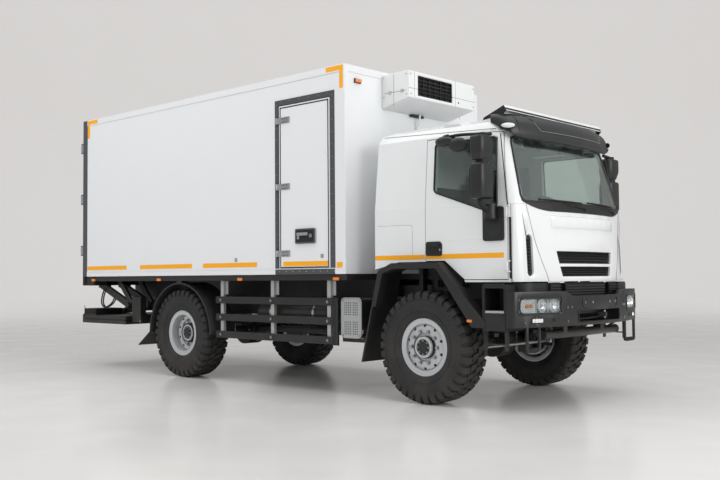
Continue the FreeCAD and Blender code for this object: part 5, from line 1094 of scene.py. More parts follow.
class InsulatedBox(Part):
    """Edge extrusions, amber markings, seals, fittings and linings of the load space."""

    sizes = BoxSizes()
    STRIPS = ((-3.722, -2.676), (-2.338, -1.14), (-0.906, 0.16))
    LEFT_STRIPS = (*STRIPS, (0.42, 1.5))
    FANS = (-0.36, 0.0, 0.36)

    def build(self) -> None:
        """Make its pieces."""
        self._extrusions()
        self._markings()
        self._side_door()
        self._rear_doors()
        self._inside()

    def _extrusions(self) -> None:
        """Roof edges, corner posts, the floor's edge rails and their rivets."""
        s = self.sizes
        piece = Piece("box_extrusions", "chassis")
        rear, front = -3.735, BOX_FRONT
        piece.pair((rear, front + 0.003), (BOX_HALF - 0.01, BOX_HALF + s.edge_proud),
                   (BOX_TOP - s.edge_height, BOX_TOP - 0.003), BOX_SKIN)
        piece.pair((rear, front + 0.003), (BOX_HALF - 0.01, BOX_HALF + s.edge_proud),
                   (BOX_FLOOR + 0.002, BOX_FLOOR + 0.07), BOX_SKIN)
        piece.pair((rear, front + 0.003), (BOX_HALF - 0.01, BOX_HALF + s.edge_proud + 0.004),
                   (BOX_FLOOR + 0.062, BOX_FLOOR + 0.07), BOX_SKIN)
        piece.pair((front - 0.06, front + 0.0055), (BOX_HALF - 0.06, BOX_HALF + s.edge_proud + 0.0006),
                   (BOX_FLOOR + 0.002, BOX_TOP - 0.003), BOX_SKIN)
        piece.box((front - 0.01, front + 0.004), (-BOX_HALF, BOX_HALF),
                  (BOX_TOP - s.edge_height, BOX_TOP - 0.003), BOX_SKIN)
        piece.box((front - 0.01, front + 0.004), (-BOX_HALF, BOX_HALF), (BOX_FLOOR + 0.002, BOX_FLOOR + 0.07),
                  BOX_SKIN)
        piece.build("box_panel", bevel=0.0015)
        rivets = []
        for side, _ in SIDES:
            for x in grid_line(rear + 0.08, front - 0.05, 46):
                rivets.append(((x, side * (BOX_HALF + s.edge_proud), BOX_FLOOR + 0.035), (0, side, 0)))
            for z in grid_line(BOX_FLOOR + 0.15, BOX_TOP - 0.15, 18):
                rivets.append(((front + 0.004, side * (BOX_HALF - 0.03), z), (1, 0, 0)))
        for y in grid_line(-BOX_HALF + 0.1, BOX_HALF - 0.1, 20):
            rivets.append(((front + 0.004, y, BOX_FLOOR + 0.035), (1, 0, 0)))
        self.scatter.heads("box_rivets", "chassis", rivets, s.rivet, BOX_SKIN, "box_panel", height=0.0022,
                           corners=12, washer=1.0)

    def _markings(self) -> None:
        """Amber outline marks, one small grey plate and the marker lamps."""
        s = self.sizes
        piece = Piece("box_markings", "chassis")
        high = BOX_TOP - 0.012
        for side, _ in SIDES:
            face = mirrored(side, BOX_HALF - 0.004, BOX_HALF + s.strip_proud)
            proud = mirrored(side, BOX_HALF - 0.004, BOX_HALF + s.edge_proud + s.strip_proud)
            for low, top in self.STRIPS if side == RIGHT else self.LEFT_STRIPS:
                piece.box((low, top), face, (s.strip_low, s.strip_high), AMBER)
            if side == RIGHT:
                piece.box((1.522, 1.615), proud, (s.strip_low - 0.02, s.strip_high - 0.02), AMBER)
                piece.box((-0.263, -0.213), face, (1.524, 1.574), GREY_PAD)
            for start, end, post in ((1.367, 1.636, 1.636 - s.mark_width), (-3.722, -3.45, -3.722)):
                piece.box((start, end), proud, (high - s.mark_width, high), AMBER)
                piece.box((post, post + s.mark_width), proud, (3.455, high - s.mark_width), AMBER)
        piece.build("lamp_amber", bevel=0.0004)
        lamps = Piece("box_lamps", "chassis")
        lamps.pair((BOX_FRONT, BOX_FRONT + 0.018), (1.01, 1.12), (3.53, 3.582), MOULDING)
        lamps.pair((BOX_FRONT + 0.01, BOX_FRONT + 0.034), (1.018, 1.112), (3.537, 3.575), AMBER_LENS)
        lamps.build("lamp_amber", bevel=0.004)

    def _side_door(self) -> None:
        """Seals, amber strip, handle tub and frame screws of the side door."""
        y = -1.281
        door = Piece("side_door_details", "side_door_body")
        door.box((0.64, 1.396), (y - 0.0012, y + 0.002), (1.458, 1.512), AMBER)
        door.box((1.268, 1.318), (y - 0.0014, y + 0.002), (1.545, 1.592), GREY_PAD)
        for x0, x1, z0, z1 in ((0.59, 1.405, 3.346, 3.36), (0.59, 1.405, 1.45, 1.436),
                               (0.59, 0.604, 1.45, 3.36), (1.391, 1.405, 1.45, 3.36)):
            door.box((x0, x1), (y - 0.003, y + 0.002), (z0, z1), SEAL)
        door.build("box_panel", bevel=0.0008)
        tub = Piece("side_door_handle", "side_door_body")
        top = -1.303
        tub.prism(rounded_loop(rectangle((0.872, 1.196), (1.718, 1.892)), 0.02), Axis.Y, top - 0.002,
                  top + 0.018, FRAME_GREY)
        tub.prism(rounded_loop(rectangle((0.888, 1.18), (1.736, 1.876)), 0.014), Axis.Y, top - 0.0035,
                  top + 0.01, MATT)
        tub.box((0.905, 1.085), (top - 0.012, top), (1.812, 1.846), STAINLESS)
        tub.box((0.905, 0.94), (top - 0.006, top), (1.77, 1.812), STAINLESS)
        tub.bar((1.132, top, 1.806), (1.132, top - 0.01, 1.806), 0.022, STAINLESS)
        tub.box((1.126, 1.138), (top - 0.0115, top), (1.794, 1.818), MATT)
        tub.build("steel_trim", bevel=0.002)
        screws = []
        for z in grid_line(1.42, 3.4, 14):
            screws += [((x, -1.2815, z), (0, -1, 0)) for x in (0.532, 1.462)]
        screws += [((x, -1.2815, 3.425), (0, -1, 0)) for x in grid_line(0.6, 1.4, 5)]
        self.scatter.heads("side_door_screws", "chassis", screws, 0.0045, ZINC, "frame_grey", height=0.0025,
                           corners=12, washer=1.2)
        bolts = []
        for z in (1.609, 2.405, 3.201):
            bolts += [((x, -1.3035, z + step), (0, -1, 0)) for x in (0.64, 0.7) for step in (-0.02, 0.02)]
        self.scatter.heads("side_door_bolts", "side_door_body", bolts, 0.008, ZINC, "steel_trim",
                           height=0.006)

    def _rear_doors(self) -> None:
        """Seals, bar guides, handles and strap bolts of the rear doors."""
        for side, word in SIDES:
            body = f"rear_door_{word}_body"
            piece = Piece(f"rear_door_details_{word}", body)
            face = BOX_REAR
            for y0, y1, z0, z1 in ((0.014, 0.03, 1.465, 3.605), (1.176, 1.192, 1.465, 3.605),
                                   (0.03, 1.176, 1.465, 1.481), (0.03, 1.176, 3.589, 3.605)):
                piece.box((face - 0.006, face + 0.002), mirrored(side, y0, y1), (z0, z1), SEAL)
            for z in (1.62, 2.15, 2.95, 3.45):
                piece.box((face - 0.03, face), mirrored(side, 0.3, 0.362), (z - 0.02, z + 0.02), STAINLESS)
            piece.bar((face - 0.026, side * 0.331, 2.02), (face - 0.034, side * 0.15, 2.0), 0.01, STAINLESS)
            piece.box((face - 0.03, face), mirrored(side, 0.1, 0.16), (1.96, 2.04), STAINLESS)
            piece.build("steel_trim", bevel=0.0015)
            bolts = [((face - 0.01, side * y, z + step), (-1, 0, 0)) for z in (1.76, 2.535, 3.31)
                     for y in (1.02, 1.1) for step in (-0.022, 0.022)]
            self.scatter.heads(f"rear_door_bolts_{word}", body, bolts, 0.008, ZINC, "steel_trim",
                               height=0.006)

    def _inside(self) -> None:
        """Kick plates, a light and the fans of the evaporator."""
        piece = Piece("load_space_trim", "chassis")
        for side, _ in SIDES:
            piece.box((-3.7, 0.5) if side == RIGHT else (-3.7, 1.56), mirrored(side, 1.204, 1.2098),
                      (1.471, 1.66), PLATE)
        piece.box((1.5725, 1.5748), (-1.19, 1.19), (1.471, 1.66), PLATE)
        piece.box((-1.4, -0.6), (-0.06, 0.06), (3.612, 3.6446), WHITE_LENS)
        for y in self.FANS:
            piece.turned(rectangle((-0.012, 0.004), (0.13, 0.118)), (1.195, y, 3.5), MATT, Axis.X, steps=32,
                         closed=True)
            piece.bar((1.196, y, 3.5), (1.186, y, 3.5), 0.035, MATT)
        piece.build("floor_aluminium", bevel=0.001)
        vanes = [((1.188, y, z), (0, 0, 1), (0.006, 0.22, 0.003)) for y in self.FANS
                 for z in grid_line(3.4, 3.6, 12)]
        self.scatter.slats("evaporator_guards", "chassis", vanes, MOULDING, "dark_trim")


class CoolingUnit(Part):
    """Seams, fins, fan guards, latches and pipe of the cooling unit on the front wall."""

    def build(self) -> None:
        """Make its pieces."""
        piece = Piece("cooling_details", "chassis")
        for y0, y1, z0, z1 in ((-0.64, 0.64, 3.484, 3.488), (-0.545, -0.541, 3.385, 3.685),
                               (0.239, 0.243, 3.385, 3.685)):
            piece.box((2.07, 2.0752), (y0, y1), (z0, z1), MATT)
        piece.box((2.071, 2.0755), (0.27, 0.6), (3.5, 3.66), UNIT_WHITE)
        piece.bar((2.07, 0.302, 3.434), (2.0756, 0.302, 3.434), 0.012, MATT)
        piece.pair((1.7, 2.03), (0.6395, 0.6408), (3.462, 3.466), MATT)
        piece.pair((1.84, 1.844), (0.6395, 0.6408), (3.3, 3.68), MATT)
        piece.pair((1.76, 1.8), (0.638, 0.648), (3.445, 3.483), STAINLESS)
        piece.pair((1.95, 1.99), (0.638, 0.648), (3.445, 3.483), STAINLESS)
        piece.tube([(1.73, -0.02, 3.29), (1.72, -0.02, 3.2), (1.68, -0.02, 3.08), (1.668, -0.02, 2.7),
                    (1.668, -0.02, 1.5)], 0.011, UNIT_WHITE, smooth=True)
        piece.box((1.66, 1.7), (-0.138, 0.095), (3.262, 3.287), MOULDING)
        piece.build("unit_white", bevel=0.0008)
        core = Piece("cooling_core", "chassis")
        core.box((2.036, 2.0405), (-0.475, 0.175), (3.42, 3.645), MATT)
        core.build("dark_trim")
        fins = [((2.043, y, 3.532), (0, 0, 1), (0.004, 0.002, 0.222)) for y in grid_line(-0.47, 0.17, 64)]
        self.scatter.slats("cooling_fins", "chassis", fins, CASTING, "dark_trim")
        top = Piece("cooling_fan_guards", "chassis")
        for y in (-0.32, 0.32):
            for radius in (0.05, 0.09, 0.13, 0.165):
                ring = [(1.86 + radius * math.cos(t), y + radius * math.sin(t), 3.686) for t in angles(36)]
                top.tube(ring, 0.0025, MOULDING, sides=6, closed=True)
            top.bar((1.86, y, 3.68), (1.86, y, 3.6885), 0.172, MATT, sides=40)
        top.build("dark_trim")
        bolts = [((x, side * 0.6405, z), (0, side, 0)) for side, _ in SIDES for x in (1.69, 2.03)
                 for z in (3.42, 3.65)]
        bolts += [((2.0755, y, z), (1, 0, 0)) for y in (-0.61, 0.61) for z in (3.42, 3.65)]
        self.scatter.heads("cooling_bolts", "chassis", bolts, 0.006, ZINC, "unit_white", height=0.004)


SOFT_EDGES: dict[str, float] = {"cooling_unit": 0.012, "box_roof": 0.006, "box_side_walls": 0.004,
                                "bumper": 0.012, "cab_shell": 0.004, "front_panel": 0.004, "mudguards": 0.006,
                                "door_mirrors_left": 0.02, "door_mirrors_right": 0.02, "sun_visor": 0.006,
                                "exhaust_shield": 0.01, "fuel_tank": 0.01, "side_guards": 0.005,
                                "lift_platform": 0.004, "engine": 0.02, "dashboard": 0.02}


@dataclass(frozen=True)
class TyreSizes:
    """Sizes of a coarse block tyre, measured from its axle and its centre plane."""

    tip: float = 0.5895
    half: float = 0.1905
    pitches: int = 34
    gap: float = 0.3


class Wheels(Part):
    """Block tyres and the rims' nuts, rings and hubs."""

    sizes = TyreSizes()
    CARCASS = ((0.1255, 0.259), (0.1325, 0.3004), (0.146, 0.303), (0.16, 0.315), (0.164, 0.34), (0.17, 0.348),
               (0.185, 0.395), (0.189, 0.435), (0.187, 0.475), (0.18, 0.512), (0.17, 0.542), (0.156, 0.56),
               (0.11, 0.567), (0.0, 0.5685))

    def build(self) -> None:
        """Make its pieces."""
        for axle, station in (("front", FRONT_AXLE), ("rear", REAR_AXLE)):
            for side, word in SIDES:
                centre = (station, side * 1.05, AXLE_HEIGHT)
                self._tyre(f"{axle}_{word}", centre)
                self._rim(f"{axle}_{word}", centre, side, axle == "front")

    def _tyre(self, name: str, centre: Point) -> None:
        """One tyre with its blocks.

        Args:
            name: which wheel.
            centre: middle of the wheel.
        """
        s = self.sizes
        piece = Piece(f"tyre_dressed_{name}", f"wheel_{name}")
        inner = ((0.1255, 0.259), (0.1, 0.261), (0.0, 0.261))
        half = [*reversed(inner[1:]), *self.CARCASS]
        section = half + [(-along, radius) for along, radius in reversed(half[1:-1])]
        piece.turned(section, centre, RUBBER, Axis.Y, steps=96, closed=True)
        for ring, radius in ((0.1868, 0.452), (0.1795, 0.372)):
            for face in (-1, 1):
                piece.turned([(face * (ring - 0.004), radius), (face * (ring + 0.0025), radius + 0.0015),
                              (face * (ring + 0.0025), radius + 0.0035),
                              (face * (ring - 0.004), radius + 0.005)], centre, RUBBER, Axis.Y, steps=72,
                             closed=True)
        pitch = math.tau / s.pitches
        for step in range(s.pitches):
            for face in (-1, 1):
                turn = (step + (0.5 if face > 0 else 0.0)) * pitch
                long = step % 2 == 0
                self._block(piece, centre, turn, pitch * (1 - s.gap), face,
                            ((0.098, s.tip - 0.0015), (0.15, s.tip - 0.004), (0.178, 0.572),
                             (s.half, 0.535 if long else 0.548), (s.half - 0.004, 0.5 if long else 0.525)),
                            ((0.098, 0.56), (0.15, 0.556), (0.172, 0.535), (0.176, 0.51), (0.176, 0.495)),
                            0.1)
                self._block(piece, centre, turn + pitch * 0.42, pitch * 0.6, face,
                            ((0.004, s.tip), (0.046, s.tip), (0.088, s.tip - 0.001)),
                            ((0.004, 0.56), (0.046, 0.56), (0.088, 0.56)), 0.55)
        piece.build("tyre_rubber", replaces=(f"tyre_{name}",), angle=32)

    @staticmethod
    def _block(piece: Piece, centre: Point, turn: float, width: float, face: int, outer: Outline,
               inner: Outline, lean: float) -> None:
        """One tread block.

        Args:
            piece: piece to add to.
            centre: middle of the wheel.
            turn: angle of its middle.
            width: angle that it takes.
            face: which half of the tread.
            outer: its top, as (across, radius).
            inner: its root.
            lean: how much it slants, in radians for each 0.1 m across.
        """
        rings = []
        for (across, high), (_, low) in zip(outer, inner):
            middle = turn + face * lean * (across - outer[0][0]) * 0.9
            ring = []
            for radius, share in ((high, -0.44), (high, 0.44), (low, 0.5), (low, -0.5)):
                angle = middle + width * share
                ring.append(Vector(centre) + Vector((math.cos(angle) * radius, face * across,
                                                     math.sin(angle) * radius)))
            rings.append(ring)
        piece.sweep(rings, RUBBER)

    def _rim(self, name: str, centre: Point, side: int, front: bool) -> None:
        """Nuts, hub, the hand openings as thin dark discs of painted shade, and the balance ring of one rim.

        Args:
            name: which wheel.
            centre: middle of the wheel.
            side: which side it is on.
            front: whether the disc bulges outwards.
        """
        body = f"wheel_{name}"
        piece = Piece(f"rim_details_{name}", body)
        disc = (0.106 if front else 0.007) * side
        x, y, z = centre

        def ring(profile: Outline, finish: Finish, steps: int = 56) -> None:
            piece.turned([(along * side, radius) for along, radius in profile], centre, finish, Axis.Y,
                         steps=steps, closed=True)

        edge = abs(disc)
        if front:
            ring([(0.1, 0.238), (0.12, 0.232), (0.134, 0.205), (0.134, 0.15), (0.126, 0.146), (0.1, 0.146)],
                 RIM_PAINT)
            ring([(edge, 0.12), (edge + 0.034, 0.118), (edge + 0.036, 0.098), (edge + 0.036, 0.092),
                  (edge, 0.09)], HUB_DARK)
        else:
            ring([(edge, 0.238), (edge + 0.03, 0.232), (edge + 0.012, 0.19), (edge, 0.186)], RIM_PAINT)
            ring([(edge, 0.135), (edge + 0.05, 0.128), (edge + 0.052, 0.1), (edge, 0.1)], HUB_DARK)
        cap = edge + (0.058 if front else 0.062)
        piece.bar((x, y + disc, z), (x, y + side * cap, z), 0.094, HUB_DARK, sides=40, tip=0.086)
        piece.bar((x, y + side * cap, z), (x, y + side * (cap + 0.012), z), 0.06, HUB_DARK, sides=32,
                  tip=0.054)
        ring([(0.128, 0.291), (0.1475, 0.2985), (0.1475, 0.3015), (0.128, 0.3015)], RIM_PAINT)
        piece.build("rim_silver", bevel=0.0015)
        face = 0.134 if front else edge
        nuts = [((x + math.cos(t) * 0.1675, y + side * (face if front else face + 0.001),
                  z + math.sin(t) * 0.1675), (0, side, 0)) for t in angles(10)]
        self.scatter.heads(f"wheel_nuts_{name}", body, nuts, 0.0165, ZINC, "rim_silver", height=0.026,
                           corners=6, washer=1.35)
        small = [((x + math.cos(t) * 0.07, y + side * (cap + 0.0005), z + math.sin(t) * 0.07), (0, side, 0))
                 for t in angles(8)]
        self.scatter.heads(f"hub_bolts_{name}", body, small, 0.007, ZINC, "rim_silver", height=0.006)
        # The hand openings are thin dark discs on the rim: painted shade in place of real openings.
        hole_shades = []
        for t in angles(10, 0.5):
            away = Vector((math.cos(t), 0, math.sin(t)))
            place = Vector(centre) + away * (0.222 if front else 0.212)
            place.y = y + side * (0.1262 if front else edge + 0.0215)
            lean = Vector((0, side, 0)) + away * (0.35 if front else -0.75)
            hole_shades.append((tuple(place), tuple(lean)))
        self.scatter.heads(f"hand_holes_{name}", body, hole_shades, 0.0155, MATT, "dark_trim", height=0.0012,
                           corners=20, washer=1.0)


class Lamps(Part):
    """Headlamps, fog lamps, side markers and tail lamps."""

    def build(self) -> None:
        """Make its pieces."""
        for side, word in SIDES:
            self._headlamp(side, word)
        self._small()

    @staticmethod
    def _headlamp(side: int, word: str) -> None:
        """One headlamp: dark tub, two bowls, an indicator and a clear lens.

        Args:
            side: which side.
            word: its name.
        """
        piece = Piece(f"headlamp_{word}", "chassis")

        def face(y: float, z: float, proud: float) -> Point:
            return bumper_face(side * y, z, proud)

        piece.patch(face, grid_line(0.692, 1.213, 12), (0.953, 1.109), -0.052, MATT, sunk=0.07)
        radius = 0.066
        for middle in (0.775, 0.925):
            x = face(middle, 0, 0)[0] - 0.05
            profile = [(0.0, 0.012), (0.004, 0.03), (0.014, 0.048), (0.036, radius), (0.036, radius + 0.004),
                       (-0.004, radius + 0.004), (-0.008, 0.012)]
            piece.turned(profile, (x, side * middle, 1.031), REFLECTOR, Axis.X, steps=40, closed=True)
            piece.bar((x - 0.004, side * middle, 1.031), (x + 0.02, side * middle, 1.031), 0.014, WHITE_LENS,
                      sides=20, tip=0.01)
        for low, high in ((0.7, 0.704), (0.848, 0.852), (0.996, 1.0)):
            piece.patch(face, (low, high), (0.955, 1.107), -0.012, REFLECTOR, sunk=0.05)
        piece.patch(face, grid_line(1.006, 1.204, 5), (0.962, 1.102), -0.022, REFLECTOR, sunk=0.045)
        for i in range(7):
            low = 0.966 + i * 0.0195
            piece.patch(face, grid_line(1.008, 1.202, 4), (low, low + 0.013), -0.016, WHITE_LENS, sunk=0.02)
        for middle in (1.06, 1.11):
            x = face(middle, 0, 0)[0]
            piece.bar((x - 0.03, side * middle, 1.031), (x - 0.006, side * middle, 1.031), 0.019, AMBER_LENS,
                      sides=20)
        fog = face(1.0, 0, 0)[0]
        piece.turned([(-0.03, 0.034), (-0.004, 0.034), (-0.002, 0.028), (-0.02, 0.01), (-0.03, 0.01)],
                     (fog, side * 1.0, 0.89), REFLECTOR, Axis.X, steps=32, closed=True)
        piece.bar((fog - 0.03, side * 1.0, 0.89), (fog - 0.006, side * 1.0, 0.89), 0.029, WHITE_LENS,
                  sides=32)
        piece.build("lamp_clear", replaces=("headlamps",) if side == RIGHT else ())
        lens = Piece(f"headlamp_lens_{word}", "chassis")
        lens.patch(face, grid_line(0.692, 1.213, 14), grid_line(0.953, 1.109, 3), 0.0005, CLEAR_GLASS,
                   sunk=0.0035)
        lens.build("lamp_clear")
        rim = Piece(f"headlamp_rim_{word}", "chassis")
        loop = rounded_loop(rectangle((0.684, 1.222), (0.944, 1.118)), 0.03)
        rim.tube([face(y, z, -0.001) for y, z in loop], 0.008, BUMPER_BLACK, sides=8, closed=True)
        rim.build("bumper_black")

    def _small(self) -> None:
        """Lenses over the CAD markers and tail lamps, and the two amber lamps by the front arch."""
        piece = Piece("small_lamps", "chassis")
        piece.pair((FRONT_AXLE + 0.586, FRONT_AXLE + 0.646), (1.236, 1.248), (0.868, 0.894), AMBER_LENS)
        piece.pair((BOX_REAR + 0.003, BOX_REAR + 0.073), (1.274, 1.2756), (1.228, 1.362), MATT)
        piece.pair((BOX_REAR + 0.003, BOX_REAR + 0.0735), (0.944, 1.2756), (1.2285, 1.2315), MATT)
        piece.pair((BOX_REAR + 0.069, BOX_REAR + 0.0715), (0.944, 1.2756), (1.228, 1.362), MATT)
        for side, _ in SIDES:
            piece.turned([(0.0, 0.034), (0.02, 0.03), (0.028, 0.018), (0.03, 0.0001)],
                         (FRONT_AXLE - 0.792, side * 1.15, 0.791), AMBER_LENS, Axis.Y, steps=28)
            piece.bar((FRONT_AXLE - 0.792, side * 1.0, 0.791), (FRONT_AXLE - 0.792, side * 1.152, 0.791),
                      0.012, MOULDING)
            y = mirrored(side, 0.952, 1.262)
            cells = ((0.0, 0.33, RED_LENS), (0.34, 0.62, AMBER_LENS), (0.63, 0.8, WHITE_LENS),
                     (0.81, 1.0, RED_LENS))
            for low, high, finish in cells:
                span = (between(y[0], y[1], low), between(y[0], y[1], high))
                piece.box((BOX_REAR - 0.006, BOX_REAR + 0.004), span, (1.245, 1.345), finish)
        piece.build("lamp_amber", bevel=0.003)


@dataclass(frozen=True)
class CabSizes:
    """Sizes of the cab's trim, from the front axle and the ground."""

    rubber: float = 0.013
    stripe_low: float = 1.505
    stripe_high: float = 1.555
    handle_low: float = 1.536
    handle_high: float = 1.688
    cowl_low: float = 1.968
    cowl_high: float = 2.062
    seam: float = 0.0022


class Cab(Part):
    """Rubbers, seams, stripe, handles, cowl, wipers, visor and deflector trim, and mirrors of the cab."""

    sizes = CabSizes()
    WINDOW = ((0.085, 2.205), (0.72, 1.985), (0.88, 2.015), (0.85, 2.715), (0.085, 2.715))
    SCREEN = ((-1.01, 2.06), (1.01, 2.06), (0.925, 2.725), (-0.925, 2.725))
    BROW = ((1.108, 0.0), (1.128, 0.006), (1.137, 0.024), (1.137, 0.06))
    CREST = ((1.122, 2.835), (1.092, 2.888), (1.042, 2.934), (0.976, 2.964), (0.905, 2.976), (0.862, 2.977))
    UNDER = ((0.856, 2.95), (0.862, 2.868), (0.915, 2.838), (0.99, 2.806))
    SEAM = ((0.962, 2.03), (0.935, 1.92), (0.9, 1.78), (0.862, 1.64), (0.79, 1.46), (0.735, 1.34),
            (0.712, 1.266))
    HATCH = ((-0.69, 1.878), (-0.3, 1.876), (-0.225, 1.868), (-0.204, 1.84), (-0.204, 1.6), (-0.206, 1.56))

    def build(self) -> None:
        """Make its pieces."""
        self._front()
        self._cowl()
        self._visor()
        self._deflector()
        for side, word in SIDES:
            self._flank(side, word)
            self._door(side, word)
            self._mirrors(side, word)
        self._kerb_mirror()

    @staticmethod
    def dome(piece: Piece, centre: Sequence[float], normal: Sequence[float], width: float, height: float,
             proud: float, finish: Finish) -> None:
        """A low oval dome.

        Args:
            piece: piece to add to.
            centre: middle of its foot.
            normal: the way it bulges.
            width: its half length.
            height: its half height.
            proud: how far it bulges.
            finish: its finish.
        """
        out = Vector(normal).normalized()
        along = Vector((0, 0, 1)).cross(out).normalized()
        up = out.cross(along)
        rings = []
        for step in range(7):
            turn = math.pi / 2 * step / 6.5
            share = math.cos(turn) ** 0.8
            middle = Vector(centre) + out * (proud * math.sin(turn))
            rings.append([middle + along * (width * share * math.cos(t)) + up * (height * share * math.sin(t))
                          for t in angles(32)])
        piece.sweep([[p - out * 0.006 for p in rings[0]], *rings], finish)

    def _front(self) -> None:
        """The screen's rubber, the seams of the front panel, the vents' meshes and their lips."""
        s = self.sizes
        piece = Piece("screen_rubber", "cab")
        run = [SKIN.front(y, z, 0.001) for y, z in walk(rounded_loop(self.SCREEN, 0.075, 6), 0.08)]
        piece.tube(run, s.rubber, SEAL, sides=8, closed=True, flat=0.7)
        piece.build("dark_trim")
        seams = Piece("front_seams", "cab")
        for side, _ in SIDES:
            curve = smooth_path([(side * y, 0, z) for y, z in self.SEAM])
            seams.tube([SKIN.front(p.x, p.z, 0.0008) for p in curve], s.seam, CASTING, sides=6)
            seams.tube([SKIN.flank(side)(FRONT_AXLE + 1.037, z, 0.0005) for z in grid_line(1.27, 2.03, 6)],
                       0.0028, MATT, sides=6)
        seams.build("dark_trim")
        mesh = Piece("vent_backs", "cab")
        for half, low, high in ((0.545, 1.447, 1.568), (0.5, 1.317, 1.413)):
            mesh.patch(SKIN.front, grid_line(-half, half, 24), (low, high), -0.04, MATT, sunk=0.046)
        for side, _ in SIDES:
            mesh.patch(SKIN.front, grid_line(side * 0.912, side * 0.978, 3), (1.33, 1.72), -0.04, MATT,
                       sunk=0.046)
        mesh.build("dark_trim")
        wires = [(SKIN.front(y, 1.508, -0.021), (0, 0, 1), (0.003, 0.0016, 0.114))
                 for y in grid_line(-0.53, 0.53, 106)]
        wires += [(SKIN.front(y, 1.365, -0.021), (0, 0, 1), (0.003, 0.0016, 0.09))
                  for y in grid_line(-0.49, 0.49, 98)]
        self.scatter.slats("vent_wires", "cab", wires, MOULDING, "dark_trim")

    def _cowl(self) -> None:
        """The black cowl under the screen with its louvres, and two wipers."""
        s = self.sizes
        piece = Piece("cowl", "cab")
        grid = []
        for y in grid_line(-1.0, 1.0, 40):
            edge = max(0.0, (abs(y) - 0.62) / 0.38)
            low = s.cowl_low + 0.085 * edge ** 2
            grid.append([(y, low), (y, between(low, s.cowl_high, 0.5)), (y, s.cowl_high)])
        piece.shell(SKIN.front, grid, 0.005, MOULDING, sunk=0.012)
        for i in range(3):
            piece.patch(SKIN.front, grid_line(-0.6, 0.6, 24), (1.985 + i * 0.019, 1.993 + i * 0.019), 0.0065,
                        MATT, sunk=0.002)
        piece.build("dark_trim", bevel=0.002)
        wipers = Piece("wipers", "cab")
        for pivot, tip in ((-0.05, -0.8), (0.72, 0.02)):
            root = Vector(SKIN.front(pivot, 2.012, 0.018))
            wipers.bar(SKIN.front(pivot, 2.012, 0.0), root, 0.017, MATT, sides=16)
            elbow = Vector(SKIN.front(between(pivot, tip, 0.4), 2.052, 0.034))
            end = Vector(SKIN.front(between(pivot, tip, 0.52), 2.08, 0.026))
            wipers.tube([root, elbow, end], 0.0075, MATT, sides=8, smooth=True, flat=0.6)
            blade = [Vector(SKIN.front(between(pivot, tip, share), 2.072 + 0.012 * share, 0.012))
                     for share in grid_line(0.06, 1.0, 12)]
            wipers.tube(blade, 0.0062, MATT, sides=6, flat=1.6)
            wipers.tube([p + Vector((0.01, 0, 0.002)) for p in blade[2:-2]], 0.0045, MATT, sides=6)
        wipers.build("dark_trim")

    @staticmethod
    def _bow(y: float) -> float:
        """How far the visor's face falls back.

        Args:
            y: place across.

        Returns:
            The fall.
        """
        return SKIN.crown - math.sqrt(SKIN.crown ** 2 - y * y)

    def _brow(self, y: float, z: float, proud: float = 0.0) -> Point:
        """Place on the visor's face.

        Args:
            y: place across.
            z: height.
            proud: height over it.

        Returns:
            The place.
        """
        rows = [(1.137, 2.7), (1.137, 2.755), *self.CREST[:5]]
        reach = rows[-1][0]
        for (a, low), (b, high) in zip(rows, rows[1:]):
            if z <= high:
                reach = between(a, b, max(0.0, z - low) / (high - low))
                break
        lean = max(0.0, z - 2.8) * 3.2
        return (FRONT_AXLE + reach - self._bow(y) + proud / math.hypot(1, lean), y,
                z + proud * lean / math.hypot(1, lean))

    def _visor(self) -> None:
        """The bulging visor, its raised middle, its creases and its oval lamps, with painted highlights along
        the raised middle's edges and painted shade along the end creases.
        """
        piece = Piece("visor_dressed", "cab")
        rings, half = [], 1.04
        for y in [half * math.sin(math.pi / 2 * share) for share in grid_line(-0.999, 0.999, 56)]:
            low = 2.697 + 0.02 * max(0.0, abs(y) - 0.8) / 0.24
            shrink = (1 - (abs(y) / (half + 0.002)) ** 20) ** (1 / 3)
            loop = [(x, low + rise) for x, rise in self.BROW] + list(self.CREST) + list(self.UNDER)
            loop += [(1.06, low + 0.014)]
            ring = []
            for x, z in loop:
                x, z = between(0.965, x, shrink) - self._bow(y), between(2.885, z, shrink)
                if abs(y) > 0.9 and z < 2.788 and x < 0.981:
                    x, z = (0.981, z) if x > 0.92 else (x, 2.788)
                ring.append((FRONT_AXLE + x, y, z))
            rings.append(ring)
        piece.sweep(rings, VISOR_GREY)
        piece.build("black_plastic", replaces=("sun_visor",), angle=50)
        trim = Piece("visor_trim", "cab")
        grid = [[(share * 0.6, 2.79), (share * 0.64, 2.85), (share * 0.68, 2.905), (share * 0.72, 2.948)]
                for share in grid_line(-1.0, 1.0, 28)]
        trim.shell(self._brow, grid, 0.007, VISOR_GREY, sunk=0.008)
        for side, _ in SIDES:
            # Light grey lines along the raised middle's side edges: painted highlights.
            trim.tube([self._brow(side * y, z, 0.004)
                       for y, z in ((0.735, 2.955), (0.665, 2.865), (0.61, 2.792))], 0.0032, GREY_PAD,
                      sides=6)
            # Dark line along each end crease: painted shade.
            trim.tube([self._brow(side * 0.905, z, 0.0) for z in grid_line(2.745, 2.955, 6)], 0.0028, MATT,
                      sides=6)
        # Light grey line along the raised middle's lower edge: painted highlight.
        trim.tube([self._brow(y, 2.79, 0.006) for y in grid_line(-0.61, 0.61, 20)], 0.0026, GREY_PAD, sides=6)
        trim.build("black_plastic", angle=30)
        lamps = Piece("visor_lamps", "cab")
        for side, _ in SIDES:
            turn = math.radians(36)
            centre = (FRONT_AXLE + 0.955, side * 1.022, 2.818)
            normal = (math.sin(turn), side * math.cos(turn), 0.12)
            self.dome(lamps, centre, normal, 0.078, 0.032, 0.014, MATT)
            outer = tuple(Vector(centre) + Vector(normal).normalized() * 0.005)
            self.dome(lamps, outer, normal, 0.069, 0.026, 0.017, WHITE_LENS)
        lamps.build("lamp_clear")

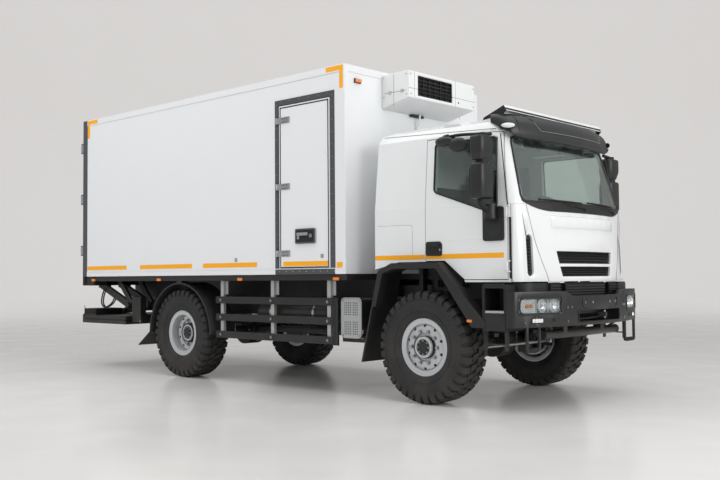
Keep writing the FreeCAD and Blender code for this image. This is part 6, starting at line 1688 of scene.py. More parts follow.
    def _deflector(self) -> None:
        """Black cheeks of the roof deflector, and a black strip of painted shade across its front, under its
        white plate.
        """
        piece = Piece("deflector_trim", "cab")
        side_view = [(0.63, 2.912), (0.88, 2.95), (0.913, 2.984), (0.884, 3.036), (0.64, 2.938)]
        outline = [(FRONT_AXLE + x, z) for x, z in side_view]
        for side, _ in SIDES:
            low, high = mirrored(side, 0.982, 0.9885)
            piece.prism(outline, Axis.Y, low, high, MATT)
        # Black strip across the deflector's front under the white plate: painted shade.
        piece.prism([(FRONT_AXLE + 0.904, 2.984), (FRONT_AXLE + 0.912, 2.984), (FRONT_AXLE + 0.9005, 3.012),
                     (FRONT_AXLE + 0.893, 3.012)], Axis.Y, -0.984, 0.984, MATT)
        piece.build("black_plastic")

    def _flank(self, side: int, word: str) -> None:
        """Roof seam, hatch outline, stripe and corner channel on the fixed part of one side; the channel's
        grey strip is painted shade.

        Args:
            side: which side.
            word: its name.
        """
        s, skin, axle = self.sizes, SKIN.flank(side), FRONT_AXLE
        piece = Piece(f"cab_side_trim_{word}", "cab")
        roof = [skin(axle + x, between(2.863, 2.797, (x + 0.66) / 1.5), -0.0005)
                for x in grid_line(-0.66, 0.84, 16)]
        piece.tube(roof, 0.0035, CASTING, sides=6)
        hatch = smooth_path([skin(axle + x, z, -0.0006) for x, z in self.HATCH], 6)
        piece.tube(hatch, 0.0016, CASTING, sides=6)
        # Corner channel: the grey strip is painted shade in the recessed channel, and the black strip beside
        # it is the slit at its front.
        piece.patch(skin, (axle + 1.006, axle + 1.016), grid_line(1.315, 1.92, 4), 0.0012, POST_GREY,
                    sunk=0.004)
        piece.patch(skin, (axle + 1.016, axle + 1.038), grid_line(1.3, 1.9, 4), 0.0022, MATT, sunk=0.004)
        pillar = [skin(axle + between(1.003, 0.896, (z - 2.0) / 0.74), z, 0.001)
                  for z in grid_line(2.02, 2.74, 10)]
        piece.tube(pillar, 0.006, SEAL, sides=6)
        piece.build("dark_trim")
        stripe = Piece(f"cab_stripe_{word}", "cab")
        stripe.patch(skin, (axle - 0.733, axle - 0.036), (s.stripe_low, s.stripe_high), 0.0012, AMBER,
                     sunk=0.002)
        stripe.build("lamp_amber")

    def _door(self, side: int, word: str) -> None:
        """Window rubber, stripe, handle and crease of one door.

        Args:
            side: which side.
            word: its name.
        """
        s, skin, axle = self.sizes, SKIN.flank(side), FRONT_AXLE
        body = f"cab_door_{word}_body"
        rubber = Piece(f"window_rubber_{word}", body)
        loop = rounded_loop([(axle + x, z) for x, z in self.WINDOW], 0.045, 6)
        rubber.tube([skin(x, z, 0.001) for x, z in loop], 0.0125, SEAL, sides=8, closed=True, flat=0.7)
        rubber.build("dark_trim")
        stripe = Piece(f"door_stripe_{word}", body)
        stripe.patch(skin, (axle - 0.02, axle + 0.949), (s.stripe_low, s.stripe_high), 0.0012, AMBER,
                     sunk=0.002)
        stripe.build("lamp_amber")
        trim = Piece(f"door_trim_{word}", body)
        flat = mirrored(side, 1.118, 1.128)
        corners = [(axle - 0.02, s.handle_low + 0.006), (axle + 0.19, s.handle_low),
                   (axle + 0.194, s.handle_high - 0.03), (axle + 0.17, s.handle_high),
                   (axle - 0.016, s.handle_high)]
        trim.prism(rounded_loop(corners, 0.026), Axis.Y, flat[0], flat[1], MOULDING)
        inner = mirrored(side, 1.12, 1.1292)
        trim.prism(rounded_loop(rectangle((axle + 0.02, axle + 0.15), (1.566, 1.655)), 0.02), Axis.Y,
                   inner[0], inner[1], MATT)
        trim.box((axle + 0.022, axle + 0.158), mirrored(side, 1.126, 1.137), (1.632, 1.664), MOULDING)
        trim.bar((axle + 0.168, side * 1.12, 1.6), (axle + 0.168, side * 1.131, 1.6), 0.01, STAINLESS)
        crease = [skin(axle + x, 1.702 - 0.012 * x, 0.0) for x in grid_line(0.02, 0.92, 10)]
        trim.tube(crease, 0.0028, CAB_PAINT, sides=6)
        trim.build("black_plastic", bevel=0.002)

    def _mirrors(self, side: int, word: str) -> None:
        """The two main mirrors of one door, on a neck, a hinge and a plate.

        Args:
            side: which side.
            word: its name.
        """
        piece = Piece(f"mirrors_dressed_{word}", f"cab_door_{word}_body")
        x0, y0 = FRONT_AXLE + 0.8, side * 1.312
        lower = ((2.078, 0.2), (2.08, 0.8), (2.088, 0.93), (2.106, 1.0), (2.402, 1.0), (2.418, 0.95),
                 (2.426, 0.84), (2.428, 0.2))
        upper = ((2.458, 0.2), (2.46, 0.74), (2.48, 0.82), (2.53, 0.96), (2.556, 1.0), (2.668, 1.0),
                 (2.686, 0.95), (2.694, 0.84), (2.696, 0.2))
        for rows in (lower, upper):
            rings = []
            for z, share in rows:
                ring = []
                for turn in angles(40):
                    c, n = math.cos(turn), math.sin(turn)
                    deep = 0.118 if c > 0 else 0.042
                    ring.append(Vector((x0 - 0.002 + deep * share * math.copysign(abs(c) ** 0.62, c),
                                        y0 + side * 0.012 * c + 0.116 * (0.2 + 0.8 * share)
                                        * math.copysign(abs(n) ** 0.42, n), z)))
                rings.append(ring)
            piece.sweep(rings, MIRROR_SHELL)
        middle = x0 + 0.04
        piece.bar((middle, y0, 2.42), (middle, y0, 2.465), 0.062, MATT, sides=28)
        piece.bar((middle, y0, 2.69), (middle, y0, 2.722), 0.052, MATT, sides=28)
        piece.bar((middle, y0, 2.715), (middle, side * 1.16, 2.728), 0.018, MATT, sides=12)
        piece.tube([(x0 + 0.02, y0, 2.09), (x0 + 0.02, y0, 2.045), (x0 + 0.02, side * 1.28, 2.005),
                    (x0 + 0.02, side * 1.225, 1.985), (x0 + 0.02, side * 1.17, 1.975)], 0.034, MATT, sides=16,
                   smooth=True)
        piece.bar((x0 + 0.03, side * 1.17, 1.895), (x0 + 0.03, side * 1.17, 2.03), 0.062, MIRROR_SHELL,
                  sides=32)
        piece.bar((x0 + 0.03, side * 1.17, 1.882), (x0 + 0.03, side * 1.17, 1.896), 0.066, MATT, sides=32)
        plate = mirrored(side, 1.119, 1.142)
        spread = FRONT_AXLE + 0.716, FRONT_AXLE + 0.958
        piece.prism(rounded_loop(rectangle((spread[0], spread[1]), (1.672, 2.01)), 0.03), Axis.Y, plate[0],
                    plate[1], MOULDING)
        piece.turned([(-0.004, 0.082), (0.003, 0.078), (0.006, 0.05), (0.0065, 0.0001)]
                     if side > 0 else [(0.004, 0.082), (-0.003, 0.078), (-0.006, 0.05), (-0.0065, 0.0001)],
                     (FRONT_AXLE + 0.855, side * 1.1415, 1.785), MIRROR_SHELL, Axis.Y, steps=40)
        glass = x0 - 0.0435
        for low, high in ((2.115, 2.385), (2.53, 2.665)):
            piece.prism(rounded_loop(rectangle((y0 - 0.096, y0 + 0.096), (low, high)), 0.02), Axis.X,
                        glass - 0.0025, glass + 0.004, MATT)
            piece.prism(rounded_loop(rectangle((y0 - 0.089, y0 + 0.089), (low + 0.007, high - 0.007)), 0.018),
                        Axis.X, glass - 0.0035, glass, MIRROR)
        piece.build("black_plastic", replaces=(f"door_mirrors_{word}",), angle=38)

    def _kerb_mirror(self) -> None:
        """The two lobes over the right window on their arm."""
        piece = Piece("kerb_mirror_dressed", "cab_door_right_body")
        axle = FRONT_AXLE
        for x, z, width, height, lean in ((0.318, 2.702, 0.108, 0.052, -0.03),
                                          (0.492, 2.652, 0.112, 0.072, 0.03)):
            centre = (axle + x, -1.232, z)
            for way in (-1, 1):
                self.dome(piece, centre, (lean, way, 0.12 * way), width, height, 0.036, MIRROR_SHELL)
        piece.tube([(axle + 0.345, -1.19, 2.752), (axle + 0.48, -1.18, 2.758), (axle + 0.64, -1.175, 2.748),
                    (axle + 0.84, -1.18, 2.726)], 0.016, MATT, sides=12, smooth=True)
        piece.bar((axle + 0.318, -1.225, 2.742), (axle + 0.368, -1.225, 2.748), 0.026, MATT, sides=20)
        piece.tube([(axle + 0.345, -1.222, 2.735), (axle + 0.33, -1.16, 2.752), (axle + 0.3, -1.075, 2.742)],
                   0.014, MATT, sides=10, smooth=True)
        piece.box((axle + 0.262, axle + 0.34), (-1.078, -1.066), (2.722, 2.76), MATT)
        piece.build("black_plastic", angle=50)


class Interior(Part):
    """Seats, dashboard, pedals and lining that show through the glass."""

    SWELL = 0.006
    PRESSURE = 4.0
    QUALITY = 5
    FRAMES = 20

    def __init__(self, scatter: Scatter) -> None:
        """Start without cushions.

        Args:
            scatter: maker of repeats.
        """
        super().__init__(scatter)
        self.cushions: list[Thing] = []

    def build(self) -> None:
        """Make its pieces."""
        for side, word in SIDES:
            self._seat(side, word)
        self._fill()
        self._dash()
        self._lining()

    def _cushion(self, name: str, centre: Point, size: Point, lean: float, pinch: float) -> None:
        """One cushion, before it is filled.

        Args:
            name: its name.
            centre: its middle.
            size: its sides.
            lean: how far its top leans back.
            pinch: how far its edges draw in.
        """
        solid = bmesh.new()
        steps = (6, 14, 14)
        place: dict[tuple[int, int, int], bmesh.types.BMVert] = {}
        for key in itertools.product(*(range(count + 1) for count in steps)):
            if all(0 < index < count for index, count in zip(key, steps)):
                continue
            u, v, w = (2 * index / count - 1 for index, count in zip(key, steps))
            full = (1 - abs(v) ** 5 * pinch) * (1 - abs(w) ** 5 * pinch)
            edge = 1 - abs(u) ** 4 * pinch / 2
            place[key] = solid.verts.new((centre[0] + size[0] / 2 * u * full - lean * w,
                                          centre[1] + size[1] / 2 * v * edge,
                                          centre[2] + size[2] / 2 * w * edge))
        for axis in range(3):
            first, second = (other for other in range(3) if other != axis)
            for end, a, b in itertools.product((0, steps[axis]), range(steps[first]), range(steps[second])):
                corners = []
                for da, db in ((0, 0), (1, 0), (1, 1), (0, 1)):
                    key = [end, end, end]
                    key[first], key[second] = a + da, b + db
                    corners.append(place[tuple(key)])
                solid.faces.new(corners)
        bmesh.ops.recalc_face_normals(solid, faces=solid.faces)
        mesh = bpy.data.meshes.new(name)
        solid.to_mesh(mesh)
        solid.free()
        mesh.materials.append(SEAT_CLOTH.material())
        mesh.shade_smooth()
        thing = add_object(name, mesh)
        self.cushions.append(thing)

    def _fill(self) -> None:
        """Blow the cushions up as cloth in one run, and keep them as plain meshes with one subdivision."""
        scene = bpy.context.scene
        for thing in self.cushions:
            cloth = thing.modifiers.new("cloth", "CLOTH")
            cloth.settings.quality = self.QUALITY
            cloth.settings.use_pressure = True
            cloth.settings.uniform_pressure_force = self.PRESSURE
            cloth.settings.effector_weights.gravity = 0.0
            cloth.point_cache.frame_start, cloth.point_cache.frame_end = 1, self.FRAMES
        for frame in range(1, self.FRAMES + 1):
            scene.frame_set(frame)
        graph = bpy.context.evaluated_depsgraph_get()
        for thing in self.cushions:
            blown = bpy.data.meshes.new_from_object(thing.evaluated_get(graph))
            for vertex, full in zip(thing.data.vertices, blown.vertices):
                move = full.co - vertex.co
                vertex.co += move * min(1.0, self.SWELL / max(move.length, 1e-9))
            thing.modifiers.remove(thing.modifiers["cloth"])
            bpy.data.meshes.remove(blown)
        scene.frame_set(1)
        for thing in self.cushions:
            level = thing.modifiers.new("soft", "SUBSURF")
            level.levels = level.render_levels = 1
            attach(thing, "cab")

    def _seat(self, side: int, word: str) -> None:
        """Cushion, back, bolsters, headrest and belt of one seat.

        Args:
            side: which side.
            word: its name.
        """
        y = side * 0.6
        rear = FRONT_AXLE - 0.735 + 0.05 + 0.07
        self._cushion(f"seat_cushion_{word}", (rear + 0.355, y, 1.905), (0.5, 0.48, 0.128), 0.0, 0.16)
        self._cushion(f"seat_back_{word}", (rear + 0.07, y, 2.2), (0.118, 0.46, 0.52), 0.012, 0.16)
        self._cushion(f"seat_head_{word}", (rear + 0.05, y, 2.51), (0.09, 0.26, 0.11), 0.0, 0.2)
        frame = Piece(f"seat_frame_{word}", "cab")
        for offset in (-0.055, 0.055):
            frame.bar((rear + 0.055, y + offset, 2.42), (rear + 0.05, y + offset, 2.5), 0.007, STAINLESS,
                      sides=12)
        frame.box((rear + 0.12, rear + 0.58), (y - 0.21, y + 0.21), (1.838, 1.862), MATT)
        frame.box((rear + 0.26, rear + 0.3), (y - side * 0.25 - 0.012, y - side * 0.25 + 0.012), (1.9, 1.985),
                  SEAT_CLOTH)
        belt = [(rear - 0.03, y + side * 0.24, 2.6), (rear + 0.01, y + side * 0.225, 2.46),
                (rear + 0.014, y + side * 0.235, 2.05), (rear + 0.05, y + side * 0.252, 1.84)]
        frame.tube(belt, 0.02, MATT, sides=8, smooth=True, flat=0.12)
        frame.build("seat_cloth", replaces=("seats",) if side == RIGHT else ())

    @staticmethod
    def _dash() -> None:
        """Instruments, vents, shelf and wheel boss."""
        axle = FRONT_AXLE
        piece = Piece("dash_details", "cab")
        rear = axle + 0.74
        for y in (-0.86, -0.3, 0.28, 0.88):
            piece.box((rear + 0.034, rear + 0.06), (y - 0.07, y + 0.07), (1.872, 1.93), MATT)
            for i in range(4):
                z = 1.88 + i * 0.013
                piece.box((rear + 0.022, rear + 0.04), (y - 0.062, y + 0.062), (z, z + 0.004), LINING)
        piece.box((rear - 0.004, rear + 0.06), (-0.16, 0.16), (1.76, 1.86), MATT)
        for i in range(3):
            piece.bar((rear - 0.004, -0.09 + i * 0.09, 1.79), (rear - 0.022, -0.09 + i * 0.09, 1.79), 0.018,
                      GREY_PAD, sides=20)
        hood = [(rear + 0.02, 1.945), (rear + 0.1, 2.035), (rear + 0.24, 2.048), (rear + 0.3, 2.02),
                (rear + 0.3, 1.98), (rear + 0.06, 1.93)]
        piece.prism(hood, Axis.Y, 0.39, 0.81, LINING)
        piece.box((rear + 0.018, rear + 0.026), (0.42, 0.78), (1.88, 1.945), MATT)
        for y in (0.52, 0.68):
            piece.turned(rectangle((-0.006, 0.004), (0.052, 0.047)), (rear + 0.016, y, 1.905), SILVER, Axis.X,
                         steps=32, closed=True)
        tilt = math.radians(35)
        centre = Vector((axle + 0.545, 0.6, 2.11))
        out = Vector((-math.sin(tilt), 0, math.cos(tilt)))
        piece.bar(centre - out * 0.05, centre + out * 0.012, 0.062, LINING, sides=28, tip=0.05)
        for way in (-1, 1):
            piece.bar(centre, centre + Vector((0, way * 0.218, 0)), 0.014, LINING, sides=12, tip=0.012)
        low = Vector((math.cos(tilt), 0, math.sin(tilt)))
        piece.bar(centre, centre - low * 0.216, 0.014, LINING, sides=12, tip=0.012)
        for way in (-1, 1):
            piece.bar((axle + 0.62, 0.6 + way * 0.05, 2.03), (axle + 0.58, 0.6 + way * 0.19, 2.055), 0.008,
                      MATT, sides=10)
        piece.build("cab_lining", bevel=0.004)
        pedals = Piece("pedals", "cab")
        for y, width in ((0.45, 0.07), (0.59, 0.07), (0.72, 0.05)):
            pedals.prism([(axle + 0.862, 1.442), (axle + 0.874, 1.448), (axle + 0.842, 1.528),
                          (axle + 0.83, 1.522)], Axis.Y, y - width / 2, y + width / 2, MATT)
            pedals.bar((axle + 0.866, y, 1.485), (axle + 0.93, y, 1.66), 0.008, MATT, sides=10)
        pedals.bar((axle + 0.34, 0.22, 1.72), (axle + 0.33, 0.22, 1.98), 0.01, MATT, sides=12)
        pedals.bar((axle + 0.33, 0.22, 1.98), (axle + 0.33, 0.22, 2.03), 0.026, LINING, sides=20, tip=0.02)
        pedals.build("cab_lining", bevel=0.001)

    @staticmethod
    def _lining() -> None:
        """Headliner, door cards, bunk shelf and the inner sun blinds."""
        axle = FRONT_AXLE
        piece = Piece("cab_inner_trim", "cab")
        piece.box((axle - 0.45, axle + 0.72), (-0.82, 0.82), (2.868, 2.878), HEADLINER)
        piece.box((axle + 0.58, axle + 0.8), (-0.84, 0.84), (2.765, 2.79), LINING)
        for y in (-0.46, 0.46):
            piece.prism([(axle + 0.82, 2.655), (axle + 0.835, 2.655), (axle + 0.8, 2.77),
                         (axle + 0.785, 2.77)], Axis.Y, y - 0.26, y + 0.26, LINING)
        piece.box((axle - 0.682, axle - 0.676), (-0.98, 0.98), (1.56, 2.7), LINING)
        piece.pair((axle - 0.64, axle - 0.06), (0.985, 0.992), (1.6, 2.66), LINING)
        piece.build("cab_lining", bevel=0.003)
        for side, word in SIDES:
            card = Piece(f"door_card_{word}", f"cab_door_{word}_body")
            y = mirrored(side, 1.058, 1.0685)
            card.box((axle + 0.03, axle + 0.9), y, (1.56, 1.96), LINING)
            card.box((axle + 0.2, axle + 0.62), mirrored(side, 1.02, 1.06), (1.8, 1.84), LINING)
            card.bar((axle + 0.66, side * 1.06, 1.88), (axle + 0.66, side * 1.04, 1.88), 0.02, MATT, sides=16)
            card.build("cab_lining", bevel=0.004)


class Bumper(Part):
    """Lamp pockets' lips, recess, fog lamps, slot, radiator ribs, foot loops and bolts of the bumper."""

    CORNER = ((3.9, 0.712), (3.89, 0.86), (3.868, 0.975), (3.828, 1.042), (3.765, 1.075), (3.64, 1.085))

    def build(self) -> None:
        """Make its pieces."""
        self._face()
        self._radiator()
        self._below()

    @staticmethod
    def _loop(corners: Outline, radius: float, proud: float) -> list[Point]:
        """A rounded loop laid on the bumper's face.

        Args:
            corners: its corners across and up.
            radius: their radius.
            proud: height over the face.

        Returns:
            Its points.
        """
        run = [bumper_face(y, z, proud) for y, z in walk(rounded_loop(corners, radius, 6), 0.06)]
        return [(min(x, TRUCK_FRONT - 0.0075), y, z) for x, y, z in run]

    def _face(self) -> None:
        """What shows on the bumper's face."""
        piece = Piece("bumper_face_trim", "chassis")
        for side, _ in SIDES:
            inner, outer = side * 0.7, side * 1.205
            piece.tube(self._loop(rectangle((inner, outer), (0.956, 1.106)), 0.055, 0.001), 0.008,
                       BUMPER_BLACK, sides=8, closed=True, flat=0.8)
            low, high = mirrored(side, 0.93, 1.07)
            fog = rectangle((low, high), (0.866, 0.914))
            piece.tube(self._loop(fog, 0.014, 0.001), 0.006, BUMPER_BLACK, sides=8, closed=True)
            piece.patch(bumper_face, grid_line(side * 0.937, side * 1.063, 4), (0.872, 0.908), 0.002,
                        WHITE_LENS, sunk=0.006)
            piece.bar(bumper_face(side * 0.785, 0.893, -0.004), bumper_face(side * 0.785, 0.893, 0.004),
                      0.018, MATT, sides=20)
        rim = rectangle((-0.365, 0.365), (0.998, 1.104))
        piece.tube(self._loop(rim, 0.05, 0.001), 0.006, BUMPER_BLACK, sides=8, closed=True)
        slot = rectangle((-0.436, 0.436), (0.854, 0.981))
        piece.tube(self._loop(slot, 0.045, 0.001), 0.006, BUMPER_BLACK, sides=8, closed=True)
        piece.build("bumper_black", angle=45)
        bolts = [(bumper_face(y, 1.052, -0.0025), (1, -y / BUMPER_CROWN, 0)) for y in (-0.18, 0.18)]
        self.scatter.heads("plate_screws", "chassis", bolts, 0.011, SILVER, "bumper_black", height=0.006,
                           corners=16)
        spots = ((-0.32, 1.052), (0.32, 1.052), (-0.6, 1.01), (0.6, 1.01), (-0.54, 1.01), (0.54, 1.01),
                 (-0.6, 0.872), (0.6, 0.872), (-1.15, 0.872), (1.15, 0.872))
        bolts = [(bumper_face(y, z, 0.001), (1, -y / BUMPER_CROWN, 0)) for y, z in spots]
        self.scatter.heads("bumper_bolts", "chassis", bolts, 0.009, ZINC, "bumper_black", corners=6)

    def _radiator(self) -> None:
        """The ribbed dark gap between the bumper and the cab, and its fillers."""
        piece = Piece("radiator_ribs", "chassis")
        front = FRONT_AXLE + 1.225
        spans = ((-0.7, -0.512), (-0.416, 0.416), (0.512, 0.7))
        for span in spans:
            piece.box((front - 0.03, front - 0.02), span, (0.98, 1.25), MATT)
            for i in range(9):
                z = 0.995 + i * 0.0275
                piece.box((front - 0.022, front), span, (z, z + 0.012), CHASSIS)
        for y in (-0.705, 0.705):
            piece.box((front - 0.035, front + 0.004), (y - 0.012, y + 0.012), (0.97, 1.25), MATT)
        piece.build("chassis_black")
        filler = Piece("bumper_corners", "chassis")
        for side, _ in SIDES:
            outer = smooth_path([(x, side * y, 0) for x, y in self.CORNER], 6)
            inner = [(p.x - 0.012, p.y - side * 0.01) for p in reversed(outer)]
            outline = [(p.x, p.y) for p in outer] + inner
            filler.prism(outline if side > 0 else outline[::-1], Axis.Z, 1.12, 1.252, BUMPER_BLACK)
        for span in spans:
            filler.box((3.896, 3.904), span, (1.18, 1.2565), MATT)
        filler.pair((3.7, 3.9), (0.409, 0.416), (1.1, 1.25), MATT)
        filler.build("bumper_black", angle=50)

    def _below(self) -> None:
        """Foot loops' sleeves, tube ends, stays and tow jaws under the bumper."""
        piece = Piece("bumper_below", "chassis")
        for side, _ in SIDES:
            x = FRONT_AXLE + 1.199
            low, high = mirrored(side, 0.93, 1.09)
            piece.bar((x, low, 0.606), (x, high, 0.606), 0.0185, MATT, sides=20)
            for i in range(12):
                y = between(low, high, (i + 0.5) / 12)
                piece.bar((x, y - 0.0035, 0.606), (x, y + 0.0035, 0.606), 0.0225, RUBBER, sides=20)
            piece.tube([(3.845, side * 0.62, 0.77), (3.9, side * 0.7, 0.83), (3.93, side * 0.78, 0.9)], 0.014,
                       CHASSIS, sides=10)
            piece.tube([(3.8, side * 0.45, 0.8), (3.55, side * 0.44, 0.92)], 0.018, CHASSIS, sides=10)
            piece.bar((3.845, side * 0.752, 0.735), (3.845, side * 0.766, 0.735), 0.047, MATT, sides=28)
            piece.box((3.9, 3.985), (side * 0.3 - 0.02, side * 0.3 + 0.02), (0.885, 0.935), CASTING)
            piece.bar((3.965, side * 0.3, 0.87), (3.965, side * 0.3, 0.955), 0.014, STAINLESS, sides=16)
        piece.box((3.88, 3.915), (-0.42, 0.42), (0.93, 0.968), CHASSIS)
        piece.tube([(3.9, -0.4, 0.905), (3.93, -0.15, 0.88), (3.93, 0.15, 0.885), (3.9, 0.4, 0.91)], 0.009,
                   MATT, sides=8, smooth=True)
        piece.build("chassis_black")


class Chassis(Part):
    """Bolts, straps, springs, hoses, shield, guards, steps and drive line details."""

    def build(self) -> None:
        """Make its pieces."""
        self._rails()
        self._springs()
        self._tanks()
        self._shield()
        self._guards()
        self._steps()
        self._drive()
        self._hoses()

    def _rails(self) -> None:
        """Rows of bolts and a wiring run on the rails."""
        bolts = []
        for side, _ in SIDES:
            for i in range(34):
                x = -3.6 + i * 0.222
                for z in (0.862, 1.048):
                    if i % 3 != 1:
                        bolts.append(((x, side * 0.4255, z), (0, side, 0)))
        self.scatter.heads("rail_bolts", "chassis", bolts, 0.012, CHASSIS, "chassis_black", corners=6)
        piece = Piece("rail_runs", "chassis")
        for side, _ in SIDES:
            for z, radius in ((1.025, 0.011), (0.995, 0.008), (0.972, 0.008)):
                run = [(x, side * 0.338, z + 0.006 * math.sin(x * 5.0)) for x in grid_line(-3.2, 1.9, 44)]
                piece.tube(run, radius, MATT, sides=6)
            for i in range(17):
                x = -3.1 + i * 0.31
                piece.box((x - 0.008, x + 0.008), mirrored(side, 0.322, 0.352), (0.955, 1.042), MOULDING)
        piece.build("chassis_black")

    def _springs(self) -> None:
        """Clips, bolts, eyes and dampers of the leaf springs."""
        piece = Piece("spring_fittings", "chassis")
        for centre, damper in ((FRONT_AXLE, 0.235), (REAR_AXLE, -0.245)):
            for side, _ in SIDES:
                y = side * 0.39
                for offset in (-0.072, 0.072):
                    for edge in (-0.047, 0.047):
                        piece.bar((centre + offset, y + edge, 0.545), (centre + offset, y + edge, 0.775),
                                  0.0085, ZINC, sides=12)
                        piece.bar((centre + offset, y + edge, 0.548), (centre + offset, y + edge, 0.56),
                                  0.015, ZINC, sides=6)
                piece.box((centre - 0.1, centre + 0.1), (y - 0.06, y + 0.06), (0.768, 0.79), CHASSIS)
                for offset in (-0.34, 0.34):
                    piece.box((centre + offset - 0.016, centre + offset + 0.016), (y - 0.045, y + 0.045),
                              (0.668, 0.735), CHASSIS)
                for end in (-0.7, 0.7):
                    piece.bar((centre + end, y - 0.048, 0.795), (centre + end, y + 0.048, 0.795), 0.03,
                              CHASSIS, sides=20)
                top = (centre + damper * 1.5, side * 0.452, 0.985)
                foot = (centre + damper, side * 0.455, 0.6)
                middle = tuple(between(a, b, 0.52) for a, b in zip(foot, top))
                piece.bar(foot, middle, 0.034, MATT, sides=20)
                piece.bar(middle, top, 0.041, CHASSIS, sides=20)
                piece.bar((top[0], side * 0.425, top[2]), (top[0], side * 0.485, top[2]), 0.022, ZINC,
                          sides=12)
        piece.build("chassis_black")

    def _tanks(self) -> None:
        """Straps, cap and step of the fuel tank, battery lid, and fittings of the air tanks."""
        piece = Piece("tank_fittings", "chassis")
        for x in (0.345, 1.005):
            piece.box((x - 0.03, x + 0.03), (1.126, 1.1335), (0.6, 0.96), STAINLESS)
            piece.box((x - 0.03, x + 0.03), (0.48, 1.06), (1.036, 1.0435), STAINLESS)
            piece.box((x - 0.03, x + 0.03), (0.48, 1.06), (0.5165, 0.524), STAINLESS)
            piece.box((x - 0.014, x + 0.014), (1.13, 1.142), (0.76, 0.83), ZINC)
        piece.bar((0.205, 0.985, 1.036), (0.205, 0.985, 1.066), 0.06, MATT, sides=32, tip=0.054)
        piece.bar((0.205, 0.985, 1.062), (0.205, 0.985, 1.078), 0.03, MOULDING, sides=6)
        piece.build("silver_sheet", bevel=0.0015)
        box = Piece("battery_fittings", "chassis")
        for i in range(6):
            z = 0.61 + i * 0.055
            box.box((-0.56, -0.04), (1.126, 1.1345), (z, z + 0.02), MOULDING)
        for x in (-0.5, -0.1):
            box.box((x - 0.018, x + 0.018), (1.124, 1.142), (0.955, 1.01), STAINLESS)
        box.box((-0.6, 0.0), (0.43, 1.136), (1.012, 1.026), MOULDING)
        box.build("black_plastic", bevel=0.002)
        air = Piece("air_tank_fittings", "chassis")
        for y in (-0.72, -0.99):
            for x in (0.225, 0.965):
                air.turned(rectangle((-0.016, 0.016), (0.1262, 0.129)), (x, y, 0.9), STAINLESS, Axis.X,
                           steps=48, closed=True)
            for x in (0.06, 1.13):
                air.bar((x, y, 0.78), (x, y, 0.757), 0.012, CASTING, sides=12)
            for x in (-0.003, 1.193):
                air.bar((x - 0.006, y, 0.9), (x + 0.006, y, 0.9), 0.03, CHASSIS, sides=6)
            for x in (0.024, 1.166):
                air.turned(rectangle((-0.002, 0.002), (0.1245, 0.1268)), (x, y, 0.9), CHASSIS, Axis.X,
                           steps=48, closed=True)
        air.tube([(0.3, -0.99, 0.775), (0.3, -1.0, 0.74), (0.55, -1.0, 0.735), (0.9, -0.99, 0.745),
                  (0.93, -0.9, 0.79)], 0.008, MATT, sides=8, smooth=True)
        air.build("chassis_black")

    def _shield(self) -> None:
        """Perforations drawn as dark slats of painted shade, rim and bolts of the silencer's shield."""
        x0, x1, z0, z1 = 1.495, 1.81, 0.64, 1.095
        # Dark slats stand for the perforations: painted shade where the openings are.
        hole_shades = []
        for i, j in itertools.product(range(7), range(6)):
            x = x0 + 0.062 + i * 0.0285 + (0.014 if i > 3 else 0.0)
            for base in (0.69, 0.905):
                hole_shades.append(((x, -1.1868, base + j * 0.026), (0, 0, 1), (0.013, 0.0016, 0.014)))
        self.scatter.slats("shield_slot_shades", "chassis", hole_shades, MATT, "silver_sheet")
        piece = Piece("shield_rim", "chassis")
        loop = rounded_loop(rectangle((x0 + 0.012, x1 - 0.012), (z0 + 0.012, z1 - 0.012)), 0.03)
        piece.tube([(x, -1.1862, z) for x, z in loop], 0.007, SILVER, sides=8, closed=True)
        piece.build("silver_sheet")
        bolts = [((x, -1.188, z), (0, -1, 0)) for x in (x0 + 0.028, x1 - 0.028)
                 for z in (z0 + 0.03, z1 - 0.03)]
        self.scatter.heads("shield_bolts", "chassis", bolts, 0.009, ZINC, "silver_sheet", corners=6)
        pipe = Piece("exhaust_pipes", "chassis")
        pipe.tube([(1.62, -0.6, 0.7), (1.52, -0.6, 0.62), (1.42, -0.62, 0.6), (1.3, -0.62, 0.62),
                   (1.2, -0.56, 0.66)], 0.042, CASTING, sides=20, smooth=True)
        for x in (1.575, 1.73):
            pipe.box((x - 0.02, x + 0.02), (-1.1, -0.47), (0.634, 0.642), STAINLESS)
        pipe.build("cast_grey")

    def _guards(self) -> None:
        """End caps, bolts and creases of the side guards' rails."""
        piece = Piece("guard_details", "chassis")
        bolts = []
        piece.pair((1.385, 1.468), (1.188, 1.2145), (0.552, 1.092), GUARD)
        for side, _ in SIDES:
            for low, high in ((0.56, 0.648), (0.78, 0.868), (1.0, 1.088)):
                middle = (low + high) / 2
                for x in (-0.711, 1.396):
                    piece.box((x - 0.006, x + 0.006), mirrored(side, 1.186, 1.216),
                              (low - 0.001, high + 0.001), MATT)
                for z in (middle - 0.018, middle + 0.018):
                    piece.tube([(-0.7, side * 1.2152, z), (1.385, side * 1.2152, z)], 0.0022, GUARD, sides=6)
                bolts += [((x, side * 1.2152, middle), (0, side, 0)) for x in (-0.621, 0.3425, 1.3055)]
            for x in (1.405, 1.432):
                piece.box((x, x + 0.004), mirrored(side, 1.19, 1.2165), (0.556, 1.088), MATT)
            for low, high in ((-0.648, -0.594), (0.315, 0.37), (1.278, 1.333)):
                piece.box((low - 0.001, high + 0.001), mirrored(side, 1.146, 1.1876), (0.575, 1.288),
                          POST_GREY)
                piece.box((high, high + 0.055), mirrored(side, 1.15, 1.158), (1.115, 1.285), POST_GREY)
        piece.build("guard_grey", bevel=0.002)
        self.scatter.heads("guard_bolts", "chassis", bolts, 0.012, ZINC, "guard_grey", corners=16)

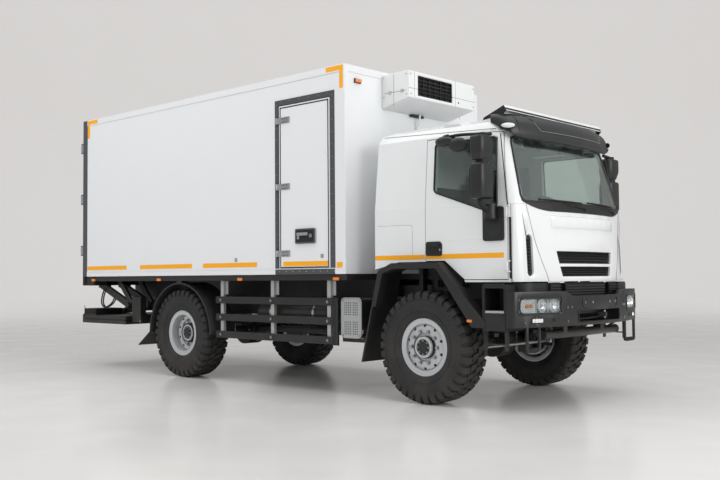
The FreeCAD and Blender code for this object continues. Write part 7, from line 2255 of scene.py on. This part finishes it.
    def _steps(self) -> None:
        """Treads, rims and flap bars of the step boxes and mudguards."""
        ribs = []
        for side, _ in SIDES:
            for i in range(9):
                x = 3.512 + i * 0.0235
                ribs.append(((x, side * 1.11, 0.9855), (0, 0, 1), (0.01, 0.235, 0.0045)))
        self.scatter.slats("tread_ribs", "chassis", ribs, STAINLESS, "steel_trim")
        piece = Piece("guard_edges", "chassis")
        for side, _ in SIDES:
            for x in (3.482, 3.728):
                piece.box((x - 0.004, x + 0.004), mirrored(side, 1.18, 1.244), (0.6, 1.24), MOULDING)
            for z in (0.655, 0.94, 1.235):
                piece.box((3.49, 3.72), mirrored(side, 1.236, 1.2475), (z, z + 0.014), MOULDING)
            for x in (1.856, -2.414):
                piece.box((x - 0.004, x + 0.01), mirrored(side, 0.88, 1.225), (0.7, 0.74), ZINC)
                for y in (0.92, 1.05, 1.18):
                    piece.bar((x + 0.01, side * y, 0.72), (x - 0.008, side * y, 0.72), 0.01, ZINC, sides=6)
        piece.build("black_plastic", bevel=0.0015)

    def _drive(self) -> None:
        """Flanges, joints, hubs' bolts and covers of the drive line."""
        bolts = []
        for x in (REAR_AXLE, FRONT_AXLE):
            for turn in angles(12):
                way = 1 if x == FRONT_AXLE else -1
                bolts.append(((x + way * -0.155, 0.155 * math.cos(turn), 0.59 + 0.155 * math.sin(turn)),
                              (-way, 0, 0)))
        self.scatter.heads("diff_bolts", "chassis", bolts, 0.01, ZINC, "cast_grey", corners=6)
        piece = Piece("drive_details", "chassis")
        for x in (-1.1, -0.3, 0.55, 1.4, 2.05):
            piece.turned(rectangle((-0.01, 0.01), (0.062, 0.078)), (x, 0, 0.745), CASTING, Axis.X, steps=32,
                         closed=True)
        for y in (-0.36, 0.36):
            for x in (2.25, 2.6, 2.95, 3.15):
                piece.box((x - 0.02, x + 0.02), (y - 0.045, y + 0.045), (1.2, 1.28), CASTING)
        piece.turned(rectangle((0.0, 0.01), (0.3, 0.285)), (3.26, 0, 1.22), MATT, Axis.X, steps=48,
                     closed=True)
        for turn in angles(7):
            tip = (3.265, 0.27 * math.cos(turn), 1.22 + 0.27 * math.sin(turn))
            piece.bar((3.255, 0.05 * math.cos(turn), 1.22 + 0.05 * math.sin(turn)), tip, 0.022, MATT, sides=8,
                      tip=0.05)
        piece.build("cast_grey")

    def _hoses(self) -> None:
        """Brake hoses and chambers at the axles, and the tail lift's two lines."""
        piece = Piece("hoses", "chassis")
        for centre, reach in ((FRONT_AXLE, 0.6), (REAR_AXLE, 0.72)):
            for side, _ in SIDES:
                for shift, radius in ((0.0, 0.01), (0.035, 0.008), (-0.04, 0.008)):
                    piece.tube([(centre - 0.25 + shift, side * 0.44, 0.93),
                                (centre - 0.24 + shift, side * 0.5, 0.86),
                                (centre - 0.17 + shift, side * (reach - 0.06), 0.8),
                                (centre - 0.1 + shift, side * reach, 0.735 + abs(shift))], radius, MATT,
                               sides=8, smooth=True)
                for way in (-1, 1):
                    piece.bar((centre + way * 0.16, side * (reach - 0.04), 0.64),
                              (centre + way * 0.16, side * (reach + 0.1), 0.64), 0.07, CHASSIS, sides=28)
                    piece.bar((centre + way * 0.16, side * (reach + 0.02), 0.64),
                              (centre + way * 0.16, side * (reach + 0.035), 0.64), 0.078, STAINLESS, sides=28)
        piece.tube([(-2.55, -0.45, 0.98), (-2.62, -0.62, 0.9), (-2.72, -0.66, 0.76), (-2.8, -0.6, 0.72),
                    (-2.86, -0.52, 0.8)], 0.011, MATT, sides=8, smooth=True)
        piece.tube([(-2.55, -0.47, 0.96), (-2.64, -0.58, 0.84), (-2.74, -0.56, 0.74), (-2.88, -0.46, 0.84)],
                   0.011, MATT, sides=8, smooth=True)
        piece.build("chassis_black")


class TailLift(Part):
    """End box, deck ribs, hinges, rollers and cylinders of the tail lift."""

    def build(self) -> None:
        """Make its pieces."""
        self._gear()
        self._deck()
        self._arms()

    def _gear(self) -> None:
        """Cylinders, control box and lamp bar that stay on the chassis."""
        piece = Piece("lift_gear", "chassis")
        piece.pair((-2.86, -2.64), (0.965, 1.06), (0.69, 1.06), LIFT)
        for side, _ in SIDES:
            y = side * 0.3
            piece.bar((-2.86, y, 0.98), (-3.28, y, 0.93), 0.034, LIFT, sides=24)
            piece.bar((-3.28, y, 0.93), (-3.34, y, 0.923), 0.04, CASTING, sides=24)
            piece.bar((-2.84, y, 0.98), (-2.88, y, 0.98), 0.04, CASTING, sides=24)
            for y in (side * 0.655, side * 1.0):
                piece.box((-3.8, -3.56), (y - 0.035, y + 0.035), (1.19, 1.345), LIFT)
                self._strut(piece, (-3.76, y, 1.235), (-2.985, y, 0.93), 0.05, 0.105)
                self._strut(piece, (-3.3, y, 1.33), (-2.945, y, 0.96), 0.04, 0.085)
                piece.bar((-3.02, y - 0.045, 0.935), (-3.02, y + 0.045, 0.935), 0.045, LIFT, sides=24)
            for shift in (0.0, 0.05):
                piece.tube([(-3.62 + shift, side * 1.02, 1.22), (-3.7 + shift, side * 1.03, 1.08),
                            (-3.72 + shift, side * 1.03, 0.95), (-3.62 + shift, side * 1.03, 0.895),
                            (-3.46 + shift, side * 1.02, 0.96), (-3.4 + shift, side * 1.0, 1.07)], 0.011,
                           RUBBER, sides=8, smooth=True)
        piece.box((-3.853, -3.56), (-1.262, 1.262), (1.225, 1.352), LIFT)
        piece.build("lift_steel", bevel=0.003)

    @staticmethod
    def _strut(piece: Piece, start: Point, end: Point, wide: float, tall: float) -> None:
        """A slanting beam of the lift's frame.

        Args:
            piece: piece to add to.
            start: its upper end.
            end: its lower end.
            wide: its width across.
            tall: its height.
        """
        along = (Vector(end) - Vector(start)).normalized()
        up = Vector((-along.z, 0, along.x)) * (tall / 2)
        corners = [Vector(start) + up, Vector(start) - up, Vector(end) - up, Vector(end) + up]
        piece.prism([(c.x, c.z) for c in corners], Axis.Y, start[1] - wide / 2, start[1] + wide / 2, LIFT)

    def _deck(self) -> None:
        """Ribs, hinge knuckles and edges of the folded deck."""
        piece = Piece("deck_details", "lift_deck")
        for i in range(18):
            y = -1.06 + i * 0.1247
            piece.box((-4.03, -2.97), (y - 0.009, y + 0.009), (0.6562, 0.66), STAINLESS)
        piece.pair((-4.05, -2.96), (1.1285, 1.1335), (0.708, 0.724), MATT)
        piece.pair((-4.092, -3.76), (0.64, 1.105), (0.792, 0.872), MATT)
        piece.pair((-4.092, -3.74), (0.62, 1.12), (0.777, 0.793), LIFT)
        for side, _ in SIDES:
            y = side * 0.8
            piece.bar((-4.055, y - 0.06, 0.716), (-4.055, y + 0.06, 0.716), 0.026, LIFT, sides=20)
            piece.bar((-2.95, y - 0.05, 0.716), (-2.95, y + 0.05, 0.716), 0.026, LIFT, sides=20)
            piece.tube([(-4.075, side * 1.1, 0.87), (-4.09, side * 1.105, 0.915)], 0.005, LIFT, sides=6)
        piece.build("lift_steel", bevel=0.002)

    def _arms(self) -> None:
        """Pin caps of the arms."""
        piece = Piece("arm_caps", "lift_arm_pair")
        for side, _ in SIDES:
            for x, z in ((-2.935, 0.96), (-3.835, 0.83)):
                inner, outer = side * 0.538, side * 0.548
                piece.bar((x, inner, z), (x, outer, z), 0.026, ZINC, sides=24)
        piece.build("lift_steel", bevel=0.001)


class Studio:
    """Floor, backdrop, lights and the photo's camera."""

    CAMERA: Point = (8.648, -8.653, 1.328)
    AZIMUTH = math.radians(42.549)
    PITCH = math.radians(2.304)
    ROLL = math.radians(-0.433)
    LENS = 45.61
    SENSOR = 36.0
    SIGHT = 200.0
    WALL = 30.0
    BEND = 10.0
    NEAR = -36.0
    HALF = 60.0
    FADE: Span = (7.0, 26.0)
    LIFT = 0.26

    def build(self) -> None:
        """Set the stage."""
        self._floor()
        self._lights()
        self._camera()

    def _floor(self) -> None:
        """One seamless sheet: floor, bend and wall, behind the truck as the camera sees it."""
        away = Vector((-math.sin(self.AZIMUTH), math.cos(self.AZIMUTH), 0))
        across = Vector((math.cos(self.AZIMUTH), math.sin(self.AZIMUTH), 0))
        bend, wall = self.BEND, self.WALL
        run = [(self.NEAR, 0.0), (-6.0, 0.0), (10.0, 0.0), (wall - bend, 0.0)]
        run += [(wall - bend + bend * math.sin(t), bend - bend * math.cos(t))
                for t in (math.radians(5 * i) for i in range(1, 19))]
        run.append((wall, self.WALL))
        points = [away * far + across * side + Vector((0, 0, high)) for side in (-self.HALF, self.HALF)
                  for far, high in run]
        count = len(run)
        mesh = bpy.data.meshes.new("studio floor")
        mesh.from_pydata(points, [], [(i, i + 1, count + i + 1, count + i) for i in range(count - 1)])
        mesh.materials.append(self._paper())
        mesh.shade_smooth()
        floor = add_object("studio_floor", mesh)

    def _paper(self) -> bpy.types.Material:
        """Pale floor with a soft shine, plain where only the camera sees it far off.

        Returns:
            The material.
        """
        material = bpy.data.materials.new("studio")
        material.use_nodes = True
        tree = NodeTree(material.node_tree)
        shader = tree.first("BSDF_PRINCIPLED")
        place = tree.add("ShaderNodeTexCoord").outputs["Object"]
        wide = tree.noise(place, 0.35, 2.0)
        tree.link(tree.blend(wide, (0.79, 0.772, 0.757), (0.82, 0.802, 0.786)), shader.inputs["Base Color"])
        reach = tree.add("ShaderNodeVectorMath", operation="LENGTH", _0=place)
        seen = tree.add("ShaderNodeLightPath")
        flags = tree.add("ShaderNodeMath", operation="MAXIMUM", _0=seen.outputs["Is Camera Ray"],
                         _1=seen.outputs["Is Transmission Ray"])
        far = tree.span(reach.outputs["Value"], *self.FADE, 0.0, self.LIFT)
        lift = tree.add("ShaderNodeMath", operation="MULTIPLY", _0=flags.outputs[0], _1=far)
        tree.link(lift.outputs[0], shader.inputs["Emission Strength"])
        shader.inputs["Emission Color"].default_value = (1.0, 0.965, 0.94, 1.0)
        tree.link(tree.span(tree.noise(place, 1.2, 4.0), 0.3, 0.7, 0.16, 0.24), shader.inputs["Roughness"])
        shader.inputs["Specular IOR Level"].default_value = 0.35
        return material

    @staticmethod
    def _area(name: str, place: Point, aim: Point, size: Span, power: float, colour: Colour) -> None:
        """One soft light.

        Args:
            name: its name.
            place: where it hangs.
            aim: where it points.
            size: its sides.
            power: watts.
            colour: its colour.
        """
        lamp = bpy.data.lights.new(name, "AREA")
        lamp.shape = "RECTANGLE"
        lamp.size, lamp.size_y = size
        lamp.energy = power
        lamp.color = colour
        holder = add_object(name, lamp)
        holder.location = place
        holder.rotation_euler = (Vector(aim) - Vector(place)).to_track_quat("-Z", "Y").to_euler()
        holder.visible_glossy = name != "side"

    def _lights(self) -> None:
        """A wide light over the truck, softer ones from the sides and a pale room."""
        self._area("overhead", (0.5, -1.5, 9.0), (0.0, 0.0, 0.0), (16.0, 9.0), 640, (1.0, 0.995, 0.985))
        self._area("side", (-3.0, -13.0, 5.0), (-0.5, 0.0, 1.6), (12.0, 5.0), 350, (0.97, 0.985, 1.0))
        self._area("front", (14.0, -1.0, 5.0), (2.0, 0.0, 1.6), (8.0, 5.0), 640, (1.0, 0.995, 0.99))
        world = bpy.data.worlds.new("studio")
        world.use_nodes = True
        bpy.context.scene.world = world
        back = NodeTree(world.node_tree).first("BACKGROUND")
        back.inputs["Color"].default_value = (0.93, 0.94, 0.95, 1.0)
        back.inputs["Strength"].default_value = 0.55

    def _camera(self) -> None:
        """The photo's camera."""
        ahead = Vector((-math.sin(self.AZIMUTH) * math.cos(self.PITCH),
                        math.cos(self.AZIMUTH) * math.cos(self.PITCH), math.sin(self.PITCH)))
        flat = Vector((math.cos(self.AZIMUTH), math.sin(self.AZIMUTH), 0))
        lift = flat.cross(ahead)
        right = flat * math.cos(self.ROLL) + lift * math.sin(self.ROLL)
        top = lift * math.cos(self.ROLL) - flat * math.sin(self.ROLL)
        turn = Matrix((right, top, -ahead)).transposed().to_4x4()
        camera = bpy.data.cameras.new("camera")
        camera.lens = self.LENS
        camera.sensor_width = self.SENSOR
        camera.clip_end = self.SIGHT
        holder = add_object("camera", camera)
        holder.matrix_world = Matrix.Translation(self.CAMERA) @ turn
        scene = bpy.context.scene
        scene.camera = holder
        scene.view_settings.view_transform = "Standard"


def dress_frame(frame: dict) -> None:
    """Give the CAD pieces their finishes and rounded edges.

    Args:
        frame: the loaded frame.
    """
    for name, node in frame["nodes"].items():
        for holder in node.material_slots:
            slot = holder.material.name.split(".")[0] if holder.material else ""
            if slot in SLOTS:
                holder.material = (DOOR_GLASS
                                   if "door" in name and slot == "cab_glass" else SLOTS[slot]).material()
        smooth(node, SOFT_EDGES.get(name, 0.0025), 2, 35, weld=True)


PARTS: tuple[type[Part], ...] = (InsulatedBox, CoolingUnit, Wheels, Lamps, Cab, Interior, Bumper, Chassis,
                                 TailLift)


def main() -> None:
    """Build the truck's looks round its frame."""
    logging.basicConfig(level=logging.INFO, format="%(name)s: %(message)s")
    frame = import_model()
    dress_frame(frame)
    scatter = Scatter()
    for part in PARTS:
        LOG.info("building %s", part.__name__)
        part(scatter).build()
    Studio().build()


if __name__ == "__main__":
    main()
